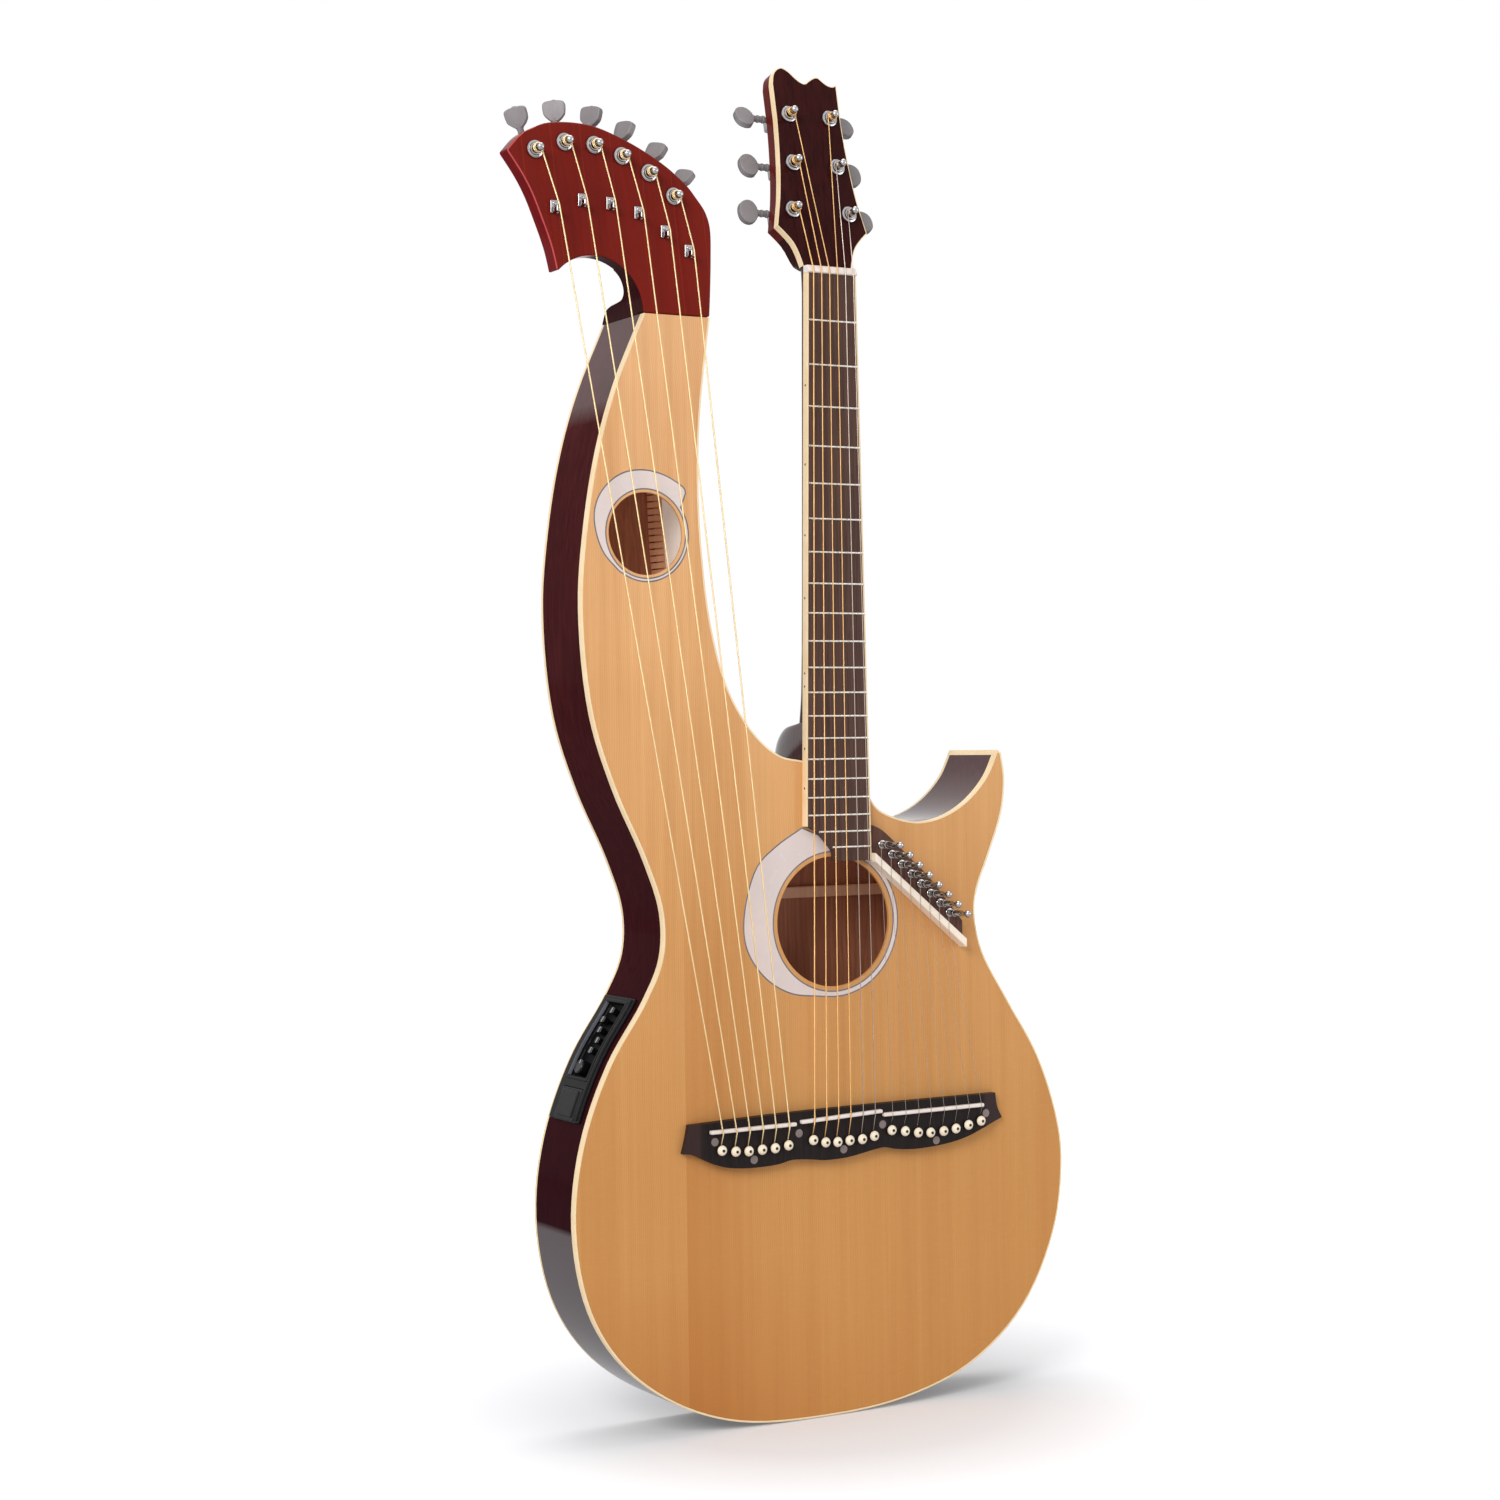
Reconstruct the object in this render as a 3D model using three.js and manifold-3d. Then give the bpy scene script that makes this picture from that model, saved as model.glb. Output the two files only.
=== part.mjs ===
// Harp guitar: a hollow body whose bass side grows into an arm with its own headstock,
// a fretted neck, six sub-bass strings, six neck strings and eight short treble strings.
// Millimetres. +Z runs up the neck, the front faces -Y, and +X is the treble side.
// The origin is at the tail, on the neck's centreline, halfway through the body's depth.
import * as THREE from 'three';
import { mergeVertices } from 'three/addons/utils/BufferGeometryUtils.js';
import Module from 'manifold-3d';

const wasm = await Module();
wasm.setup();

// Driving dimensions
const scaleLength = 648;
const bodyLength = 845.5;
const bodyWidth = 440;
const bodyDepth = 70;
const plateThickness = 3;
const sideThickness = 2.6;
const bindingWidth = 1.6;
const bindingHeight = 6;
const liningWidth = 7;
const liningHeight = 12;
const hornLiningShare = 0.25;
const braceWidth = 9;
const topBraceHeight = 11;
const backBraceHeight = 9;
const soundHoleRadius = 50.5;
const inlayDepth = 1;
const inlayClearance = 0.2;
const nutWidth = 44;
const twelfthWidth = 55;
const boardThickness = 6.5;
const fretCount = 20;
const fretHeight = 1;
const fretWidth = 2.2;
const boardBinding = 1.5;
const boardEndMargin = 11;
const nutThickness = 6;
const nutHeight = 8.5;
const neckDepthAtNut = 15;
const neckDepthAtHeel = 18;
const heelDepth = 68;
const neckHeelRise = 29.2;
const headTilt = THREE.MathUtils.degToRad(12);
const neckHeadWidth = 82;
const neckHeadLength = 165;
const neckHeadThickness = 16;
const headLap = 2;
const bassHeadWidth = 169;
const bassHeadHeight = 137;
const bassHeadThickness = 15;
const hookRadius = 40;
const gap = 0.3;
const overrun = 5;

// Bridge, saddles and pins
const bridgeWidth = 291;
const bridgeHeight = 40;
const bridgeThickness = 8;
const bridgeWingThickness = 3.5;
const saddleThickness = 3;
const saddleRise = 3.5;
const saddleSlotDepth = 5;
const bridgePlateHeight = 38;
const bridgePlateThickness = 3;
const pinShankRadius = 2.2;
const pinHeadRadius = 4;
const pinHeadHeight = 3;
const pinHeadLift = 2;
const stringSlotOffset = 3.6;
const ballEndRadius = 1.2;
const ballEndDepth = 8.5;

// Strings
const bassWireRadius = 0.65;
const plainWireRadius = 0.38;
const neckWireShares = [0.923, 0.846, 0.769, 0.692, 0.585, 0.538];
const windTurns = 2;
const windGap = 0.45;
const windStepsPerTurn = 10;
const trebleWindSteps = 8;
const windSides = 4;
const neckStringSpan = 36;

// Tuning machines
const postRadius = 3;
const postHeight = 13.5;
const postDomeHeight = 2.2;
const postWaistShare = 0.8;
const washerRadius = 6.7;
const washerThickness = 2;
const bushRadius = 4.9;
const bushHeight = 3.6;
const sleeveRadius = 4.4;
const gearRadius = 3;
const wormRadius = 1.1;
const wormLength = 11;
const housingLength = 15;
const housingHeight = 11.5;
const housingWall = 1.5;
const shaftRadius = 2;
const buttonReach = 27;
const buttonLength = 15.5;
const buttonWidth = 17.5;
const buttonThickness = 5.5;
const runningClearance = 0.3;
const tieWidth = 3;
const tieThickness = 0.6;
const wormRatio = 14;

// Sub-bass nut brackets
const bracketWidth = 6.5;
const bracketLength = 9.5;
const bracketBase = 1.4;
const bracketRise = 8.8;
const bracketPostWidth = 3.4;

// Treble tuning block, nut and pins
const trebleBlockHeight = 8;
const trebleNutHeight = 12;
const trebleNutThickness = 5.5;
const treblePinShank = 2.2;
const treblePinDepth = 7;
const treblePinRise = 27;
const trebleCollarRadius = 3.5;
const trebleCollarHeight = 1.8;
const trebleBarrelHeight = 18;
const trebleBarrelRadius = 2.4;
const trebleWaistRadius = 1.5;
const trebleBallRadius = 3;
const trebleStringLevel = 4.2;

// Preamp on the bass-side rim
const preampLength = 103;
const preampWidth = 51;
const preampShift = 2.5;
const flangeProud = 2.2;
const flangeSeat = 0.3;
const preampBodyDepth = 20;
const preampBodyInset = 4;
const recessWidth = 31;
const recessDepth = 4.4;
const recessLength = 63;
const recessMargin = 6;
const sliderTravel = 12;
const sliderKnobLength = 5;
const sliderKnobWidth = 6;
const sliderKnobHeight = 5;
const sliderStemLength = 1.6;
const sliderStemWidth = 2.4;
const sliderStemDepth = 6;
const sliderPitch = 8.6;
const sliderPlaceShares = [-0.15, 0.9, 0.15, -0.8, -0.5];
const volumeRadius = 6;
const volumeHeight = 7;
const volumeShaftRadius = 2;
const doorLength = 26;
const doorWidth = 33;
const doorThickness = 2.8;
const doorProud = 0.5;
const batteryDepth = 14;
const doorPinRadius = 0.8;
const doorPinLength = 2.5;
const doorClearance = 0.4;

// Segment counts
const outlineSteps = 2;
const holeSegments = 36;
const roundSegments = 8;
const pinSegments = 6;
const neckSections = 9;

// Shares of the body's width and length
const longSideShares = [
  [0.3573, 0.6056], [0.3641, 0.5819], [0.3568, 0.55], [0.3284, 0.5109], [0.3007, 0.4766],
  [0.2955, 0.453], [0.3107, 0.4187], [0.3659, 0.3702], [0.4318, 0.3146], [0.4745, 0.2507],
  [0.4823, 0.2082], [0.4614, 0.1443], [0.3909, 0.0769], [0.275, 0.0296], [0.1336, 0.0064],
  [-0.0341, 0], [-0.2064, 0.0064], [-0.3295, 0.0302], [-0.4293, 0.0698], [-0.4914, 0.121],
  [-0.5186, 0.1952], [-0.5014, 0.2673], [-0.4489, 0.3359], [-0.38, 0.3905], [-0.3473, 0.427],
  [-0.345, 0.4672], [-0.3745, 0.5138], [-0.4318, 0.5778], [-0.4739, 0.6446], [-0.4911, 0.738],
  [-0.4795, 0.8102], [-0.4541, 0.88], [-0.4193, 0.9373], [-0.3657, 1],
];
const innerArmShares = [
  [-0.2375, 1], [-0.2466, 0.9675], [-0.26, 0.9083], [-0.2641, 0.8539], [-0.2591, 0.7901],
  [-0.242, 0.7215], [-0.2091, 0.6647], [-0.1591, 0.6257], [-0.1091, 0.6062],
];
const cutawayShares = [
  [0.0864, 0.5577], [0.1136, 0.5495], [0.1736, 0.5424], [0.2314, 0.5475], [0.2814, 0.5614],
  [0.3239, 0.5834], [0.3491, 0.6084],
];
const neckRootLengthShares = [0.6013, 0.5736];
const soundHoleShares = [-0.0039, 0.4532];
const armHoleShares = [-0.367, 0.8045];
const bridgeCentreShares = [0.0068, 0.2596];
const bodyCentreWidthShare = -0.0341;
const topBraceLengthShares = [0.522, 0.372, 0.15, 0.69, 0.9];
const backBraceLengthShares = [0.4767, 0.32, 0.16, 0.63, 0.76, 0.9];
const tailBlockShares = [0.14, 0.024];
const neckBlockShares = [0.16, 0.54, 0.62];
const armBlockLengthShare = 0.965;
const preampLengthShare = 0.3909;

// Shares of the sound holes' radii: the crescents' outer edges, from their centres
const crescentShares = [
  [-0.5505, 1.4614], [-1.0119, 1.1901], [-1.3525, 0.8871], [-1.5703, 0.2733], [-1.5901, -0.198],
  [-1.4772, -0.5149], [-1.1881, -0.8554], [-0.7723, -1.0812], [-0.2376, -1.1525],
];
const armCrescentShares = [
  [1.1161, 1.0161], [1.0742, 1.1355], [0.8387, 1.3], [0.4871, 1.4613], [-0.0323, 1.5548],
  [-0.5645, 1.4774], [-0.9677, 1.2419], [-1.2742, 0.871], [-1.4, 0.4516], [-1.3484, -0.0387],
  [-1.1452, -0.5161], [-0.7419, -0.9355],
];
const armHoleRadiusShare = 0.07045;
const soundRingShares = [1.065, 1.168];
const soundRingDegrees = [-96, 76];
const armRingShares = [1.065, 1.177];
const armRingDegrees = [-122, 34];

// Shares of the bridge's width and height, from its centre
const bridgeShares = [
  [-0.4703, 0.4], [-0.1979, 0.47], [0.1529, 0.5025], [0.4847, 0.5125], [0.4915, 0.2375],
  [0.509, 0.0025], [0.4385, -0.155], [0.3938, -0.28], [0.3529, -0.355], [0.3082, -0.405],
  [0.2467, -0.44], [0.1955, -0.44], [0.1512, -0.405], [0.1168, -0.355], [0.0825, -0.38],
  [0.045, -0.43], [-0.0031, -0.48], [-0.068, -0.4925], [-0.1089, -0.455], [-0.1467, -0.43],
  [-0.1739, -0.43], [-0.2082, -0.48], [-0.2663, -0.505], [-0.3244, -0.4925], [-0.3794, -0.43],
  [-0.4306, -0.2675], [-0.4649, -0.155], [-0.4884, -0.14], [-0.478, 0.1375],
];
const bridgeWingShares = [-0.4277, 0.4453];
const bassPinShares = [
  [-0.3842, -0.112], [-0.3436, -0.155], [-0.3045, -0.17], [-0.2643, -0.165], [-0.2254, -0.16],
  [-0.1849, -0.13],
];
const neckPinShares = [
  [-0.1086, -0.075], [-0.0711, -0.14], [-0.034, -0.155], [0.0038, -0.145], [0.043, -0.145],
  [0.0808, -0.105],
];
const treblePinShares = [
  [0.1364, -0.025], [0.1787, -0.068], [0.2203, -0.12], [0.2601, -0.142], [0.3024, -0.138],
  [0.3423, -0.11], [0.3835, -0.062], [0.4247, -0.005],
];
const bassSaddleShares = [[-0.417, 0.24], [-0.16, 0.26]];
const neckSaddleShares = [[-0.1454, 0.288], [0.1069, 0.366]];
const trebleSaddleShares = [[0.1107, 0.288], [0.4347, 0.308]];

// Shares of the bass head's width and height, from the arm's treble-side corner
const bassHeadShares = [
  [0.0065, 0.1496], [0.0112, 0.3248], [0.0107, 0.4759], [0.0012, 0.5365],
  [-0.0201, 0.5949], [-0.058, 0.6533], [-0.1, 0.7117], [-0.1509, 0.7628], [-0.2101, 0.8139],
  [-0.3284, 0.8912], [-0.4467, 0.9504], [-0.5651, 0.992], [-0.6834, 1.0007], [-0.8018, 0.9818],
  [-0.8609, 0.9504], [-0.9201, 0.9088], [-0.9882, 0.8175], [-0.916, 0.6949], [-0.8728, 0.6022],
  [-0.8355, 0.4971], [-0.7805, 0.3197], [-0.7515, 0.176],
];
const bassPostShares = [
  [-0.8568, 0.8328], [-0.7154, 0.8876], [-0.5716, 0.8876], [-0.4367, 0.8431], [-0.303, 0.7657],
  [-0.1805, 0.6511],
];
const bassBracketShares = [
  [-0.768, 0.5336], [-0.6343, 0.5825], [-0.4959, 0.5781], [-0.358, 0.5416], [-0.2272, 0.4518],
  [-0.1089, 0.3562],
];
const bassTunerDegrees = [-18, -4, 9, 20, 30, 37];
const bassBladeDegrees = [-40, -33, -58, -70, -64, -67];
const neckBladeDegrees = [24, 12, 2, 22, 8, 14];
// Shares of what the heel adds behind the bass head's plate, and of the body's depth: up, back
const heelShares = [
  [0, 1], [0.06, 0.985], [0.2, 0.91], [0.3, 0.82], [0.36, 0.66], [0.385, 0.47], [0.42, 0.31],
  [0.52, 0.19], [0.68, 0.1], [0.86, 0.03], [1, 0],
];
const heelRiseShare = 0.24;

// Shares of the neck head's width and length, from the middle of the nut
const neckHeadShares = [
  [0.2683, 0], [0.2756, 0.0182], [0.2976, 0.0576], [0.3415, 0.1091], [0.4171, 0.1539],
  [0.4951, 0.1909], [0.4671, 0.2545], [0.4341, 0.3297], [0.4, 0.4497], [0.3732, 0.6],
  [0.3585, 0.7394], [0.361, 0.9424], [0.322, 0.9309], [0.2683, 0.9333],
  [0.2195, 0.9467], [0.161, 0.9673], [0.1183, 0.9648], [0.0573, 0.9467], [0.0073, 0.9291],
  [-0.0366, 0.9333], [-0.0963, 0.9533], [-0.1707, 0.9842], [-0.2378, 0.997], [-0.2927, 0.9848],
  [-0.3354, 0.9576], [-0.3585, 0.9091], [-0.3585, 0.7394], [-0.3732, 0.6],
  [-0.4, 0.4497], [-0.4341, 0.3297], [-0.4671, 0.2545], [-0.4951, 0.1909], [-0.4171, 0.1539],
  [-0.3415, 0.1091], [-0.2976, 0.0576], [-0.2756, 0.0182], [-0.2683, 0],
];
const neckPostWidthShares = [0.2256, 0.244, 0.31];
const neckPostLengthShares = [0.758, 0.5127, 0.2764];
// Shares of the neck heel's rise over the body and of its full depth
const neckHeelShares = [
  [0.966, 0.34], [0.92, 0.545], [0.875, 0.655], [0.79, 0.75], [0.64, 0.845], [0.43, 0.925],
  [0, 0.985],
];

// Shares of the fingerboard's end width: its cut towards the sound hole
const boardCutShares = [
  [-0.5, 0.465], [-0.39, 0.437], [-0.275, 0.361], [-0.143, 0.2185], [-0.07, 0.125], [-0.055, 0],
];
// Shares of the treble group's span: the pins' line and the block's outer edge
const treblePinCount = 8;
const trebleFirstShares = [0.0859, 0.5227];
const trebleLastShares = [0.2269, 0.4569];
const trebleNutFootShares = [[0.0693, 0.5067], [0.2602, 0.4233]];
const trebleBlockShares = [
  [0.07, 0.541], [0.0871, 0.5365], [0.1182, 0.523], [0.1424, 0.5117], [0.165, 0.5012],
  [0.1842, 0.4922], [0.2566, 0.4487],
];

// Places worked out from the driving dimensions
const frontY = -bodyDepth / 2;
const backY = bodyDepth / 2;
const bridgeCentre = [
  bridgeCentreShares[0] * bodyWidth,
  bridgeCentreShares[1] * bodyLength,
];
const saddleLineHeight = (neckSaddleShares[0][1] + neckSaddleShares[1][1]) / 2 * bridgeHeight;
const compensation = scaleLength / 150;
const nutZ = bridgeCentre[1] + saddleLineHeight + scaleLength + compensation;
const headZ = nutZ + nutThickness;
const halfBoard = (z) => {
  const taper = (twelfthWidth - nutWidth) / scaleLength;
  return nutWidth / 2 + (nutZ - z) * taper;
};
const fretZ = (n) => nutZ - scaleLength * (1 - 2 ** (-n / 12));
const boardEndZ = fretZ(fretCount) - boardEndMargin;
const rootZ = neckRootLengthShares.map((share) => share * bodyLength);
const bodyPoint = ([x, z]) => [x * bodyWidth, z * bodyLength];

// Geometry helpers
function outward(geometry) {
  const p = geometry.attributes.position;
  const index = geometry.index ? geometry.index.array : [...Array(p.count).keys()];
  const a = new THREE.Vector3();
  const b = new THREE.Vector3();
  const c = new THREE.Vector3();
  let volume = 0;
  for (let i = 0; i < index.length; i += 3) {
    a.fromBufferAttribute(p, index[i]);
    b.fromBufferAttribute(p, index[i + 1]);
    c.fromBufferAttribute(p, index[i + 2]);
    volume += a.dot(b.cross(c));
  }
  if (volume >= 0) return geometry;
  const flipped = [];
  for (let i = 0; i < index.length; i += 3) {
    flipped.push(index[i], index[i + 2], index[i + 1]);
  }
  geometry.setIndex(flipped);
  return geometry;
}

function solid(geometry) {
  const bare = geometry.clone();
  bare.deleteAttribute('normal');
  bare.deleteAttribute('uv');
  const merged = mergeVertices(bare);
  return new wasm.Manifold(new wasm.Mesh({
    numProp: 3,
    vertProperties: merged.attributes.position.array,
    triVerts: new Uint32Array(merged.index.array),
  }));
}

function geometryOf(body) {
  const mesh = body.getMesh();
  const geometry = new THREE.BufferGeometry();
  geometry.setAttribute('position', new THREE.BufferAttribute(mesh.vertProperties, 3));
  geometry.setIndex(new THREE.BufferAttribute(mesh.triVerts, 1));
  geometry.computeVertexNormals();
  return geometry;
}

const joined = (bodies) => bodies.reduce((sum, body) => sum.add(body));

function smooth(points, steps) {
  const curve = new THREE.CatmullRomCurve3(
    points.map(([x, z]) => new THREE.Vector3(x, 0, z)), false, 'centripetal');
  return curve.getPoints((points.length - 1) * steps).map((p) => [p.x, p.z]);
}

// A plate with its outline in the XZ plane, between two depths
function slab(points, front, back, holes = []) {
  const shape = new THREE.Shape(points.map(([x, z]) => new THREE.Vector2(x, z)));
  shape.holes = holes.map((rim) => new THREE.Path(rim.map(([x, z]) => new THREE.Vector2(x, z))));
  const geometry = new THREE.ExtrudeGeometry(shape, {
    depth: back - front, bevelEnabled: false, steps: 1,
  });
  geometry.rotateX(Math.PI / 2);
  geometry.translate(0, back, 0);
  return outward(geometry);
}

const slabSolid = (points, front, back) => solid(slab(points, front, back));

// The same for an outline that may cross itself where it was moved inwards
function tidySlab(points, front, back) {
  const area = THREE.ShapeUtils.area(points.map(([x, z]) => new THREE.Vector2(x, z)));
  const outwards = area > 0 ? points : [...points].reverse();
  return new wasm.CrossSection([outwards], 'Positive').extrude(back - front)
    .rotate([90, 0, 0]).translate([0, back, 0]);
}

function circle([x, z], radius, segments) {
  return Array.from({ length: segments }, (_, i) => {
    const angle = (i / segments) * 2 * Math.PI;
    return [x + radius * Math.cos(angle), z + radius * Math.sin(angle)];
  });
}

// A hole whose flats, not its corners, stand at the radius
const hole = (centre, radius) => circle(centre, radius / Math.cos(Math.PI / roundSegments), roundSegments);

function block(x0, x1, y0, y1, z0, z1) {
  const box = new THREE.BoxGeometry(x1 - x0, y1 - y0, z1 - z0);
  box.translate((x0 + x1) / 2, (y0 + y1) / 2, (z0 + z1) / 2);
  return solid(box);
}

// Moves a closed outline inwards, by a distance that may differ from edge to edge
function inset(points, distanceOf) {
  const area = points.reduce((sum, [x, z], i) => {
    const [nx, nz] = points[(i + 1) % points.length];
    return sum + x * nz - nx * z;
  }, 0);
  const side = area > 0 ? 1 : -1;
  const edge = (i) => {
    const [x, z] = points[i];
    const [nx, nz] = points[(i + 1) % points.length];
    const length = Math.hypot(nx - x, nz - z);
    const inX = (-side * (nz - z)) / length;
    const inZ = (side * (nx - x)) / length;
    return { inX, inZ, reach: x * inX + z * inZ + distanceOf(i) };
  };
  return points.map((_, i) => {
    const a = edge((i + points.length - 1) % points.length);
    const b = edge(i);
    const det = a.inX * b.inZ - a.inZ * b.inX;
    const parallel = Math.abs(det) < 1e-6;
    if (parallel) return [points[i][0] + b.inX * distanceOf(i), points[i][1] + b.inZ * distanceOf(i)];
    return [(a.reach * b.inZ - b.reach * a.inZ) / det, (b.reach * a.inX - a.reach * b.inX) / det];
  });
}

// A closed skin over rings of points, with its two ends capped
function loft(rings, closed = false) {
  const size = rings[0].length;
  const positions = rings.flat(2);
  const index = [];
  const last = closed ? rings.length : rings.length - 1;
  for (let i = 0; i < last; i += 1) {
    const next = (i + 1) % rings.length;
    for (let j = 0; j < size; j += 1) {
      const k = (j + 1) % size;
      index.push(i * size + j, next * size + j, next * size + k);
      index.push(i * size + j, next * size + k, i * size + k);
    }
  }
  if (!closed) {
    for (let j = 1; j < size - 1; j += 1) {
      index.push(0, j, j + 1);
      const start = (rings.length - 1) * size;
      index.push(start, start + j + 1, start + j);
    }
  }
  const geometry = new THREE.BufferGeometry();
  geometry.setAttribute('position', new THREE.Float32BufferAttribute(positions, 3));
  geometry.setIndex(index);
  return outward(geometry);
}

// A tube of flat sides along points, mitred at each bend
function tube(points, radius, sides) {
  const path = points.map((p) => new THREE.Vector3(...p));
  const tangent = (i) => {
    const before = path[Math.max(i - 1, 0)];
    const after = path[Math.min(i + 1, path.length - 1)];
    const into = path[i].clone().sub(before).normalize();
    const out = after.clone().sub(path[i]).normalize();
    return into.add(out).normalize();
  };
  const legDirection = (i) => path[i + 1].clone().sub(path[i]).normalize();
  let leg = legDirection(0);
  let across = new THREE.Vector3(1, 0, 0).cross(leg);
  if (across.length() < 0.5) across = new THREE.Vector3(0, 1, 0).cross(leg);
  across.normalize();
  const rings = [];
  for (let i = 0; i < path.length; i += 1) {
    if (i > 0 && i < path.length - 1) {
      const next = legDirection(i);
      const turn = new THREE.Quaternion().setFromUnitVectors(leg, next);
      across.applyQuaternion(turn);
      leg = next;
    }
    const normal = tangent(i);
    const up = leg.clone().cross(across).normalize();
    rings.push(Array.from({ length: sides }, (_, k) => {
      const angle = (k / sides) * 2 * Math.PI;
      const offset = across.clone().multiplyScalar(Math.cos(angle) * radius)
        .addScaledVector(up, Math.sin(angle) * radius);
      // Slide the corner along the leg until it lies in the mitre plane
      const slide = -offset.dot(normal) / leg.dot(normal);
      return path[i].clone().add(offset).addScaledVector(leg, slide).toArray();
    }));
  }
  return loft(rings);
}

// A turned piece round the local Y axis, from [radius, y] pairs
function turned(profile, segments) {
  const points = profile.map(([r, y]) => new THREE.Vector2(r, y));
  return outward(new THREE.LatheGeometry(points, segments));
}

const model = new THREE.Group();

function add(parent, name, geometry, color, roughness, metalness) {
  const material = new THREE.MeshStandardMaterial({ color, roughness, metalness });
  const mesh = new THREE.Mesh(geometry, material);
  mesh.name = name;
  parent.add(mesh);
  return mesh;
}

const finish = {
  spruce: [0xdcaa6c, 0.3, 0],
  mahogany: [0x3a1412, 0.2, 0],
  cherry: [0x6e1512, 0.2, 0],
  cream: [0xf2ddb0, 0.4, 0],
  rosewood: [0x3a2a26, 0.5, 0],
  nickel: [0xc8c8c8, 0.3, 1],
  chrome: [0xd8d8d8, 0.12, 1],
  bone: [0xf4ead8, 0.45, 0],
  pearl: [0xf2e6e2, 0.25, 0],
  bronze: [0xc79a4a, 0.35, 1],
  blackPlastic: [0x161616, 0.45, 0],
};

// Body outline: the long side, the arm's end, the arm's inner side, the neck's root and the cutaway
const longSide = smooth(longSideShares.map(bodyPoint), outlineSteps);
const innerArm = smooth(
  [...innerArmShares.map(bodyPoint), [-halfBoard(rootZ[0]), rootZ[0]]], outlineSteps);
const cutaway = smooth(
  [[halfBoard(rootZ[1]), rootZ[1]], ...cutawayShares.map(bodyPoint)], outlineSteps);
const outline = [...longSide, ...innerArm, ...cutaway];
const armEndEdge = longSide.length - 1;
const outerCorner = longSide[armEndEdge];
const innerCorner = innerArm[0];
const allBut = (edge, distance) => (i) => (i === edge ? 0 : distance);
const insideBinding = inset(outline, allBut(armEndEdge, bindingWidth));

// The outline moved inwards; near the horn's tip by less, so that its two sides stay apart
const unitInset = inset(outline, () => 1);
function within(depth, least = sideThickness) {
  const [tipX, tipZ] = outline[0];
  return outline.map(([x, z], i) => {
    const most = Math.max(least, hornLiningShare * Math.hypot(x - tipX, z - tipZ));
    const reach = Math.min(depth, most);
    return [x + (unitInset[i][0] - x) * reach, z + (unitInset[i][1] - z) * reach];
  });
}
const insideLinings = within(sideThickness + liningWidth + gap);

// Where a level line first crosses the outline
function leftOf(z) {
  const crossings = [];
  outline.forEach(([x0, z0], i) => {
    const [x1, z1] = outline[(i + 1) % outline.length];
    if ((z0 - z) * (z1 - z) < 0) crossings.push(x0 + ((x1 - x0) * (z - z0)) / (z1 - z0));
  });
  return Math.min(...crossings);
}

const soundHole = bodyPoint(soundHoleShares);
const armHole = bodyPoint(armHoleShares);
const armHoleRadius = armHoleRadiusShare * bodyWidth;
const bodyCentreX = bodyCentreWidthShare * bodyWidth;

const braces = (lengthShares, y0, y1) => lengthShares.map((share) => {
  const z = share * bodyLength;
  const whole = block(-bodyWidth, bodyWidth, y0, y1, z - braceWidth / 2, z + braceWidth / 2);
  return whole.intersect(tidySlab(insideLinings, y0 - overrun, y1 + overrun));
});

// Bridge places
const bridgePoint = ([x, z]) => [
  bridgeCentre[0] + x * bridgeWidth, bridgeCentre[1] + z * bridgeHeight,
];
const bassPins = bassPinShares.map(bridgePoint);
const neckPins = neckPinShares.map(bridgePoint);
const treblePins = treblePinShares.map(bridgePoint);
const allPins = [...bassPins, ...neckPins, ...treblePins];
const bridgeFrontY = frontY - bridgeThickness;
const slotHalf = bassWireRadius + gap;
const slotEnd = stringSlotOffset + bassWireRadius + gap;

// A pin's hole, with the slot for its string on the saddle side
function pinHole([x, z]) {
  const radius = pinShankRadius + gap;
  const lower = Array.from({ length: pinSegments / 2 + 1 }, (_, i) => {
    const angle = Math.PI * (1 + (2 * i) / pinSegments);
    return [x + radius * Math.cos(angle), z + radius * Math.sin(angle)];
  });
  return [...lower, [x + slotHalf, z + slotEnd], [x - slotHalf, z + slotEnd]];
}
const pinHoles = (front, back) => allPins.map((pin) => slabSolid(pinHole(pin), front, back));

// Inlaid rings and crescents
function rosetteOutline(centre, radius, shares, ringShares, [from, to]) {
  const at = ([x, z]) => [centre[0] + x * radius, centre[1] + z * radius];
  const ring = [];
  const outer = ringShares[1] * radius;
  const steps = holeSegments / 2;
  for (let i = 0; i <= steps; i += 1) {
    const angle = THREE.MathUtils.degToRad(from + ((to - from) * i) / steps);
    ring.push([centre[0] + outer * Math.cos(angle), centre[1] + outer * Math.sin(angle)]);
  }
  return [...ring, ...smooth(shares.map(at), outlineSteps)];
}
const soundRosette = rosetteOutline(
  soundHole, soundHoleRadius, crescentShares, soundRingShares, soundRingDegrees);
const armRosette = rosetteOutline(
  armHole, armHoleRadius, armCrescentShares, armRingShares, armRingDegrees);
const rosetteHole = (centre, radius, shares) => circle(centre, shares[0] * radius, holeSegments);
const pocket = (points, middle) => solid(slab(
  inset(points, () => -inlayClearance), frontY - overrun, frontY + inlayDepth,
  [inset(middle, () => inlayClearance)]));

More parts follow.
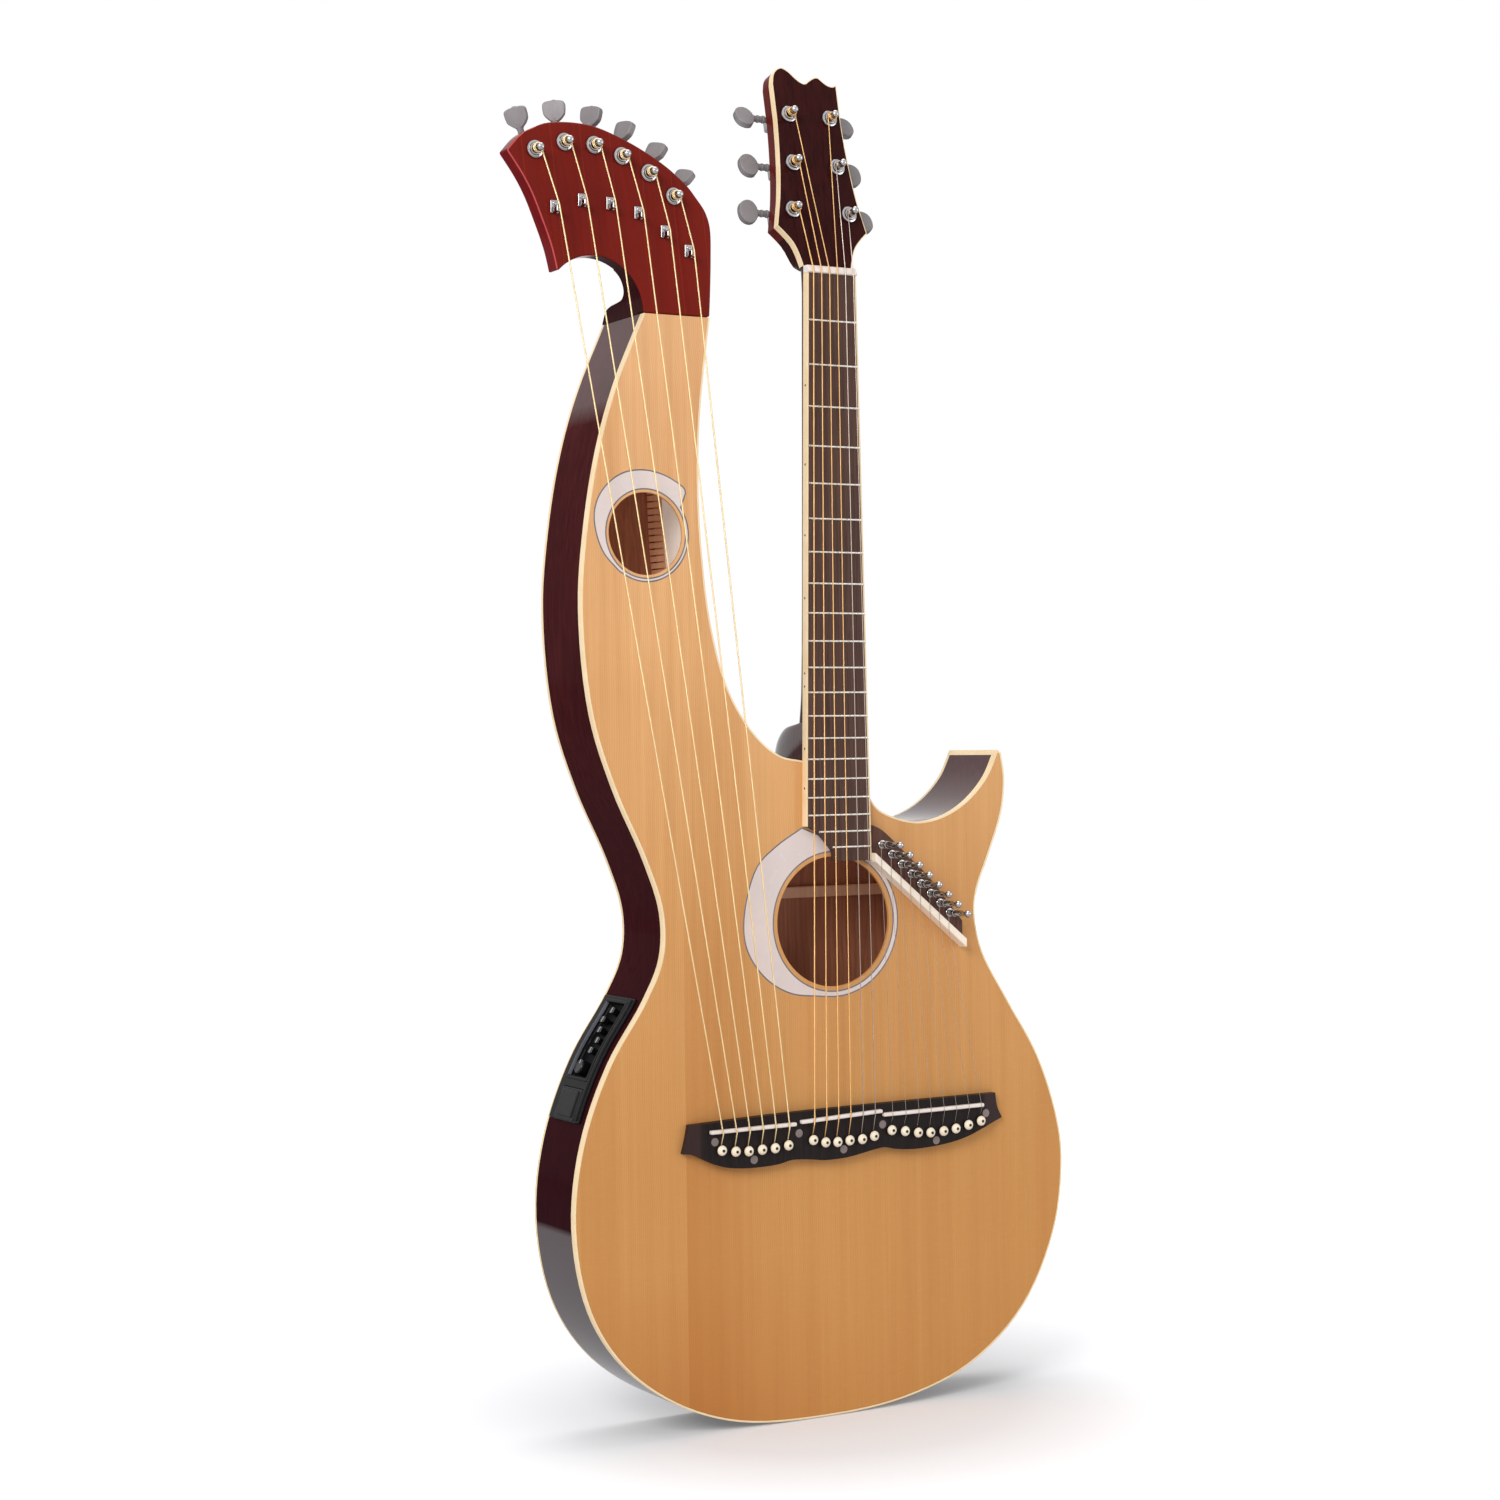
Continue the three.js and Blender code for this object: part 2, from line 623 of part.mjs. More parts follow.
function buildSoundboard() {
  const board = joined([
    slabSolid(insideBinding, frontY, frontY + plateThickness),
    ...braces(topBraceLengthShares, frontY + plateThickness - gap, frontY + topBraceHeight),
  ]);
  const through = frontY + topBraceHeight + overrun;
  const soundHoleRing = rosetteHole(soundHole, soundHoleRadius, soundRingShares);
  const armHoleRing = rosetteHole(armHole, armHoleRadius, armRingShares);
  const cuts = joined([
    slabSolid(circle(soundHole, soundHoleRadius, holeSegments), frontY - overrun, through),
    slabSolid(circle(armHole, armHoleRadius, holeSegments), frontY - overrun, through),
    pocket(soundRosette, soundHoleRing),
    pocket(armRosette, armHoleRing),
    ...pinHoles(frontY - overrun, frontY + plateThickness + overrun),
  ]);
  add(model, 'soundboard', geometryOf(board.subtract(cuts)), ...finish.spruce);
  const inlay = (points, middle) => slab(points, frontY, frontY + inlayDepth, [middle]);
  add(model, 'soundhole_rosette', inlay(soundRosette, soundHoleRing), ...finish.pearl);
  add(model, 'arm_rosette', inlay(armRosette, armHoleRing), ...finish.pearl);
}

function buildBack() {
  const back = joined([
    slabSolid(outline, backY - plateThickness, backY),
    ...braces(backBraceLengthShares, backY - backBraceHeight, backY - plateThickness + gap),
  ]);
  add(model, 'back_plate', geometryOf(back), ...finish.mahogany);
}

function buildBinding() {
  const around = [...outline.slice(armEndEdge + 1), ...outline.slice(0, armEndEdge + 1)];
  const inner = [...insideBinding.slice(armEndEdge + 1), ...insideBinding.slice(0, armEndEdge + 1)];
  const strip = slab([...around, ...inner.reverse()], frontY, frontY + bindingHeight);
  add(model, 'top_binding', strip, ...finish.cream);
}

// Preamp frame: the chord of the rim's outline that the plate spans
const preampTopZ = preampLengthShare * bodyLength;
const chordTop = new THREE.Vector2(leftOf(preampTopZ), preampTopZ);
const preampBottomZ = (() => {
  let z = preampTopZ;
  const step = preampLength / 400;
  while (Math.hypot(leftOf(z) - chordTop.x, z - chordTop.y) < preampLength) z -= step;
  return z;
})();
const chordBottom = new THREE.Vector2(leftOf(preampBottomZ), preampBottomZ);
const along = chordBottom.clone().sub(chordTop).normalize();
const preampOut = new THREE.Vector2(along.y, -along.x);
const chordLength = chordTop.distanceTo(chordBottom);
// A point of the preamp's own frame: u along the rim, w out of it
const preampPoint = (u, w) => [
  chordTop.x + along.x * u + preampOut.x * w, chordTop.y + along.y * u + preampOut.y * w,
];
const preampMidY = preampShift;
const preampBox = (u0, u1, w0, w1, halfWidth, shift = 0) => slabSolid(
  [preampPoint(u0, w0), preampPoint(u1, w0), preampPoint(u1, w1), preampPoint(u0, w1)],
  preampMidY + shift - halfWidth, preampMidY + shift + halfWidth);
const bodyHalfWidth = preampWidth / 2 - preampBodyInset;
const rimStretch = [
  [chordTop.x, chordTop.y],
  ...outline.filter(([x, z]) => x < bodyCentreX && z < chordTop.y && z > chordBottom.y).reverse(),
  [chordBottom.x, chordBottom.y],
];
const bulge = Math.max(...rimStretch.map(([x, z]) => (
  (x - chordTop.x) * preampOut.x + (z - chordTop.y) * preampOut.y)));

function buildSides() {
  const section = [
    [0, frontY + bindingHeight], [0, backY - plateThickness],
    [sideThickness + liningWidth, backY - plateThickness],
    [sideThickness, backY - plateThickness - liningHeight],
    [sideThickness, frontY + plateThickness + liningHeight],
    [sideThickness + liningWidth, frontY + plateThickness],
    [bindingWidth, frontY + plateThickness], [bindingWidth, frontY + bindingHeight],
  ];
  const paths = section.map(([depth]) => within(depth));
  const rings = outline.map((_, i) => section.map(([, y], k) => [paths[k][i][0], y, paths[k][i][1]]));
  const inside = tidySlab(
    inset(outline, () => sideThickness - gap), frontY + plateThickness, backY - plateThickness);
  const blockWithin = (x0, x1, z0, z1) => block(
    x0, x1, frontY + plateThickness, backY - plateThickness, z0, z1).intersect(inside);
  const halfTail = (tailBlockShares[0] * bodyWidth) / 2;
  const halfNeck = (neckBlockShares[0] * bodyWidth) / 2;
  const rim = joined([
    solid(loft(rings, true)),
    blockWithin(bodyCentreX - halfTail, bodyCentreX + halfTail, 0, tailBlockShares[1] * bodyLength),
    blockWithin(
      -halfNeck, halfNeck, neckBlockShares[1] * bodyLength, neckBlockShares[2] * bodyLength),
    blockWithin(
      -bodyWidth, 0, armBlockLengthShare * bodyLength, bodyLength),
  ]);
  const opening = preampBox(
    preampBodyInset - gap, chordLength - preampBodyInset + gap,
    -sideThickness - liningWidth - overrun, bulge + overrun, bodyHalfWidth + gap);
  add(model, 'sides', geometryOf(rim.subtract(opening)), ...finish.mahogany);
}

const bassHeadPoint = ([x, z]) => [
  innerCorner[0] + x * bassHeadWidth, bodyLength + z * bassHeadHeight,
];
const headRootZ = bodyLength + gap;

function buildBassHead() {
  const hookCentre = [outerCorner[0] - hookRadius, bodyLength];
  const tip = bassHeadPoint(bassHeadShares[bassHeadShares.length - 1]);
  const tipAngle = Math.atan2(tip[1] - hookCentre[1], tip[0] - hookCentre[0]);
  const steps = holeSegments / 4;
  const tipReach = THREE.MathUtils.degToRad(12);
  const startAngle = Math.asin(gap / hookRadius);
  const hook = Array.from({ length: steps + 1 }, (_, i) => {
    const angle = tipAngle - tipReach / 4 - ((tipAngle - tipReach / 4 - startAngle) * i) / steps;
    return [
      hookCentre[0] + hookRadius * Math.cos(angle), hookCentre[1] + hookRadius * Math.sin(angle),
    ];
  });
  const plan = [
    [innerCorner[0], headRootZ],
    ...bassHeadShares.map(bassHeadPoint),
    ...hook,
  ];
  const heelRise = heelRiseShare * bassHeadHeight;
  const heelBase = frontY + bassHeadThickness;
  const heel = [
    ...heelShares.map(([up, back]) => [
      heelBase + back * (bodyDepth - bassHeadThickness), headRootZ + up * heelRise]),
    [heelBase - overrun, headRootZ + heelRise],
    [heelBase - overrun, headRootZ],
  ];
  const armEndWidth = innerCorner[0] - outerCorner[0];
  // The heel's profile is drawn across the width, so it is laid out in X and turned to Y
  const profile = slab(heel, 0, armEndWidth + 2 * hookRadius);
  profile.rotateZ(Math.PI / 2);
  profile.translate(innerCorner[0] + hookRadius, 0, 0);
  const beside = block(
    outerCorner[0] - hookRadius, innerCorner[0] + hookRadius,
    frontY, backY, headRootZ, headRootZ + heelRise);
  const foot = slabSolid(plan, frontY, backY).intersect(solid(profile)).intersect(beside);
  const posts = bassPosts.map(([x, z]) => slabSolid(
    hole([x, z], sleeveRadius + gap), frontY - overrun, backY));
  const screws = bassBracketShares.map(bassHeadPoint).map(([x, z]) => block(
    x - bracketPostWidth / 2 - gap, x + bracketPostWidth / 2 + gap, frontY - overrun, backY,
    z - gap, z + bracketPostWidth + gap));
  const head = joined([slabSolid(plan, frontY, frontY + bassHeadThickness), foot]);
  const drilled = head.subtract(joined([...posts, ...screws]));
  add(model, 'bass_headstock', geometryOf(drilled), ...finish.cherry);
}
const bassPosts = bassPostShares.map(bassHeadPoint);

// One section of the neck: flat in front, rounded behind
function neckRing(z, width, depth, roundness) {
  const points = [];
  for (let i = 0; i < neckSections; i += 1) {
    const angle = (Math.PI * i) / (neckSections - 1);
    const c = Math.cos(angle);
    const s = Math.sin(angle);
    points.push([
      width * Math.sign(c) * Math.abs(c) ** (2 / roundness),
      frontY + depth * Math.abs(s) ** (2 / roundness), z,
    ]);
  }
  return points;
}

const headPoint = (x, s, h) => [
  x, frontY + s * Math.sin(headTilt) - h * Math.cos(headTilt),
  headZ + s * Math.cos(headTilt) + h * Math.sin(headTilt),
];
const neckPosts = [-1, 1].flatMap((side) => neckPostWidthShares.map((share, i) => [
  side * share * neckHeadWidth, neckPostLengthShares[i] * neckHeadLength]));
const neckHeadGroup = new THREE.Group();
neckHeadGroup.position.set(0, frontY, headZ);
neckHeadGroup.rotation.x = -headTilt;
model.add(neckHeadGroup);
neckHeadGroup.updateMatrixWorld(true);

function buildNeck() {
  const heelEnd = rootZ[1] - overrun;
  const round = 1.8;
  const full = 2.3;
  const square = 3;
  const depths = [
    [headZ - headLap / 2, neckDepthAtNut, square],
    [nutZ - nutWidth / 3, neckDepthAtNut, round],
    [fretZ(12), (neckDepthAtNut + neckDepthAtHeel) / 2, round],
    [rootZ[0] + neckHeelRise, neckDepthAtHeel, full],
    ...neckHeelShares.map(([up, back]) => [
      rootZ[0] + up * neckHeelRise, back * heelDepth, square]),
    [heelEnd, heelDepth, square],
  ];
  const rings = depths.map(([z, depth, roundness]) => neckRing(
    z, z > nutZ ? halfBoard(nutZ) : halfBoard(z), depth, roundness));
  // The head's plate runs on behind the nut and is cut flush with the neck's front there
  const tilted = slab(
    neckHeadShares.map(([x, s]) => [x * neckHeadWidth, s * neckHeadLength || -headLap]),
    0, neckHeadThickness);
  tilted.applyMatrix4(neckHeadGroup.matrixWorld);
  const plate = solid(tilted).subtract(block(
    -neckHeadWidth, neckHeadWidth, frontY - overrun, frontY, headZ - overrun, headZ));
  const slope = (rootZ[1] - rootZ[0]) / (halfBoard(rootZ[0]) + halfBoard(rootZ[1]));
  const lift = gap * Math.hypot(1, slope);
  const rootLine = (x) => rootZ[0] + lift + (x + halfBoard(rootZ[0])) * slope;
  const body = slabSolid([
    [-bodyWidth, rootLine(-bodyWidth)], [bodyWidth, rootLine(bodyWidth)],
    [bodyWidth, 0], [-bodyWidth, 0],
  ], frontY - overrun, backY + heelDepth);
  const posts = neckPosts.map(([x, s]) => {
    const drill = slab(hole([x, s], sleeveRadius + gap), -overrun, neckHeadThickness + overrun);
    drill.applyMatrix4(neckHeadGroup.matrixWorld);
    return solid(drill);
  });
  const neck = joined([solid(loft(rings)), plate]).subtract(body).subtract(joined(posts));
  add(model, 'neck', geometryOf(neck), ...finish.mahogany);
}

const boardFaceY = frontY - boardThickness;

function buildFingerboard() {
  const endWidth = 2 * halfBoard(boardEndZ);
  const cut = boardCutShares.map(([x, z]) => [x * endWidth, boardEndZ + z * endWidth]);
  cut[0][0] = -halfBoard(cut[0][1]);
  const plan = [
    [halfBoard(nutZ), nutZ], [-halfBoard(nutZ), nutZ], ...cut, [halfBoard(boardEndZ), boardEndZ],
  ];
  const board = slabSolid(plan, boardFaceY, frontY);
  const within = slabSolid(plan, boardFaceY - fretHeight, frontY);
  const frets = Array.from({ length: fretCount }, (_, i) => {
    const z = fretZ(i + 1);
    const half = halfBoard(z) - boardBinding;
    const crown = [
      [boardFaceY + fretHeight, z - fretWidth / 2], [boardFaceY, z - fretWidth / 2],
      [boardFaceY - fretHeight, z - fretWidth / 5], [boardFaceY - fretHeight, z + fretWidth / 5],
      [boardFaceY, z + fretWidth / 2], [boardFaceY + fretHeight, z + fretWidth / 2],
    ];
    return solid(loft([-half, half].map((x) => crown.map(([y, up]) => [x, y, up])))).intersect(within);
  });
  add(model, 'fingerboard', geometryOf(joined([board, ...frets])), ...finish.rosewood);
  const half = halfBoard(nutZ);
  const nut = [
    [frontY, nutZ], [frontY - nutHeight, nutZ], [frontY - nutHeight, nutZ + nutThickness / 3],
    [frontY - nutHeight * 0.8, headZ], [frontY, headZ],
  ];
  add(model, 'nut', loft([-half, half].map((x) => nut.map(([y, z]) => [x, y, z]))), ...finish.bone);
}

const saddleTopY = bridgeFrontY - saddleRise;

function saddleOutline([from, to], grow) {
  const a = new THREE.Vector2(...bridgePoint(from));
  const b = new THREE.Vector2(...bridgePoint(to));
  const direction = b.clone().sub(a).normalize();
  const across = new THREE.Vector2(-direction.y, direction.x).multiplyScalar(
    saddleThickness / 2 + grow);
  const end = direction.clone().multiplyScalar(grow);
  return [
    a.clone().sub(end).add(across), b.clone().add(end).add(across),
    b.clone().add(end).sub(across), a.clone().sub(end).sub(across),
  ].map((p) => p.toArray());
}

function buildBridge() {
  const slots = [bassSaddleShares, neckSaddleShares, trebleSaddleShares].map((ends) => slabSolid(
    saddleOutline(ends, inlayClearance), bridgeFrontY - overrun, bridgeFrontY + saddleSlotDepth));
  const wingCuts = bridgeWingShares.map((share) => {
    const start = bridgeCentre[0] + share * bridgeWidth;
    const end = bridgeCentre[0] + Math.sign(share) * (bridgeWidth / 2 + overrun);
    const section = [
      [start, bridgeFrontY], [end, frontY - bridgeWingThickness], [end, bridgeFrontY - overrun],
      [start, bridgeFrontY - overrun],
    ];
    const heights = [-bridgeHeight, bridgeHeight];
    return solid(loft(heights.map((up) => section.map(([x, y]) => [x, y, bridgeCentre[1] + up]))));
  });
  const bridge = slabSolid(bridgeShares.map(bridgePoint), bridgeFrontY, frontY)
    .subtract(joined([...slots, ...wingCuts, ...pinHoles(bridgeFrontY - overrun, frontY + overrun)]));
  add(model, 'bridge', geometryOf(bridge), ...finish.rosewood);
  const saddle = (name, ends) => add(
    model, name, slab(saddleOutline(ends, 0), saddleTopY, bridgeFrontY + saddleSlotDepth),
    ...finish.bone);
  saddle('bass_saddle', bassSaddleShares);
  saddle('neck_saddle', neckSaddleShares);
  saddle('treble_saddle', trebleSaddleShares);
}

// Bridge pins stand in a plate glued under the soundboard
function buildPins() {
  const plateFront = frontY + plateThickness;
  const xs = allPins.map(([x]) => x);
  const zs = allPins.map(([, z]) => z);
  const margin = (bridgePlateHeight - (Math.max(...zs) - Math.min(...zs))) / 2;
  const plate = block(
    Math.min(...xs) - margin, Math.max(...xs) + margin,
    plateFront, plateFront + bridgePlateThickness,
    Math.min(...zs) - margin, Math.max(...zs) + margin);
  const stringHoles = allPins.map(([x, z]) => block(
    x - slotHalf, x + slotHalf, plateFront - overrun, plateFront + bridgePlateThickness + overrun,
    z + pinShankRadius, z + slotEnd));
  const headFoot = bridgeFrontY - pinHeadLift;
  const profile = [
    [0, headFoot - pinHeadHeight], [pinHeadRadius * 0.7, headFoot - pinHeadHeight * 0.8],
    [pinHeadRadius, headFoot], [pinShankRadius, headFoot],
    [pinShankRadius, plateFront + bridgePlateThickness / 2],
    [0, plateFront + bridgePlateThickness / 2],
  ];
  const pins = allPins.map(([x, z]) => {
    const pin = turned(profile, pinSegments);
    pin.rotateY(Math.PI / pinSegments);
    pin.translate(x, 0, z);
    return solid(pin);
  });
  const group = joined([plate.subtract(joined(stringHoles)), ...pins]);
  add(model, 'bridge_pins', geometryOf(group), ...finish.bone);
}

// Treble tuning block, its nut and its pins
const trebleFirst = bodyPoint(trebleFirstShares);
const trebleLast = bodyPoint(trebleLastShares);
const treblePosts = Array.from({ length: treblePinCount }, (_, i) => {
  const t = i / (treblePinCount - 1);
  return [
    trebleFirst[0] + (trebleLast[0] - trebleFirst[0]) * t,
    trebleFirst[1] + (trebleLast[1] - trebleFirst[1]) * t,
  ];
});
const nutFoot = trebleNutFootShares.map(bodyPoint);
const nutLine = new THREE.Vector2(
  nutFoot[1][0] - nutFoot[0][0], nutFoot[1][1] - nutFoot[0][1]).normalize();
const trebleStringY = frontY - trebleBlockHeight - trebleStringLevel;

function buildTrebleGroup() {
  const beside = halfBoard(boardEndZ) + gap;
  const onNutLine = (x, above) => [
    x, nutFoot[0][1] + ((x - nutFoot[0][0]) * nutLine.y + above) / nutLine.x];
  const outerEdge = trebleBlockShares.map(bodyPoint);
  outerEdge[0][0] = beside;
  const blockEnd = outerEdge[outerEdge.length - 1][0];
  const plan = [
    onNutLine(beside, trebleNutThickness + gap), ...outerEdge,
    onNutLine(blockEnd, trebleNutThickness + gap),
  ];
  const holes = treblePosts.map((post) => slabSolid(
    hole(post, treblePinShank + runningClearance),
    frontY - trebleBlockHeight - overrun, frontY - (trebleBlockHeight - treblePinDepth)));
  const tuningBlock = slabSolid(plan, frontY - trebleBlockHeight, frontY).subtract(joined(holes));
  add(model, 'treble_pin_block', geometryOf(tuningBlock), ...finish.rosewood);
  const nutEnd = nutFoot[1][0];
  const nut = [
    onNutLine(beside, 0), onNutLine(nutEnd, 0), onNutLine(nutEnd, trebleNutThickness),
    onNutLine(beside, trebleNutThickness),
  ];
  add(model, 'treble_nut', slab(nut, frontY - trebleNutHeight, frontY), ...finish.bone);
  const top = frontY - trebleBlockHeight;
  const profile = [
    [0, top - treblePinRise - trebleBallRadius],
    [trebleBallRadius * 0.75, top - treblePinRise - trebleBallRadius * 0.66],
    [trebleBallRadius, top - treblePinRise],
    [trebleWaistRadius, top - treblePinRise + trebleBallRadius],
    [trebleBarrelRadius, top - trebleBarrelHeight], [trebleBarrelRadius, top - trebleCollarHeight],
    [trebleCollarRadius, top - trebleCollarHeight], [trebleCollarRadius, top - gap],
    [treblePinShank, top - gap], [treblePinShank, top + treblePinDepth - gap],
    [0, top + treblePinDepth - gap],
  ];
  treblePosts.forEach(([x, z], i) => {
    const pin = turned(profile, roundSegments);
    const mesh = add(model, `treble_tuning_pin_${i + 1}`, pin, ...finish.chrome);
    mesh.position.set(x, 0, z);
  });
}

// Tuning machines. In a machine's own frame the post stands along -Y out of the head's face
// and the button's shaft runs along +Z beside it.
const waist = postRadius * postWaistShare;
const wormOffset = gearRadius + wormRadius + runningClearance;

function housingSolid(plate) {
  const back = plate + gap;
  const housing = block(
    -gearRadius - housingWall - runningClearance, wormOffset + wormRadius + housingWall + gap,
    back, back + housingHeight, -housingLength / 2, housingLength / 2);
  const sleeve = turned([
    [0, -gap - bushHeight], [bushRadius, -gap - bushHeight], [bushRadius, -gap - washerThickness],
    [washerRadius, -gap - washerThickness], [washerRadius, -gap], [sleeveRadius, -gap],
    [sleeveRadius, back + gap], [0, back + gap],
  ], roundSegments);
  const postBore = turned([
    [0, -bushHeight - overrun], [postRadius + runningClearance, -bushHeight - overrun],
    [postRadius + runningClearance, back + housingHeight - housingWall],
    [0, back + housingHeight - housingWall],
  ], roundSegments);
  const shaftBore = turned([
    [0, -wormLength / 2 - runningClearance],
    [wormRadius + runningClearance, -wormLength / 2 - runningClearance],
    [wormRadius + runningClearance, housingLength / 2 - housingWall],
    [shaftRadius + runningClearance, housingLength / 2 - housingWall],
    [shaftRadius + runningClearance, housingLength / 2 + overrun],
    [0, housingLength / 2 + overrun],
  ], roundSegments);
  shaftBore.rotateX(Math.PI / 2);
  shaftBore.translate(wormOffset, back + housingHeight / 2, 0);
  return joined([housing, solid(sleeve)]).subtract(solid(postBore)).subtract(solid(shaftBore));
}

function postGeometry(plate) {
  const back = plate + gap;
  const end = back + housingHeight - housingWall - runningClearance;
  return turned([
    [0, -postHeight], [waist, -postHeight],
    [postRadius, -postHeight + postDomeHeight], [waist, -postHeight + postDomeHeight * 1.6],
    [waist, -bushHeight - gap * 2], [postRadius, -bushHeight - gap * 2],
    [postRadius, end], [0, end],
  ], roundSegments);
}

const keystoneShares = [
  [-0.16, -0.5], [0.16, -0.5], [0.42, -0.2], [0.5, 0.3], [0.2, 0.5], [-0.2, 0.5], [-0.5, 0.3],
  [-0.42, -0.2],
];
const ovalShares = [
  [-0.2, -0.5], [0.2, -0.5], [0.5, -0.26], [0.55, 0.06], [0.42, 0.36], [0.18, 0.5], [-0.18, 0.5],
  [-0.42, 0.36], [-0.55, 0.06], [-0.5, -0.26],
];

function buttonGeometry(plate, shares, bladeTurn) {
  const axisY = plate + gap + housingHeight / 2;
  const blade = slabSolid(
    shares.map(([x, z]) => [x * buttonWidth, buttonReach + z * buttonLength]),
    -buttonThickness / 2, buttonThickness / 2);
  const shaft = turned([
    [0, -wormLength / 2], [wormRadius, -wormLength / 2],
    [wormRadius, housingLength / 2 - housingWall + runningClearance],
    [shaftRadius, housingLength / 2 - housingWall + runningClearance],
    [shaftRadius, buttonReach], [0, buttonReach],
  ], roundSegments);
  shaft.rotateX(Math.PI / 2);
  const button = geometryOf(joined([blade, solid(shaft)]));
  button.rotateZ(THREE.MathUtils.degToRad(bladeTurn));
  button.translate(wormOffset, axisY, 0);
  return button;
}

function buildMachines(parent, prefix, places, turns, mirrored, plate, shares) {
  const housing = housingSolid(plate);
  const solids = [];
  places.forEach(([x, z], i) => {
    const machine = new THREE.Group();
    machine.position.set(x, 0, z);
    machine.rotation.y = THREE.MathUtils.degToRad(turns.machines[i]);
    parent.add(machine);
    machine.updateMatrix();
    const flip = mirrored[i];
    const button = buttonGeometry(plate, shares, turns.blades[i]);
    if (flip) outward(button.scale(-1, 1, 1));
    add(machine, `${prefix}_tuner_button_${i + 1}`, button, ...finish.chrome);
    add(machine, `${prefix}_tuner_post_${i + 1}`, postGeometry(plate), ...finish.chrome);
    const body = geometryOf(flip ? housing.mirror([1, 0, 0]) : housing);
    body.applyMatrix4(machine.matrix);
    solids.push(solid(body));
  });
  return solids;
}

// Thin ties that lie on the back of a head, from machine to machine
function ties(places, plate) {
  const y0 = plate + gap;
  return places.slice(1).map((place, i) => {
    const a = new THREE.Vector2(...places[i]);
    const b = new THREE.Vector2(...place);
    const side = b.clone().sub(a).normalize().multiplyScalar(tieWidth / 2);
    return slabSolid([
      [a.x - side.y, a.y + side.x], [b.x - side.y, b.y + side.x],
      [b.x + side.y, b.y - side.x], [a.x + side.y, a.y - side.x],
    ], y0, y0 + tieThickness);
  });
}
const inward = (places, middle, amount) => places.map(([x, z]) => {
  const away = Math.hypot(x - middle[0], z - middle[1]);
  return [x + ((middle[0] - x) / away) * amount, z + ((middle[1] - z) / away) * amount];
});

function buildBassMachines() {
  const bassGroup = new THREE.Group();
  bassGroup.position.set(0, frontY, 0);
  model.add(bassGroup);
  bassGroup.updateMatrixWorld(true);
  const right = bassPosts.map(() => false);
  const turns = { machines: bassTunerDegrees, blades: bassBladeDegrees };
  const housings = buildMachines(
    bassGroup, 'bass', bassPosts, turns, right, bassHeadThickness, keystoneShares);
  const middle = bassHeadPoint([-0.5, 0.2]);
  const tieLine = inward(bassPosts, middle, sleeveRadius + tieWidth / 2 - gap);
  const brackets = bassBracketShares.map(bassHeadPoint).map(([x, z]) => joined([
    block(x - bracketWidth / 2, x + bracketWidth / 2, -gap - bracketBase, -gap,
      z - bracketLength / 2, z + bracketLength / 2),
    block(x - bracketPostWidth / 2, x + bracketPostWidth / 2, -gap - bracketRise, -gap - bracketBase,
      z - bracketLength / 2, z),
    // Screw that holds the bracket, through the head to the tie behind
    block(x - bracketPostWidth / 2, x + bracketPostWidth / 2, -gap - bracketBase,
      bassHeadThickness + gap + tieThickness, z, z + bracketPostWidth),
  ]));
  const bracketTies = bassPosts.flatMap((post, i) => {
    const [x, z] = bassHeadPoint(bassBracketShares[i]);
    return ties([tieLine[i], [x, z + bracketPostWidth / 2]], bassHeadThickness);
  });
  const hardware = joined([
    ...housings, ...ties(tieLine, bassHeadThickness), ...bracketTies, ...brackets]);
  const moved = geometryOf(hardware);
  moved.translate(0, frontY, 0);
  add(model, 'bass_head_hardware', moved, ...finish.chrome);
  return brackets;
}

function buildNeckMachines() {
  const turns = { machines: [-90, -90, -90, 90, 90, 90], blades: neckBladeDegrees };
  const mirrored = [false, false, false, true, true, true];
  const housings = buildMachines(
    neckHeadGroup, 'neck', neckPosts, turns, mirrored, neckHeadThickness, ovalShares);
  const shift = gearRadius + housingWall;
  const line = [
    ...neckPosts.slice(0, 3).map(([x, z]) => [x + shift, z]),
    ...neckPosts.slice(3).reverse().map(([x, z]) => [x - shift, z]),
  ];
  const hardware = geometryOf(joined([...housings, ...ties(line, neckHeadThickness)]));
  add(neckHeadGroup, 'neck_head_hardware', hardware, ...finish.chrome);
}

// The preamp's own places on the rim: u runs down the rim's chord, w out of the rim
const chordPlace = ([x, z]) => (x - chordTop.x) * along.x + (z - chordTop.y) * along.y;
function rimAt(u) {
  const next = rimStretch.findIndex((point) => chordPlace(point) >= u);
  const b = rimStretch[Math.max(next, 1)];
  const a = rimStretch[Math.max(next, 1) - 1];
  const t = (u - chordPlace(a)) / (chordPlace(b) - chordPlace(a));
  return new THREE.Vector2(a[0] + (b[0] - a[0]) * t, a[1] + (b[1] - a[1]) * t);
}
function rimFrame(u) {
  const reach = preampLength / 10;
  const down = rimAt(u + reach).sub(rimAt(u - reach)).normalize();
  return { foot: rimAt(u), down, out: new THREE.Vector2(down.y, -down.x) };
}
function rimPoint(u, v, w) {
  const { foot, down, out } = rimFrame(u);
  return foot.addScaledVector(down, v).addScaledVector(out, w).toArray();
}
const rimPrism = (u, profile, halfWidth, shift = 0) => slabSolid(
  profile.map(([v, w]) => rimPoint(u, v, w)),
  preampMidY + shift - halfWidth, preampMidY + shift + halfWidth);
const rimBox = (u, halfLength, w0, w1, halfWidth, shift = 0) => rimPrism(
  u, [[-halfLength, w0], [halfLength, w0], [halfLength, w1], [-halfLength, w1]], halfWidth, shift);
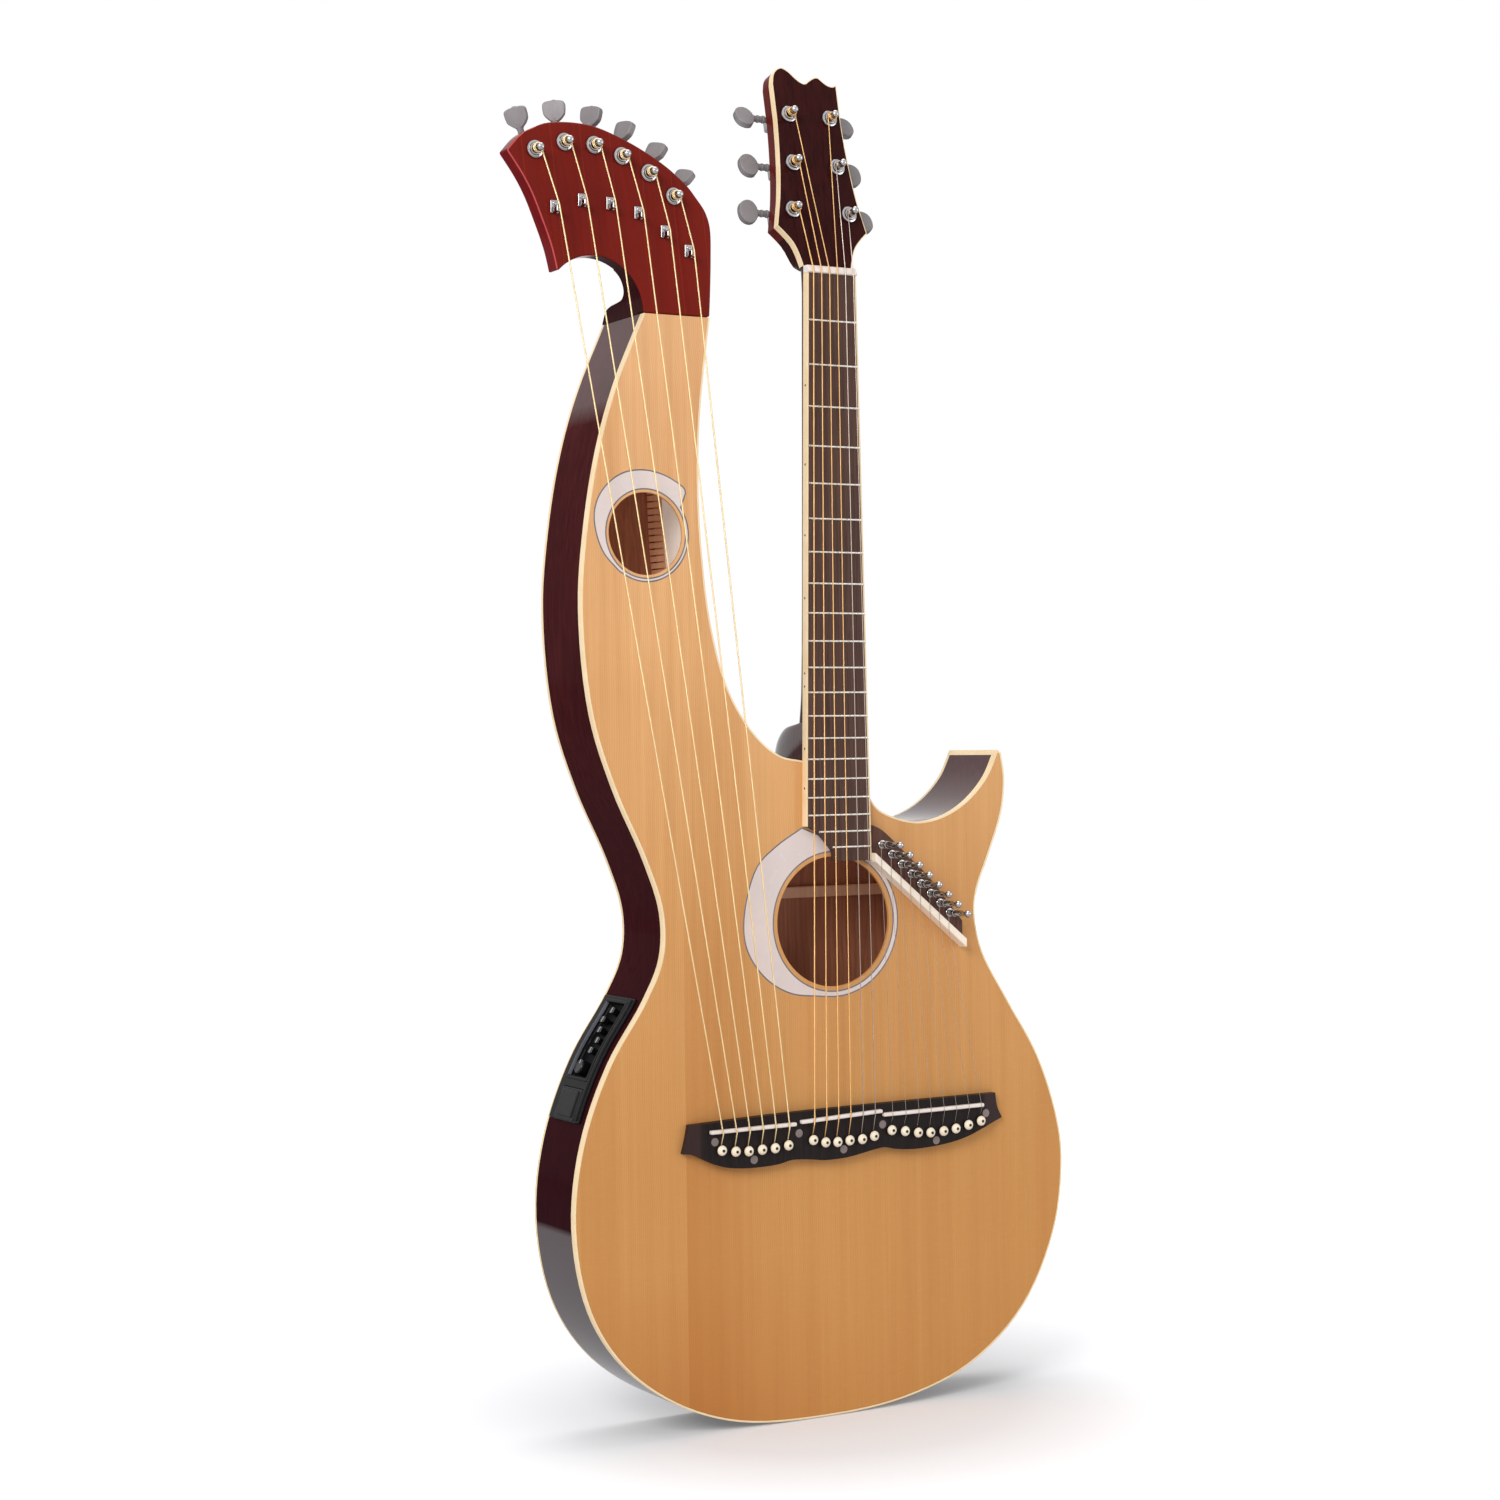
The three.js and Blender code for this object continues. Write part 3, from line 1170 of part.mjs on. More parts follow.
// A turned piece whose own Y axis points out of the rim
function rimTurned(u, profile) {
  const piece = turned(profile, roundSegments);
  const { foot, out } = rimFrame(u);
  const turn = new THREE.Quaternion().setFromUnitVectors(
    new THREE.Vector3(0, 1, 0), new THREE.Vector3(out.x, 0, out.y));
  piece.applyMatrix4(new THREE.Matrix4().compose(
    new THREE.Vector3(foot.x, preampMidY, foot.y), turn, new THREE.Vector3(1, 1, 1)));
  return piece;
}

function buildPreamp() {
  const grown = (distance) => slabSolid(
    inset(outline, () => -distance), preampMidY - bodyDepth, preampMidY + bodyDepth);
  const face = flangeSeat + flangeProud;
  const floor = face - recessDepth;
  const farOut = bulge + face + overrun;
  const flange = grown(face).subtract(grown(flangeSeat)).intersect(
    preampBox(0, chordLength, -overrun, farOut, preampWidth / 2));
  const core = grown((face + flangeSeat) / 2).intersect(preampBox(
    preampBodyInset, chordLength - preampBodyInset, -preampBodyDepth, farOut, bodyHalfWidth));
  const recess = preampBox(
    recessMargin, recessMargin + recessLength, -overrun, farOut, recessWidth / 2)
    .subtract(grown(floor));
  const sliderU = (i) => recessMargin + sliderPitch * (i + 0.8);
  const volumeU = recessMargin + recessLength - volumeRadius - gap * 5;
  const slots = sliderPlaceShares.map((_, i) => rimBox(
    sliderU(i), sliderStemLength / 2 + runningClearance,
    floor - sliderStemDepth - 2 * gap, floor + overrun,
    (sliderTravel + sliderStemWidth) / 2 + runningClearance));
  const volumeHole = solid(rimTurned(volumeU, [
    [0, floor - sliderStemDepth - 2 * gap],
    [volumeShaftRadius + runningClearance, floor - sliderStemDepth - 2 * gap],
    [volumeShaftRadius + runningClearance, floor + overrun], [0, floor + overrun],
  ]));
  const doorU = recessMargin * 1.4 + recessLength + doorLength / 2;
  const half = doorLength / 2;
  const doorTop = face + doorProud;
  const doorFoot = doorTop - doorThickness;
  const hingeV = half - doorPinRadius * 1.5;
  const hingeW = doorFoot + doorPinRadius;
  const hingeRelief = hingeV + doorThickness;
  const hingeHalf = doorWidth / 2 + doorPinLength;
  const doorSeat = rimPrism(doorU, [
    [-half - doorClearance, doorFoot - doorClearance], [hingeRelief, doorFoot - doorClearance],
    [hingeRelief, farOut], [-half - doorClearance, farOut],
  ], doorWidth / 2 + doorClearance);
  const relief = rimPrism(doorU, [
    [hingeV - doorThickness, doorFoot - doorThickness], [hingeRelief, doorFoot - doorThickness],
    [hingeRelief, doorFoot], [hingeV - doorThickness, doorFoot],
  ], doorWidth / 2 + doorClearance);
  const battery = rimBox(
    doorU, half - doorThickness, doorFoot - batteryDepth, doorFoot, doorWidth / 2 - doorThickness);
  const barrel = (radius, reach) => {
    const pin = new THREE.CylinderGeometry(radius, radius, reach * 2, pinSegments);
    const [x, z] = rimPoint(doorU, hingeV, hingeW);
    pin.translate(x, preampMidY, z);
    return solid(pin);
  };
  const housing = joined([flange, core]).subtract(joined([
    recess, ...slots, volumeHole, doorSeat, relief, battery,
    barrel(doorPinRadius + runningClearance, hingeHalf + runningClearance)]));
  add(model, 'preamp_housing', geometryOf(housing), ...finish.blackPlastic);
  sliderPlaceShares.forEach((share, i) => {
    const shift = (share * sliderTravel) / 2;
    const foot = floor + 2 * gap;
    const knob = joined([
      rimBox(sliderU(i), sliderKnobLength / 2, foot, foot + sliderKnobHeight,
        sliderKnobWidth / 2, shift),
      rimBox(sliderU(i), sliderStemLength / 2, floor - sliderStemDepth,
        foot + sliderKnobHeight / 2, sliderStemWidth / 2, shift),
    ]);
    add(model, `preamp_slider_${i + 1}`, geometryOf(knob), ...finish.blackPlastic);
  });
  add(model, 'preamp_volume_knob', rimTurned(volumeU, [
    [0, floor - sliderStemDepth], [volumeShaftRadius, floor - sliderStemDepth],
    [volumeShaftRadius, floor + 2 * gap], [volumeRadius, floor + 2 * gap],
    [volumeRadius * 0.9, floor + 2 * gap + volumeHeight], [0, floor + 2 * gap + volumeHeight],
  ]), ...finish.blackPlastic);
  const lip = doorPinRadius * 1.5;
  const doorPlate = rimPrism(doorU, [
    [-half, doorFoot], [hingeV + lip, doorFoot], [hingeV + lip, hingeW + lip / 2],
    [hingeV - lip, doorTop], [-half, doorTop],
  ], doorWidth / 2);
  const door = joined([doorPlate, barrel(doorPinRadius, hingeHalf)]);
  add(model, 'battery_door', geometryOf(door), ...finish.blackPlastic);
  const { foot, out } = rimFrame(volumeU);
  return {
    doorPivot: rimPoint(doorU, hingeV, hingeW), doorOpensFrom: rimFrame(doorU).down.toArray(),
    volume: foot.toArray(), volumeAxis: out.toArray(), y: preampMidY,
  };
}

// Strings: each one unbroken run from under the bridge to its last turn round a post
function winding(from, post, barrelRadius, wire, side, level, steps, place) {
  const radius = barrelRadius + gap + wire;
  const dx = post[0] - from[0];
  const dz = post[1] - from[1];
  const lean = side * Math.asin(radius / Math.hypot(dx, dz));
  const runX = dx * Math.cos(lean) + dz * Math.sin(lean);
  const runZ = dz * Math.cos(lean) - dx * Math.sin(lean);
  const start = Math.atan2(-side * runX, side * runZ);
  const first = 2 * (wire + windGap);
  const later = 2 * wire + windGap;
  return Array.from({ length: windTurns * steps + 1 }, (_, k) => {
    const turns = k / steps;
    const angle = start + side * turns * 2 * Math.PI;
    const rise = Math.min(turns, 1) * first + Math.max(turns - 1, 0) * later;
    return place(
      post[0] + radius * Math.cos(angle), post[1] + radius * Math.sin(angle), level + rise);
  });
}
// The least space between two stretches of one string that lie more than a turn's third apart
function leastSelfGap(points, wire, steps) {
  const near = Math.ceil(steps / 3);
  let least = Infinity;
  const path = points.map((p) => new THREE.Vector3(...p));
  const samples = path.slice(0, -1).flatMap((p, i) => [0, 0.2, 0.4, 0.6, 0.8].map((t) => {
    const finer = i === path.length - windTurns * steps - 2 ? 1 - (1 - t) ** 6 : t;
    return { i: i + finer, p: p.clone().lerp(path[i + 1], finer) };
  }));
  samples.forEach((a) => samples.forEach((b) => {
    if (b.i - a.i < near) return;
    least = Math.min(least, a.p.distanceTo(b.p) - 2 * wire);
  }));
  return least;
}

function buildStrings() {
  const contact = runningClearance / 2;
  const endY = frontY + ballEndDepth;
  const onTop = (x, z, h) => [x, frontY - h, z];
  const fromBridge = ([x, z], wire, [a, b]) => {
    const [ax, az] = bridgePoint(a);
    const [bx, bz] = bridgePoint(b);
    const saddleZ = az + ((bz - az) * (x - ax)) / (bx - ax) - saddleThickness / 2 - contact;
    return [
      [x, endY, z + stringSlotOffset],
      [x, bridgeFrontY - wire, z + stringSlotOffset],
      [x, saddleTopY - wire - contact, saddleZ],
    ];
  };
  const postLevel = (wire) => bushHeight + 2 * gap + wire + contact;
  const runs = [];
  bassPins.forEach((pin, i) => {
    const wire = bassWireRadius;
    const [x, z] = bassHeadPoint(bassBracketShares[i]);
    const post = bassPosts[i];
    const top = gap + bracketRise + wire + contact;
    runs.push({ wire, steps: windStepsPerTurn, points: [
      ...fromBridge(pin, wire, bassSaddleShares), onTop(x, z + contact, top),
      ...winding([x, z], post, waist, wire, 1, postLevel(wire), windStepsPerTurn, onTop),
    ] });
  });
  neckPins.forEach((pin, i) => {
    const wire = neckWireShares[i] * bassWireRadius;
    const x = (i / (neckPins.length - 1) - 0.5) * neckStringSpan;
    const z = nutZ + nutThickness / 3 + contact;
    const leftHalf = i < neckPins.length / 2;
    const post = leftHalf ? neckPosts[2 - i] : neckPosts[i];
    runs.push({ wire, steps: windStepsPerTurn, points: [
      ...fromBridge(pin, wire, neckSaddleShares), [x, frontY - nutHeight - wire - contact, z],
      ...winding([x, 0], post, waist, wire, leftHalf ? 1 : -1, postLevel(wire), windStepsPerTurn,
        headPoint),
    ] });
  });
  treblePins.forEach((pin, i) => {
    const wire = plainWireRadius;
    const [px, pz] = treblePosts[i];
    const x = px - trebleBarrelRadius - gap - wire;
    const z = nutFoot[0][1] + ((x - nutFoot[0][0]) * nutLine.y) / nutLine.x;
    const level = trebleBlockHeight + trebleStringLevel;
    const steps = trebleWindSteps;
    runs.push({ wire, steps, points: [
      ...fromBridge(pin, wire, trebleSaddleShares),
      onTop(x, z - contact, trebleNutHeight + wire + contact),
      onTop(x, z + trebleNutThickness / nutLine.x, trebleNutHeight + wire + contact),
      ...winding([x, z], [px, pz], trebleBarrelRadius, wire, -1, level, steps, onTop),
    ] });
  });
  const tie = tube(
    allPins.map(([x, z]) => [x, endY, z + stringSlotOffset]), ballEndRadius, windSides);
  const all = runs.map((run) => solid(tube(run.points, run.wire, windSides)));
  add(model, 'strings', geometryOf(joined([solid(tie), ...all])), ...finish.bronze);
  const least = Math.min(...runs.map((run) => leastSelfGap(run.points, run.wire, run.steps)));
  console.log(`least self-gap of a string: ${least.toFixed(3)} mm`);
  console.log(`string lengths, mm: ${runs.map((run) => run.points.slice(1).reduce(
    (sum, p, i) => sum + new THREE.Vector3(...p).distanceTo(new THREE.Vector3(...run.points[i])),
    0).toFixed(0)).join(' ')}`);
}

buildSoundboard();
buildBack();
buildBinding();
buildSides();
buildBassHead();
buildNeck();
buildFingerboard();
buildBridge();
buildPins();
buildTrebleGroup();
buildBassMachines();
buildNeckMachines();
const preampPlaces = buildPreamp();
buildStrings();
console.log(JSON.stringify(preampPlaces));

export default model;
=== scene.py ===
import math

import bpy
from mathutils import Matrix, Vector


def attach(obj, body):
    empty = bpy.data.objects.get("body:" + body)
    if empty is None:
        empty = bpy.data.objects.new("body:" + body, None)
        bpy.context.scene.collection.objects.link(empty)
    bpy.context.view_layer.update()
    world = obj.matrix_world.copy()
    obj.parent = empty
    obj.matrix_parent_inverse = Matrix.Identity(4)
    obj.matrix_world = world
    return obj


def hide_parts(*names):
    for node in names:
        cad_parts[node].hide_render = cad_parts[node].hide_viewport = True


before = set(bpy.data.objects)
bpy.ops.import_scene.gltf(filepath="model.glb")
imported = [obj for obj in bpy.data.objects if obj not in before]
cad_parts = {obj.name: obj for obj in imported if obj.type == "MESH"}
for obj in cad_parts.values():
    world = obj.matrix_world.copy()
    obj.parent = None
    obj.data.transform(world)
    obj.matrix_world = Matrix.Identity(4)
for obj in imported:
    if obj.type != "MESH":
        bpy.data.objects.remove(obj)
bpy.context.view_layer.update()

# Lengths are in millimetres, in the part's own frame, and turn into metres as a piece is made
MM = 0.001
BODY_WIDTH, BODY_LENGTH = 440.0, 845.5
FRONT, BACK = -35.0, 35.0
PLATE = 3.0
SIDE = 2.6
BINDING, BINDING_DEPTH = 1.6, 6.0
BACK_BINDING_DEPTH = BINDING_DEPTH * 0.6
HEAD_BINDING = 0.8
HORN_CAP = 4.4
CUTAWAY_FOOT = 456.0
WIDEST = 212.2
INLAY_LINE = 1.1
KERF_SPACING = 5.2
LINING, LINING_DEPTH = 7.0, 12.0
SCALE_LENGTH = 648.0
NUT_Z, HEAD_Z = 884.892, 890.892
NUT_HALF, NUT_SPREAD, BOARD_FLARE = 22.0, 36.0, 11.0
ROOT_LEFT, ROOT_RIGHT = 0.6013 * BODY_LENGTH, 0.5736 * BODY_LENGTH
BOARD_FACE = FRONT - 6.5
FRET_HALF = [(0.9, 0.3), (0.86, -0.35), (0.6, -0.78), (0.25, -0.96)]
BRIDGE_FACE = FRONT - 8.0
SADDLE_TOP = BRIDGE_FACE - 3.5
NUT_TOP = FRONT - 8.5
HEAD_TILT = math.radians(12)
NECK_HEAD_WIDTH, NECK_HEAD_LENGTH, NECK_HEAD_THICK = 82.0, 165.0, 16.0
BASS_HEAD_WIDTH, BASS_HEAD_HEIGHT, BASS_HEAD_THICK = 169.0, 137.0, 15.0
HOOK_RADIUS = 40.0
BRIDGE_CENTRE = (0.0068 * BODY_WIDTH, 0.2596 * BODY_LENGTH)
BRIDGE_WIDTH, BRIDGE_HEIGHT = 291.0, 40.0
BRIDGE_THICK, BRIDGE_WING_THICK = 8.0, 3.5
SOUND_HOLE, SOUND_RADIUS = (-0.0039 * BODY_WIDTH, 0.4532 * BODY_LENGTH), 50.5
ARM_HOLE, ARM_RADIUS = (-0.367 * BODY_WIDTH, 0.8045 * BODY_LENGTH), 31.0
GAP = 0.3
CURVE_STEPS, NECK_STEPS, RIM_STEPS = 6, 28, 14
WIRE_ROUNDING = 2

# Outline of the body, as shares of its width and length
LONG_SIDE = [
    (0.3573, 0.6056), (0.3641, 0.5819), (0.3568, 0.55), (0.3284, 0.5109), (0.3007, 0.4766),
    (0.2955, 0.453), (0.3107, 0.4187), (0.3659, 0.3702), (0.4318, 0.3146), (0.4745, 0.2507),
    (0.4823, 0.2082), (0.4614, 0.1443), (0.3909, 0.0769), (0.275, 0.0296), (0.1336, 0.0064),
    (-0.0341, 0), (-0.2064, 0.0064), (-0.3295, 0.0302), (-0.4293, 0.0698), (-0.4914, 0.121),
    (-0.5186, 0.1952), (-0.5014, 0.2673), (-0.4489, 0.3359), (-0.38, 0.3905), (-0.3473, 0.427),
    (-0.345, 0.4672), (-0.3745, 0.5138), (-0.4318, 0.5778), (-0.4739, 0.6446), (-0.4911, 0.738),
    (-0.4795, 0.8102), (-0.4541, 0.88), (-0.4193, 0.9373), (-0.3657, 1)]
INNER_ARM = [
    (-0.2375, 1), (-0.2466, 0.9675), (-0.26, 0.9083), (-0.2641, 0.8539), (-0.2591, 0.7901),
    (-0.242, 0.7215), (-0.2091, 0.6647), (-0.1591, 0.6257), (-0.1091, 0.6062)]
CUTAWAY = [
    (0.0864, 0.5577), (0.1136, 0.5495), (0.1736, 0.5424), (0.2314, 0.5475), (0.2814, 0.5614),
    (0.3239, 0.5834), (0.3491, 0.6084)]
# The crescents' outer edges, as shares of their holes' radii
CRESCENT = [
    (-0.5505, 1.4614), (-1.0119, 1.1901), (-1.3525, 0.8871), (-1.5703, 0.2733),
    (-1.5901, -0.198), (-1.4772, -0.5149), (-1.1881, -0.8554), (-0.7723, -1.0812),
    (-0.2376, -1.1525)]
ARM_CRESCENT = [
    (1.1161, 1.0161), (1.0742, 1.1355), (0.8387, 1.3), (0.4871, 1.4613), (-0.0323, 1.5548),
    (-0.5645, 1.4774), (-0.9677, 1.2419), (-1.2742, 0.871), (-1.4, 0.4516), (-1.3484, -0.0387),
    (-1.1452, -0.5161), (-0.7419, -0.9355)]
# The bridge's edges, its pins and its saddles, as shares of its width and height
BRIDGE_EDGES = [
    [(-0.4703, 0.4), (-0.1979, 0.47), (0.1529, 0.5025), (0.4847, 0.5125)],
    [(0.4847, 0.5125), (0.4915, 0.2375), (0.509, 0.0025)],
    [(0.509, 0.0025), (0.4385, -0.155), (0.3938, -0.28), (0.3529, -0.355), (0.3082, -0.405),
     (0.2467, -0.44), (0.1955, -0.44), (0.1512, -0.405), (0.1168, -0.355), (0.0825, -0.38),
     (0.045, -0.43), (-0.0031, -0.48), (-0.068, -0.4925), (-0.1089, -0.455), (-0.1467, -0.43),
     (-0.1739, -0.43), (-0.2082, -0.48), (-0.2663, -0.505), (-0.3244, -0.4925),
     (-0.3794, -0.43), (-0.4306, -0.2675), (-0.4649, -0.155), (-0.4884, -0.14)],
    [(-0.4884, -0.14), (-0.478, 0.1375), (-0.4703, 0.4)]]
BRIDGE_WINGS = {-1: -0.4277, 1: 0.4453}
BASS_PINS = [
    (-0.3842, -0.112), (-0.3436, -0.155), (-0.3045, -0.17), (-0.2643, -0.165),
    (-0.2254, -0.16), (-0.1849, -0.13)]
NECK_PINS = [
    (-0.1086, -0.075), (-0.0711, -0.14), (-0.034, -0.155), (0.0038, -0.145), (0.043, -0.145),
    (0.0808, -0.105)]
TREBLE_PINS = [
    (0.1364, -0.025), (0.1787, -0.068), (0.2203, -0.12), (0.2601, -0.142), (0.3024, -0.138),
    (0.3423, -0.11), (0.3835, -0.062), (0.4247, -0.005)]
SADDLES = {
    "bass_saddle": [(-0.417, 0.24), (-0.16, 0.26)],
    "neck_saddle": [(-0.1454, 0.288), (0.1069, 0.366)],
    "treble_saddle": [(0.1107, 0.288), (0.4347, 0.308)]}
BRIDGE_DOTS = [
    (-0.401, 0.052), (-0.285, -0.352), (-0.148, 0.072), (-0.011, -0.317), (0.112, 0.095),
    (0.283, -0.317), (0.446, 0.13)]
# The bass head's edges, posts and nut brackets, as shares of its width and height
BASS_HEAD_RIGHT = [
    (0, 0.0036), (0.0065, 0.1496), (0.0112, 0.3248), (0.0107, 0.4759), (0.0012, 0.5365),
    (-0.0201, 0.5949), (-0.058, 0.6533), (-0.1, 0.7117), (-0.1509, 0.7628), (-0.2101, 0.8139),
    (-0.3284, 0.8912), (-0.4467, 0.9504), (-0.5651, 0.992), (-0.6834, 1.0007),
    (-0.8018, 0.9818), (-0.8609, 0.9504), (-0.9201, 0.9088), (-0.9882, 0.8175)]
BASS_HEAD_LEFT = [
    (-0.9882, 0.8175), (-0.916, 0.6949), (-0.8728, 0.6022), (-0.8355, 0.4971),
    (-0.7805, 0.3197), (-0.7515, 0.176)]
BASS_POSTS = [
    (-0.8568, 0.8328), (-0.7154, 0.8876), (-0.5716, 0.8876), (-0.4367, 0.8431),
    (-0.303, 0.7657), (-0.1805, 0.6511)]
BASS_BRACKETS = [
    (-0.768, 0.5336), (-0.6343, 0.5825), (-0.4959, 0.5781), (-0.358, 0.5416),
    (-0.2272, 0.4518), (-0.1089, 0.3562)]
BASS_TUNER_DEGREES = [-18, -4, 9, 20, 30, 37]
BASS_BLADE_DEGREES = [-40, -33, -58, -70, -64, -67]
NECK_BLADE_DEGREES = [24, 12, 2, 22, 8, 14]
# The neck's heel: its rise over the body and its depth behind the front, as shares of the whole
NECK_HEEL = [
    (1, 0.265), (0.966, 0.34), (0.92, 0.545), (0.875, 0.655), (0.79, 0.75), (0.64, 0.845),
    (0.43, 0.925), (0, 0.985), (-0.7, 1.0)]
NECK_HEEL_RISE, NECK_HEEL_DEPTH = 29.2, 68.0
HEEL = [
    (0, 1), (0.06, 0.985), (0.2, 0.91), (0.3, 0.82), (0.36, 0.66), (0.385, 0.47), (0.42, 0.31),
    (0.52, 0.19), (0.68, 0.1), (0.86, 0.03), (1, 0)]
# The neck head's edges and posts, as shares of its width and length
HEAD_FLARE = [
    (0.2683, 0), (0.2756, 0.0182), (0.2976, 0.0576), (0.3415, 0.1091), (0.4171, 0.1539),
    (0.4951, 0.1909)]
HEAD_SIDE = [
    (0.4951, 0.1909), (0.4671, 0.2545), (0.4341, 0.3297), (0.4, 0.4497), (0.3732, 0.6),
    (0.3585, 0.7394)]
HEAD_CROWN = [
    (0.361, 0.9424), (0.322, 0.9309), (0.2683, 0.9333), (0.2195, 0.9467), (0.161, 0.9673),
    (0.1183, 0.9648), (0.0573, 0.9467), (0.0073, 0.9291), (-0.0366, 0.9333),
    (-0.0963, 0.9533), (-0.1707, 0.9842), (-0.2378, 0.997), (-0.2927, 0.9848),
    (-0.3354, 0.9576), (-0.3585, 0.9091)]
NECK_POSTS = [(0.2256, 0.758), (0.244, 0.5127), (0.31, 0.2764)]
BOARD_CUT = [
    (-0.5, 0.465), (-0.39, 0.437), (-0.275, 0.361), (-0.143, 0.2185), (-0.07, 0.125),
    (-0.055, 0)]
TREBLE_ENDS = [(0.0859, 0.5227), (0.2269, 0.4569)]
TREBLE_NUT_FOOT = [(0.0693, 0.5067), (0.2602, 0.4233)]
TREBLE_BLOCK = [
    (0.07, 0.541), (0.0871, 0.5365), (0.1182, 0.523), (0.1424, 0.5117), (0.165, 0.5012),
    (0.1842, 0.4922), (0.2566, 0.4487)]

# Wires, tuning machines and treble pins
BASS_WIRE, PLAIN_WIRE = 0.62, 0.17
NECK_WIRES = [share * BASS_WIRE for share in (0.923, 0.846, 0.769, 0.692, 0.585, 0.538)]
WIND_TURNS, WIND_GAP = 2, 0.45
STRING_LIFT, FIRST_TURN = 0.15, 0.75
POST_WAIST = 2.4
BUSH_HEIGHT = 3.6
WORM_OFFSET = 4.4
HOUSING_DEPTH = 11.5
BUTTON_REACH = 27.0
BRACKET_RISE = 8.8
TREBLE_BLOCK_HEIGHT, TREBLE_NUT_HEIGHT, TREBLE_NUT_THICK = 8.0, 12.0, 5.5
TREBLE_STRING_LEVEL = 4.2
TREBLE_BARREL = 2.4
# A treble pin from its ball down, as radii and heights over its block
TREBLE_PIN = [
    (0, 29.95), (1.0, 29.8), (1.9, 29.3), (2.6, 28.45), (2.92, 27.3), (2.92, 26.6), (2.6, 25.4),
    (2.0, 24.5), (1.45, 23.9), (1.2, 23.4), (1.25, 22.3), (1.6, 20.4), (2.1, 18.8), (2.4, 17.8),
    (2.4, 9.6), (2.55, 9.3), (2.9, 9.1), (2.9, 7.7), (2.5, 7.5), (2.25, 7.2), (2.25, 2.6),
    (2.4, 2.0), (3.2, 1.8), (3.5, 1.5), (3.5, 0.3), (2.2, 0.3), (2.2, -6), (0, -6)]

# Preamp on the rim; places along it are counted down from its top
PREAMP_TOP_Z, PREAMP_LENGTH, PREAMP_MID_Y = 0.3909 * BODY_LENGTH, 103.0, 2.5
PREAMP_FACE, PREAMP_FLOOR = 2.5, -1.9
HOUSING_HALF, CORE_HALF, OPENING_HALF = 25.5, 21.3, 21.8
RECESS, DOOR_SEAT = (6, 69), 90.4
CLEAR = 12
SLIDER_PLACES = [-0.15, 0.9, 0.15, -0.8, -0.5]
SLIDER_PITCH, SLIDER_REACH = 8.6, 6
KNOB_RADIUS = 6


# Places
def body_point(share):
    return share[0] * BODY_WIDTH, share[1] * BODY_LENGTH


def bridge_point(share):
    return (BRIDGE_CENTRE[0] + share[0] * BRIDGE_WIDTH,
            BRIDGE_CENTRE[1] + share[1] * BRIDGE_HEIGHT)


def half_board(z):
    """Half the fingerboard's width at a height, wider by BOARD_FLARE at the saddle."""
    return NUT_HALF + (NUT_Z - z) * BOARD_FLARE / SCALE_LENGTH


def fret_z(number):
    return NUT_Z - SCALE_LENGTH * (1 - 2 ** (-number / 12))


def head_point(x, s, h):
    """A point of the tilted neck head: across, up from the nut, and out of its face."""
    return (x, FRONT + s * math.sin(HEAD_TILT) - h * math.cos(HEAD_TILT),
            HEAD_Z + s * math.cos(HEAD_TILT) + h * math.sin(HEAD_TILT))


def smooth_line(points, steps=CURVE_STEPS):
    """A spline through the points, the same curve as the part's outlines."""
    points = [Vector(p) for p in points]
    ends = [points[0] * 2 - points[1], *points, points[-1] * 2 - points[-2]]
    line = []
    for i in range(len(points) - 1):
        p0, p1, p2, p3 = ends[i:i + 4]
        t0, t1, t2 = [max((b - a).length ** 0.5, 1e-6) for a, b in
                      ((p0, p1), (p1, p2), (p2, p3))]
        into = ((p1 - p0) / t0 - (p2 - p0) / (t0 + t1) + (p2 - p1) / t1) * t1
        out = ((p2 - p1) / t1 - (p3 - p1) / (t1 + t2) + (p3 - p2) / t2) * t1
        for k in range(steps):
            t = k / steps
            line.append(p1 * (2 * t**3 - 3 * t**2 + 1) + into * (t**3 - 2 * t**2 + t)
                        + p2 * (3 * t**2 - 2 * t**3) + out * (t**3 - t**2))
    return [tuple(p) for p in [*line, points[-1]]]


def inset(points, distance):
    """A closed outline moved inwards; a list of distances gives one to each edge."""
    count = len(points)
    by_edge = distance if isinstance(distance, list) else [distance] * count
    area = sum(a[0] * b[1] - b[0] * a[1] for a, b in zip(points, points[1:] + points[:1]))
    side = 1 if area > 0 else -1
    edges = []
    for (x, z), (nx, nz), reach in zip(points, points[1:] + points[:1], by_edge):
        length = math.hypot(nx - x, nz - z)
        in_x, in_z = -side * (nz - z) / length, side * (nx - x) / length
        edges.append((in_x, in_z, x * in_x + z * in_z + reach))
    moved = []
    for i, (x, z) in enumerate(points):
        (ax, az, a), (bx, bz, b) = edges[i - 1], edges[i]
        det = ax * bz - az * bx
        if abs(det) < 1e-4:
            moved.append((x + bx * by_edge[i], z + bz * by_edge[i]))
        else:
            moved.append(((a * bz - b * az) / det, (b * ax - a * bx) / det))
    return moved


def circle(centre, radius, count, start=0.0, end=360.0):
    """Points round a circle, or along an arc between two angles in degrees."""
    whole = abs(end - start) >= 360
    steps = count if whole else count - 1
    angles = [math.radians(start + (end - start) * i / steps) for i in range(count)]
    return [(centre[0] + radius * math.cos(a), centre[1] + radius * math.sin(a))
            for a in angles]


def crossings(points, z):
    """Where a level line crosses a closed outline, from left to right."""
    found = []
    for (x0, z0), (x1, z1) in zip(points, points[1:] + points[:1]):
        if (z0 - z) * (z1 - z) < 0:
            found.append(x0 + (x1 - x0) * (z - z0) / (z1 - z0))
    return sorted(found)


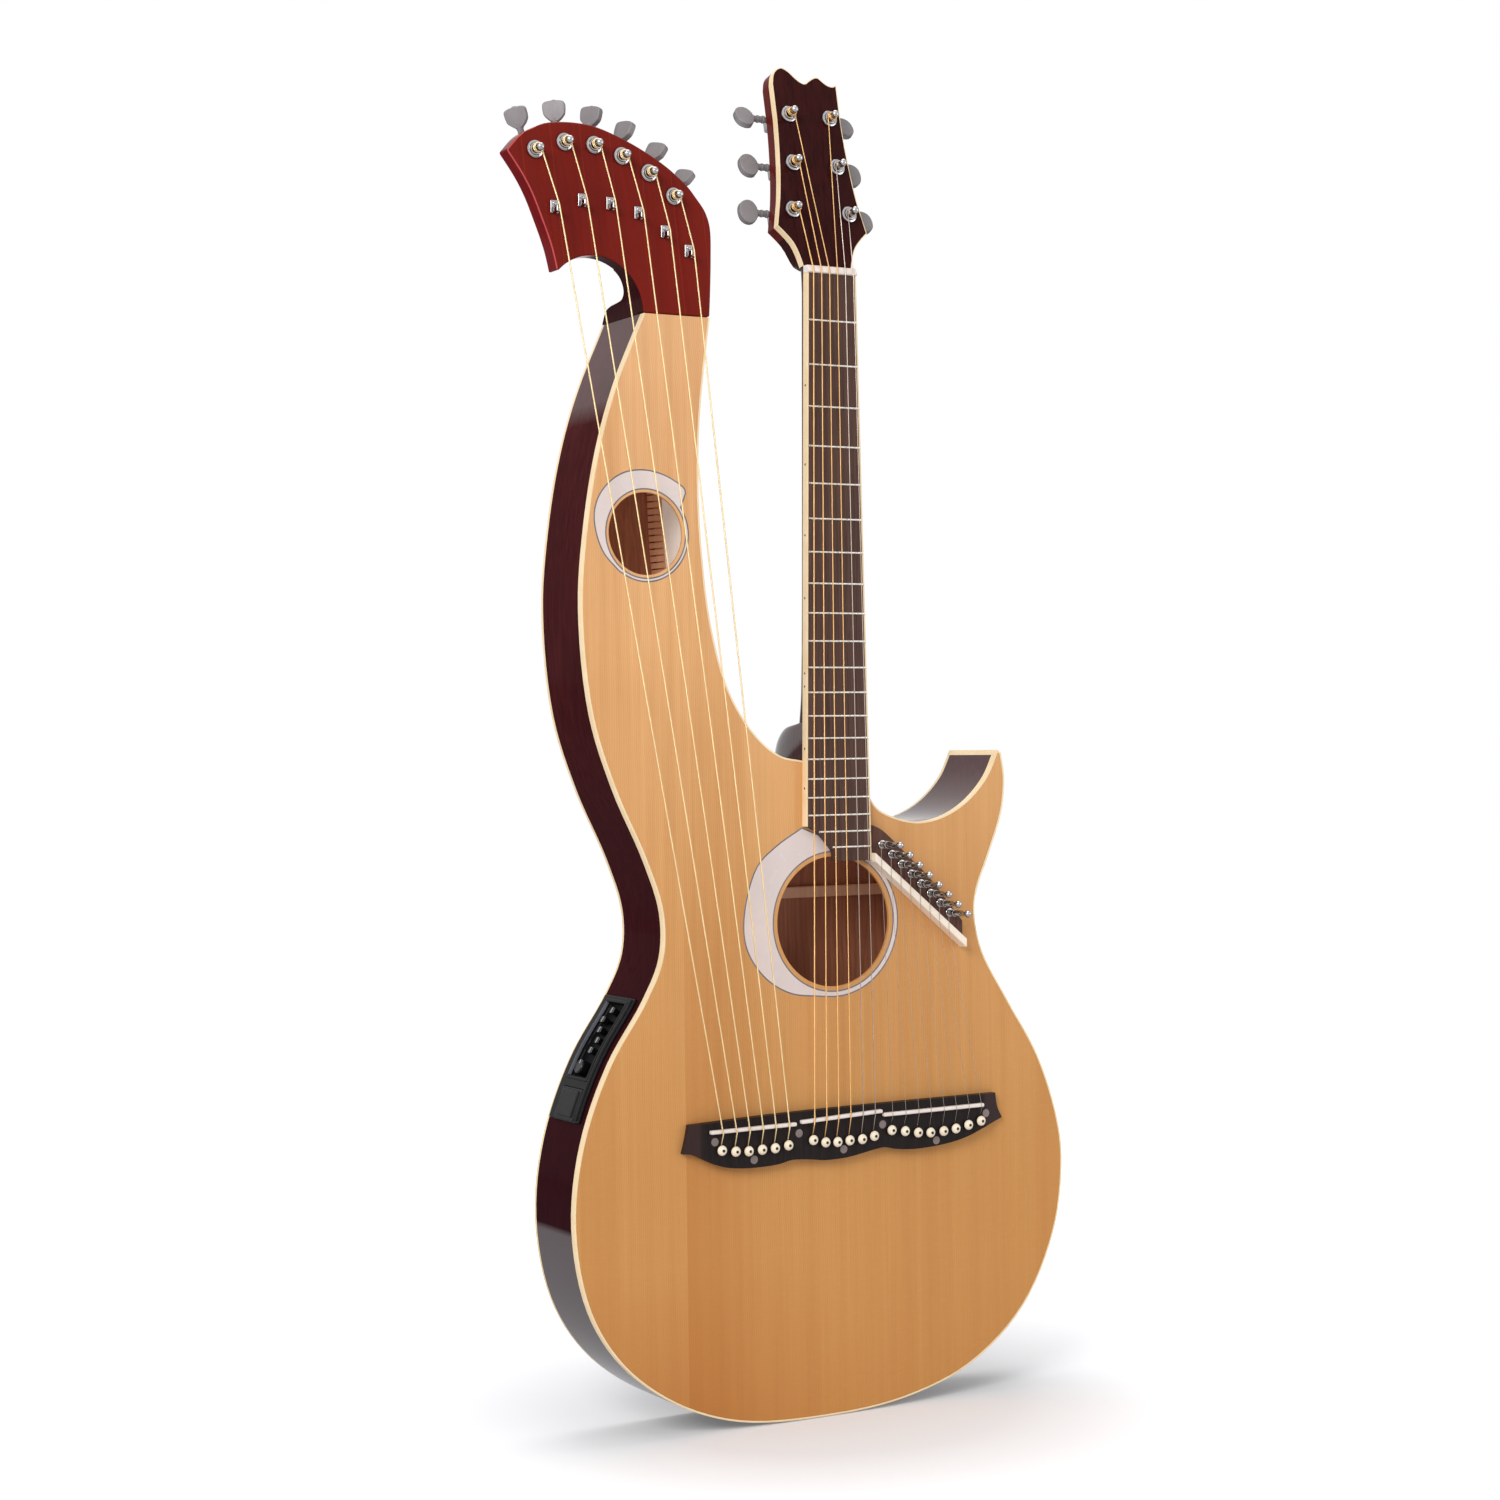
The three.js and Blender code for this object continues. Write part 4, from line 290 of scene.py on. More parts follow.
def outline_of(steps):
    long_side = smooth_line([body_point(s) for s in LONG_SIDE], steps)
    root = [(-half_board(ROOT_LEFT), ROOT_LEFT)]
    inner_arm = smooth_line([body_point(s) for s in INNER_ARM] + root, steps)
    start = [(half_board(ROOT_RIGHT), ROOT_RIGHT)]
    cutaway = smooth_line(start + [body_point(s) for s in CUTAWAY], steps)
    return long_side + inner_arm + cutaway, len(long_side) - 1


OUTLINE, ARM_END = outline_of(CURVE_STEPS)
ROUGH_OUTLINE, _ = outline_of(2)
OUTER_CORNER, INNER_CORNER = OUTLINE[ARM_END], OUTLINE[ARM_END + 1]
HOOK_X = OUTER_CORNER[0] - HOOK_RADIUS


# The line inside the bindings, which leave out the arm's end
BOUND_OUTLINE = inset(OUTLINE, [0.0 if i == ARM_END else BINDING for i in range(len(OUTLINE))])


def within(depth):
    """The rough outline moved inwards, and by less near the horn's tip, where it is narrow."""
    unit = inset(ROUGH_OUTLINE, 1.0)
    tip = ROUGH_OUTLINE[0]
    moved = []
    for (x, z), (ux, uz) in zip(ROUGH_OUTLINE, unit):
        reach = min(depth, max(SIDE, 0.25 * math.dist((x, z), tip)))
        moved.append((x + (ux - x) * reach, z + (uz - z) * reach))
    return moved


def bass_head_point(share):
    return (INNER_CORNER[0] + share[0] * BASS_HEAD_WIDTH,
            BODY_LENGTH + share[1] * BASS_HEAD_HEIGHT)


# Modelling
def choose(*pieces):
    """Selects these pieces alone, and makes the last one active."""
    if bpy.context.object and bpy.context.object.mode != "OBJECT":
        bpy.ops.object.mode_set(mode="OBJECT")
    bpy.ops.object.select_all(action="DESELECT")
    for piece in pieces:
        piece.select_set(True)
    bpy.context.view_layer.objects.active = pieces[-1] if pieces else None


def named(name):
    piece = bpy.context.object
    piece.name = name
    piece.data.name = name
    return piece


def edit():
    bpy.ops.object.mode_set(mode="EDIT")
    bpy.ops.mesh.select_all(action="SELECT")


def close_edit(merge=False):
    """Leaves edit mode with seams merged, if asked, and the faces turned outwards."""
    bpy.ops.mesh.select_all(action="SELECT")
    if merge:
        bpy.ops.mesh.remove_doubles(threshold=2e-6)
        bpy.ops.mesh.delete_loose(use_verts=True, use_edges=True, use_faces=False)
        bpy.ops.mesh.select_all(action="SELECT")
    bpy.ops.mesh.normals_make_consistent(inside=False)
    bpy.ops.object.mode_set(mode="OBJECT")


def lay(points):
    """A closed loop of edges through the points."""
    choose()
    bpy.ops.mesh.primitive_circle_add(vertices=len(points), radius=1)
    loop = bpy.context.object
    for vertex, point in zip(loop.data.vertices, points):
        vertex.co = Vector(point) * MM
    return loop


def prism(name, points, along):
    """A flat outline filled and extruded along a vector."""
    lay(points)
    edit()
    bpy.ops.mesh.edge_face_add()
    bpy.ops.mesh.extrude_region_move(
        TRANSFORM_OT_translate={"value": tuple(Vector(along) * MM)})
    close_edit()
    return named(name)


def plate(name, points, front, back):
    """A board with its outline in the plane of the soundboard, between two depths."""
    return prism(name, [(x, front, z) for x, z in points], (0, back - front, 0))


def skin(name, rows, closed=False, ring=False, caps=False):
    """A skin over rows of points. closed joins each row's ends, ring the first row to the last."""
    if closed:
        rows = [[*row, row[0]] for row in rows]
    if ring:
        rows = [*rows, rows[0]]
    choose()
    bpy.ops.mesh.primitive_grid_add(
        x_subdivisions=len(rows[0]) - 1, y_subdivisions=len(rows) - 1, size=1)
    flat = [point for row in rows for point in row]
    for vertex, point in zip(bpy.context.object.data.vertices, flat):
        vertex.co = Vector(point) * MM
    edit()
    bpy.ops.mesh.remove_doubles(threshold=2e-6)
    if caps:
        bpy.ops.mesh.select_mode(type="EDGE")
        bpy.ops.mesh.select_all(action="DESELECT")
        bpy.ops.mesh.select_non_manifold()
        bpy.ops.mesh.fill_holes(sides=0)
        bpy.ops.mesh.select_mode(type="VERT")
    close_edit()
    return named(name)


def strip(name, outer, inner, front, back, ring=False):
    """A band between two lines that run side by side, such as a binding."""
    section = [[(x, y, z) for x, z in line] for line, y in
               ((outer, front), (outer, back), (inner, back), (inner, front))]
    columns = [list(row) for row in zip(*section)]
    return skin(name, columns, closed=True, ring=ring, caps=not ring)


def turned(name, profile, steps=32):
    """A piece turned about Z, from (radius, height) pairs that start and end on the axis."""
    lay([(r, 0, h) for r, h in profile])
    edit()
    bpy.ops.mesh.spin(steps=steps, angle=math.tau, center=(0, 0, 0), axis=(0, 0, 1))
    close_edit(merge=True)
    return named(name)


def bar(name, low, high):
    """A squared block between two corners, to be rounded or cut."""
    choose()
    low, high = Vector(low) * MM, Vector(high) * MM
    bpy.ops.mesh.primitive_cube_add(size=1, location=(low + high) / 2, scale=high - low)
    bpy.ops.object.transform_apply(location=True, rotation=True, scale=True)
    return named(name)


def wire(name, points, radius):
    """A round wire along the points."""
    choose()
    bpy.ops.curve.primitive_nurbs_path_add()
    path = bpy.context.object
    path.data.splines.clear()
    run = path.data.splines.new("POLY")
    run.points.add(len(points) - 1)
    for point, place in zip(run.points, points):
        point.co = (*(Vector(place) * MM), 1)
    path.data.bevel_depth = radius * MM
    path.data.bevel_resolution = WIRE_ROUNDING
    path.data.use_fill_caps = True
    bpy.ops.object.convert(target="MESH")
    return named(name)


def apply(piece, kind, **settings):
    choose(piece)
    modifier = piece.modifiers.new(kind.title(), kind)
    for key, value in settings.items():
        setattr(modifier, key, value)
    bpy.ops.object.modifier_apply(modifier=modifier.name)
    return piece


def ease(piece, width, segments=3, angle=45):
    """Rounds the sharp edges by a width in millimetres."""
    return apply(piece, "BEVEL", width=width * MM, segments=segments, limit_method="ANGLE",
                 angle_limit=math.radians(angle))


def cut(piece, *cutters, operation="DIFFERENCE"):
    for cutter in cutters:
        apply(piece, "BOOLEAN", object=cutter, operation=operation, solver="EXACT")
        bpy.data.objects.remove(cutter)
    return piece


def drill(piece, centre, radius, front, back, sides=64):
    """Cuts a round hole through a piece, from front to back."""
    return cut(piece, plate("drill", circle(centre, radius, sides), front, back))


def joined(name, pieces):
    choose(*pieces)
    bpy.ops.object.join()
    return named(name)


def copied(piece, name, place):
    """A copy with its own mesh, with its place in the mesh."""
    choose(piece)
    bpy.ops.object.duplicate()
    copy = named(name)
    copy.matrix_world = place
    bpy.ops.object.transform_apply(location=True, rotation=True, scale=True)
    if place.determinant() < 0:
        edit()
        close_edit()
    return copy


def moved(x, y, z):
    return Matrix.Translation(Vector((x, y, z)) * MM)


def upright(x, z, y=0.0):
    """The place of a turned piece whose own axis is to point out of the soundboard."""
    return moved(x, y, z) @ Matrix.Rotation(math.radians(90), 4, "X")


def drop(*pieces):
    for piece in pieces:
        bpy.data.objects.remove(piece)


def copied_and_dropped(piece, name, place):
    copy = copied(piece, name, place)
    drop(piece)
    return copy


def repeated(piece, name, places):
    """Copies of a piece at these places, joined into one, in the stead of the piece."""
    copies = [copied(piece, "copy", place) for place in places]
    drop(piece)
    return joined(name, copies)


def finished(piece, finish, nodes=(), body="body", angle=35):
    """Gives a piece its finish and hangs it on a body, in place of the nodes it stands for."""
    for corner in piece.data.vertices:
        corner.co.x = min(corner.co.x, WIDEST * MM)
    choose(piece)
    bpy.ops.object.shade_smooth_by_angle(angle=math.radians(angle))
    apply(piece, "WEIGHTED_NORMAL", keep_sharp=True, weight=100)
    if finish:
        piece.data.materials.clear()
        piece.data.materials.append(finish)
    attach(piece, body)
    if nodes:
        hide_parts(*nodes)
    return piece


def finish_faces(piece, finish, chosen):
    """Gives some faces a finish of their own; chosen takes a face's middle and normal."""
    piece.data.materials.append(finish)
    index = len(piece.data.materials) - 1
    for face in piece.data.polygons:
        if chosen(face.center / MM, face.normal):
            face.material_index = index


def coated(piece, finish):
    """Gives a piece its finish before it is joined to others."""
    piece.data.materials.clear()
    piece.data.materials.append(finish)
    return piece


# Finishes
def colour(red, green, blue):
    """A colour as it is seen, 0 to 255, turned into the light that a shader works in."""
    def light(value):
        share = value / 255
        return share / 12.92 if share <= 0.04045 else ((share + 0.055) / 1.055) ** 2.4
    return (light(red), light(green), light(blue), 1.0)


def put(tree, kind, inputs=None, **settings):
    """Adds a node, with its settings and with values or links for its inputs."""
    node = tree.nodes.new(f"ShaderNode{kind}")
    for key, value in settings.items():
        setattr(node, key, value)
    for key, value in (inputs or {}).items():
        if isinstance(value, bpy.types.NodeSocket):
            tree.links.new(value, node.inputs[key])
        else:
            node.inputs[key].default_value = value
    return node


def effect(name, inputs, outputs):
    """A node group with named inputs and outputs, given as (name, kind, value)."""
    tree = bpy.data.node_groups.new(name, "ShaderNodeTree")
    for label, kind, value in inputs:
        socket = tree.interface.new_socket(
            name=label, in_out="INPUT", socket_type=f"NodeSocket{kind}")
        if value is not None:
            socket.default_value = value
    for label, kind in outputs:
        tree.interface.new_socket(name=label, in_out="OUTPUT", socket_type=f"NodeSocket{kind}")
    return tree, tree.nodes.new("NodeGroupInput").outputs, tree.nodes.new("NodeGroupOutput").inputs


def math_node(tree, operation, a, b=0.0):
    return put(tree, "Math", {0: a, 1: b}, operation=operation).outputs[0]


def vector_node(tree, operation, a, b):
    """A calculation with vectors; SCALE takes a plain number or value as its second."""
    second = "Scale" if operation == "SCALE" else 1
    return put(tree, "VectorMath", {0: a, second: b}, operation=operation).outputs[0]


def noise(tree, place, scale, detail=2.0, roughness=0.5, output="Fac"):
    return put(tree, "TexNoise", {"Vector": place, "Scale": scale, "Detail": detail,
                                  "Roughness": roughness}).outputs[output]


def fibre_effect():
    """Wood fibre: long streaks along Z, and finer ones among them."""
    tree, given, result = effect(
        "wood_fibre",
        [("Vector", "Vector", None), ("Streaks", "Float", 400.0), ("Wander", "Float", 0.004)],
        [("Streak", "Float"), ("Fine", "Float")])
    drift = noise(tree, given["Vector"], 6.0, output="Color")
    centred = vector_node(tree, "SUBTRACT", drift, (0.5, 0.5, 0.5))
    shift = vector_node(tree, "SCALE", centred, given["Wander"])
    bent = vector_node(tree, "ADD", given["Vector"], shift)
    long = vector_node(tree, "MULTIPLY", bent, (1.0, 1.0, 0.018))
    scaled = vector_node(tree, "SCALE", long, given["Streaks"])
    tree.links.new(noise(tree, scaled, 1.0, 4.0, 0.65), result["Streak"])
    tree.links.new(noise(tree, scaled, 4.5), result["Fine"])
    return tree


def growth_effect():
    """Growth rings of a quartered board: thin dark lines along Z, closer and wider in turn."""
    tree, given, result = effect(
        "growth_lines",
        [("Vector", "Vector", None), ("Lines", "Float", 175.0), ("Sharpness", "Float", 3.0)],
        [("Line", "Float"), ("Silk", "Float")])
    across = put(tree, "SeparateXYZ", {0: given["Vector"]}).outputs["X"]
    slope = math_node(tree, "MULTIPLY", noise(tree, given["Vector"], 9.0, 1.0), 0.02)
    sway = put(tree, "CombineXYZ", {"X": math_node(tree, "ADD", across, slope)})
    bands = put(tree, "TexWave",
                {"Vector": sway.outputs[0], "Scale": given["Lines"], "Distortion": 0.0})
    line = math_node(tree, "POWER", bands.outputs["Fac"], given["Sharpness"])
    stretched = put(tree, "Mapping", {"Vector": given["Vector"], "Scale": (110.0, 110.0, 620.0)})
    tree.links.new(line, result["Line"])
    tree.links.new(noise(tree, stretched.outputs[0], 1.0, 3.0, 0.6), result["Silk"])
    return tree


def handling_effect():
    """Soft marks of use: cloudy patches and hair-fine rubbing, for roughness and height."""
    tree, given, result = effect(
        "handling",
        [("Vector", "Vector", None), ("Patches", "Float", 18.0)],
        [("Cloud", "Float"), ("Rub", "Float")])
    long = put(tree, "Mapping", {"Vector": given["Vector"], "Rotation": (0.3, 0.2, 0.5),
                                 "Scale": (900.0, 900.0, 60.0)})
    tree.links.new(noise(tree, given["Vector"], given["Patches"], 3.0), result["Cloud"])
    tree.links.new(noise(tree, long.outputs[0], 1.0), result["Rub"])
    return tree


FIBRE, GROWTH, HANDLING = fibre_effect(), growth_effect(), handling_effect()


class Finish:
    """A material in the making: its tree, its shader and the coordinates of its piece."""

    def __init__(self, name, slot, turn=(0.0, 0.0, 0.0)):
        self.material = bpy.data.materials.new(name)
        self.material.use_nodes = True
        self.material["slot"] = slot
        self.tree = self.material.node_tree
        self.shader = self.tree.nodes["Principled BSDF"]
        place = put(self.tree, "TexCoord").outputs["Object"]
        self.place = put(self.tree, "Mapping", {"Vector": place, "Rotation": turn}).outputs[0]

    def constants(self, **values):
        for key, value in values.items():
            self.shader.inputs[key.replace("_", " ")].default_value = value

    def group(self, group, **values):
        node = put(self.tree, "Group", node_tree=group)
        self.tree.links.new(self.place, node.inputs["Vector"])
        for key, value in values.items():
            node.inputs[key].default_value = value
        return node.outputs

    def axes(self):
        return put(self.tree, "SeparateXYZ", {0: self.place}).outputs

    def calculate(self, operation, a, b=0.0):
        return math_node(self.tree, operation, a, b)

    def spread(self, value, low, high, out_low, out_high):
        """A value between low and high, spread over another range."""
        return put(self.tree, "MapRange", {
            "Value": value, "From Min": low, "From Max": high,
            "To Min": out_low, "To Max": out_high}).outputs[0]

    def blend(self, share, first, second):
        """A mix of two tones, each a value or a colour as it is seen."""
        first, second = [colour(*tone) if isinstance(tone, tuple) else tone
                         for tone in (first, second)]
        return put(self.tree, "Mix", {0: share, 6: first, 7: second},
                   data_type="RGBA").outputs[2]

    def tint(self, base, value, low, high, most, tone):
        """A tone over the base, by nothing where the value is low and by most where it is high."""
        return self.blend(self.spread(value, low, high, 0, most), base, tone)

    def paint(self, value):
        self.tree.links.new(value, self.shader.inputs["Base Color"])

    def roughen(self, value, low, more):
        """Roughness that follows a mark of use, from low up to more above it."""
        self.tree.links.new(self.spread(value, 0.3, 0.7, low, low + more),
                            self.shader.inputs["Roughness"])

    def emboss(self, value, height):
        bump = put(self.tree, "Bump",
                   {"Height": value, "Distance": height * MM, "Strength": 1.0})
        self.tree.links.new(bump.outputs[0], self.shader.inputs["Normal"])


def spruce():
    """Honey-coloured spruce under lacquer, deeper towards the bottom; paler up the arm, partly its
    own hue and partly painted light from above with a painted reflection.
    """
    finish = Finish("honey_spruce", "spruce_top")
    growth = finish.group(GROWTH, Lines=190.0, Sharpness=2.0)
    fibre = finish.group(FIBRE, Streaks=320.0, Wander=0.003)
    bands = finish.group(FIBRE, Streaks=45.0, Wander=0.0)
    use = finish.group(HANDLING, Patches=6.0)
    # The ramp of tones up the board: partly the wood's hue, partly painted light and a painted
    # reflection
    rise = put(finish.tree, "VectorMath",
               {0: finish.place, 1: SPRUCE_TONE_AND_LIGHT_RISE}, operation="DOT_PRODUCT").outputs["Value"]
    bottom, top = SPRUCE_TONES_AND_PAINTED_LIGHT[0][0], SPRUCE_TONES_AND_PAINTED_LIGHT[-1][0]
    ramp = put(finish.tree, "ValToRGB", {0: finish.spread(rise, bottom, top, 0, 1)})
    stops = ramp.color_ramp.elements
    while len(stops) < len(SPRUCE_TONES_AND_PAINTED_LIGHT):
        stops.new(0.5)
    for stop, (height, shade) in zip(stops, SPRUCE_TONES_AND_PAINTED_LIGHT):
        stop.position = (height - bottom) / (top - bottom)
        stop.color = colour(*shade)
    tone = finish.tint(ramp.outputs["Color"], fibre["Streak"], 0.35, 0.7, 0.16, (176, 118, 66))
    tone = finish.tint(tone, bands["Streak"], 0.42, 0.64, 0.3, (186, 122, 64))
    tone = finish.tint(tone, growth["Silk"], 0.45, 0.75, 0.05, (240, 196, 142))
    axes = finish.axes()
    # The joint of two boards on the bass side, and a darker foot at the bottom
    joint = finish.calculate("MULTIPLY", finish.spread(axes["X"], -0.1345, -0.1338, 0, 0.4),
                             finish.spread(axes["X"], -0.133, -0.055, 1, 0))
    joint = finish.calculate("MULTIPLY", joint, finish.spread(axes["Z"], 0.5, 0.2, 0, 1))
    tone = finish.blend(joint, tone, (178, 106, 44))
    foot = finish.calculate("MULTIPLY", finish.spread(axes["X"], 0.02, -0.13, 0, 0.5),
                            finish.spread(axes["Z"], 0.13, 0.0, 0, 1))
    tone = finish.blend(foot, tone, (176, 104, 46))
    tone = finish.tint(tone, use["Cloud"], 0.35, 0.7, 0.2, (186, 124, 66))
    finish.paint(finish.tint(tone, growth["Line"], 0, 1, 0.15, (160, 100, 52)))
    finish.roughen(use["Cloud"], 0.22, 0.08)
    finish.constants(Specular_IOR_Level=0.12, Coat_Roughness=0.08, Coat_Weight=0.0)
    finish.emboss(growth["Line"], 0.008)
    return finish.material


def dark_wood(name, slot, dark, light, specular, painted_shade_tone=None, painted_glow=0.0, painted_sheen=()):
    """Figured red-brown hardwood under a deep lacquer; painted_shade_tone is a painted shade,
    the tone that it darkens to towards the bottom; painted_glow is painted light, an emission
    that stands for the light that comes in over it from outside; and painted_sheen gives an
    axis, where along it the lacquer's painted sheen starts and is full, and how strong it is."""
    finish = Finish(name, slot)
    fibre = finish.group(FIBRE, Streaks=330.0, Wander=0.02)
    use = finish.group(HANDLING, Patches=9.0)
    tone = finish.tint(light, fibre["Streak"], 0.32, 0.7, 1, dark)
    tone = finish.tint(tone, use["Cloud"], 0.35, 0.7, 0.55, dark)
    axes = finish.axes()
    # Painted shade: the wood darkens towards the bottom
    if painted_shade_tone:
        tone = finish.tint(tone, axes["Z"], 0.85, 0.1, 0.92, painted_shade_tone)
    finish.paint(tone)
    finish.roughen(use["Rub"], 0.1, 0.06)
    finish.constants(Specular_IOR_Level=specular)
    # Painted sheen: the lacquer's coat is laid on by place along an axis
    painted_shine = 0.0
    for axis, start, full, strength in painted_sheen:
        painted_shine = finish.calculate(
            "MAXIMUM", finish.spread(axes[axis], start, full, 0, strength), painted_shine)
    if painted_sheen:
        finish.tree.links.new(painted_shine, finish.shader.inputs["Coat Weight"])
        finish.constants(Coat_Roughness=0.12, Coat_IOR=1.9)
    # Painted light: an emission in the wood's own light tone makes it glow
    if painted_glow:
        finish.constants(Emission_Color=colour(*light), Emission_Strength=painted_glow)
    finish.emboss(fibre["Fine"], 0.01)
    return finish.material


def cherry():
    """Red-stained hardwood, glued up from boards whose seams show as thin paler lines."""
    finish = Finish("cherry_wood", "cherry_head_wood", (0.0, 0.105, 0.0))
    fibre = finish.group(FIBRE, Streaks=260.0, Wander=0.01)
    use = finish.group(HANDLING, Patches=9.0)
    boards = put(finish.tree, "CombineXYZ", {"X": finish.axes()["X"]})
    layers = put(finish.tree, "TexWave",
                 {"Vector": boards.outputs[0], "Scale": 13.0, "Distortion": 0.0})
    seam = finish.calculate("POWER", layers.outputs["Fac"], 700.0)
    tone = finish.tint((116, 30, 22), fibre["Streak"], 0.3, 0.72, 0.7, (92, 21, 18))
    tone = finish.tint(tone, use["Cloud"], 0.35, 0.7, 0.4, (132, 36, 24))
    finish.paint(finish.tint(tone, seam, 0, 1, 0.42, (156, 54, 38)))
    finish.roughen(use["Rub"], 0.1, 0.05)
    finish.constants(Specular_IOR_Level=0.06)
    finish.emboss(fibre["Fine"], 0.006)
    return finish.material


def rosewood(name, light, dark, ends=None):
    """Open-pored dark wood; ends gives the middle and the half length past which it is
    paler, and its tone there."""
    finish = Finish(name, "rosewood")
    fibre = finish.group(FIBRE, Streaks=700.0, Wander=0.006)
    use = finish.group(HANDLING, Patches=30.0)
    tone = finish.tint(light, fibre["Streak"], 0.34, 0.66, 1, dark)
    if ends:
        centre, half, pale = ends
        away = finish.calculate(
            "ABSOLUTE", finish.calculate("SUBTRACT", finish.axes()["X"], centre))
        tone = finish.tint(tone, away, half - 0.0015, half + 0.0015, 0.75, pale)
    finish.paint(finish.tint(tone, fibre["Fine"], 0.62, 0.72, 0.6, (22, 14, 12)))
    finish.roughen(use["Cloud"], 0.38, 0.14)
    finish.constants(Specular_IOR_Level=0.12)
    finish.emboss(fibre["Fine"], 0.03)
    return finish.material


def even(name, slot, tone, mottle, roughness=0.32, specular=0.4, patches=60.0, bump=0.01):
    """Cast or cut material of one colour, with a faint cloudiness and rubbing."""
    finish = Finish(name, slot)
    use = finish.group(HANDLING, Patches=patches)
    finish.paint(finish.tint(tone, use["Cloud"], 0.3, 0.72, 1, mottle))
    finish.roughen(use["Rub"], roughness, 0.12)
    finish.constants(Specular_IOR_Level=specular)
    finish.emboss(use["Rub"], bump)
    return finish.material


def pearl():
    """Pale pinkish shell with a faint swirl."""
    finish = Finish("shell_pearl", "pearl_inlay")
    swirl = put(finish.tree, "TexNoise", {
        "Vector": finish.place, "Scale": 60.0, "Detail": 4.0, "Distortion": 1.6}).outputs["Fac"]
    broad = noise(finish.tree, finish.place, 14.0)
    tone = finish.tint((228, 210, 203), broad, 0.35, 0.65, 1, (219, 203, 197))
    finish.paint(finish.tint(tone, swirl, 0.4, 0.65, 0.4, (212, 204, 206)))
    finish.roughen(swirl, 0.18, 0.12)
    finish.constants(Specular_IOR_Level=0.3, Coat_Weight=0.0)
    finish.emboss(swirl, 0.006)
    return finish.material


def metal(name, slot, tone, worn, roughness, wrap=0.0, metallic=1.0, rim=None):
    """Polished metal; wrap is the spacing in millimetres of a wound wire's turns, if any,
    and rim is a painted reflection: a deeper tone laid on the sides that are turned away."""
    finish = Finish(name, slot)
    use = finish.group(HANDLING, Patches=90.0)
    face = finish.tint(tone, use["Cloud"], 0.35, 0.75, 0.6, worn)
    # Painted reflection: the turned-away sides darken to the rim tone
    if rim:
        facing = put(finish.tree, "LayerWeight", {"Blend": 0.5}).outputs["Facing"]
        face = finish.tint(face, facing, 0.3, 0.85, 0.8, rim)
    finish.paint(face)
    finish.roughen(use["Rub"], roughness, 0.08)
    finish.constants(Metallic=metallic, Specular_IOR_Level=0.1)
    if wrap:
        turns = put(finish.tree, "TexWave", {
            "Vector": finish.place, "Scale": 0.314 / (wrap * MM), "Distortion": 0.0},
            bands_direction="Z")
        finish.emboss(turns.outputs["Fac"], 0.05)
    else:
        finish.emboss(use["Rub"], 0.004)
    return finish.material


# The way in which the spruce pales, and its tones along it: partly the wood's own hue, partly
# painted light from above and a painted reflection up the arm
SPRUCE_TONE_AND_LIGHT_RISE = (-0.1, 0.0, 1.0)
SPRUCE_TONES_AND_PAINTED_LIGHT = [
    (0.0, (208, 148, 84)), (0.2, (210, 153, 90)), (0.4, (218, 163, 104)), (0.6, (239, 186, 130)),
    (0.8, (241, 190, 138)), (0.95, (240, 191, 142))]
SPRUCE = spruce()
# The sides darken towards the bottom in painted shade, and their lacquer coat, a painted sheen,
# lies in a band low down and another high up the arm
SIDE_WOOD = dark_wood("dark_rim_wood", "dark_body_wood", (56, 18, 20), (88, 34, 34),
                      specular=0.004, painted_shade_tone=(38, 12, 19),
                      painted_sheen=[("Z", 0.163, 0.158, 0.75), ("Z", 0.764, 0.78, 0.42)])
# The back and the treble side darken towards the bottom in painted shade
BACK_WOOD = dark_wood("dark_back_wood", "dark_body_wood", (56, 18, 20), (88, 34, 34),
                      specular=0.03, painted_shade_tone=(38, 12, 19))
# The cutaway's wall: a greyer copy of the side wood with a coat laid on across it, a painted
# reflection
CUTAWAY_WOOD_PAINTED_REFLECTION = dark_wood("rim_wood_painted_reflection", "dark_body_wood", (58, 26, 28), (84, 42, 42),
                         specular=0.1, painted_sheen=[("X", 0.19, 0.08, 0.62)])
RAW_WOOD = dark_wood("bare_inside_wood", "dark_body_wood", (146, 92, 70), (190, 124, 94),
                     specular=0.05)
# Painted light: the braces, the linings and the pale inner side glow a little, standing for light
# that comes in through the holes
BRACE_WOOD_PAINTED_GLOW = dark_wood("bare_brace_wood_painted_glow", "dark_body_wood", (200, 150, 122), (226, 176, 146),
                       specular=0.05, painted_glow=0.03)
LINING_WOOD_PAINTED_GLOW = dark_wood("bare_lining_wood_painted_glow", "dark_body_wood", (220, 160, 124), (240, 184, 146),
                        specular=0.05, painted_glow=0.02)
WALL_WOOD_PAINTED_GLOW = dark_wood("bare_side_wood_painted_glow", "dark_body_wood", (238, 226, 212), (250, 240, 228),
                      specular=0.05, painted_glow=0.2)
NECK_WOOD = dark_wood("dark_neck_wood", "dark_neck_wood", (40, 13, 14), (64, 23, 21),
                      specular=0.05)
NECK_EDGE = dark_wood("red_neck_wood", "dark_neck_wood", (78, 24, 24), (110, 38, 34),
                      specular=0.03)
# A paler, greyer copy of the neck wood for the heel: a painted reflection, over a stronger real
# gloss
HEEL_WOOD_PAINTED_SHEEN = dark_wood("heel_wood_painted_sheen", "dark_neck_wood", (58, 34, 36), (84, 54, 54),
                      specular=0.6)
CHERRY = cherry()
# The bass head's left-facing sides: partly the wood's own redder edge, partly painted light from
# the lamp on the left
CHERRY_EDGE_AND_LIGHT = dark_wood("cherry_edge_wood_painted_light", "cherry_head_wood", (100, 14, 18), (128, 24, 24),
                        specular=0.02)
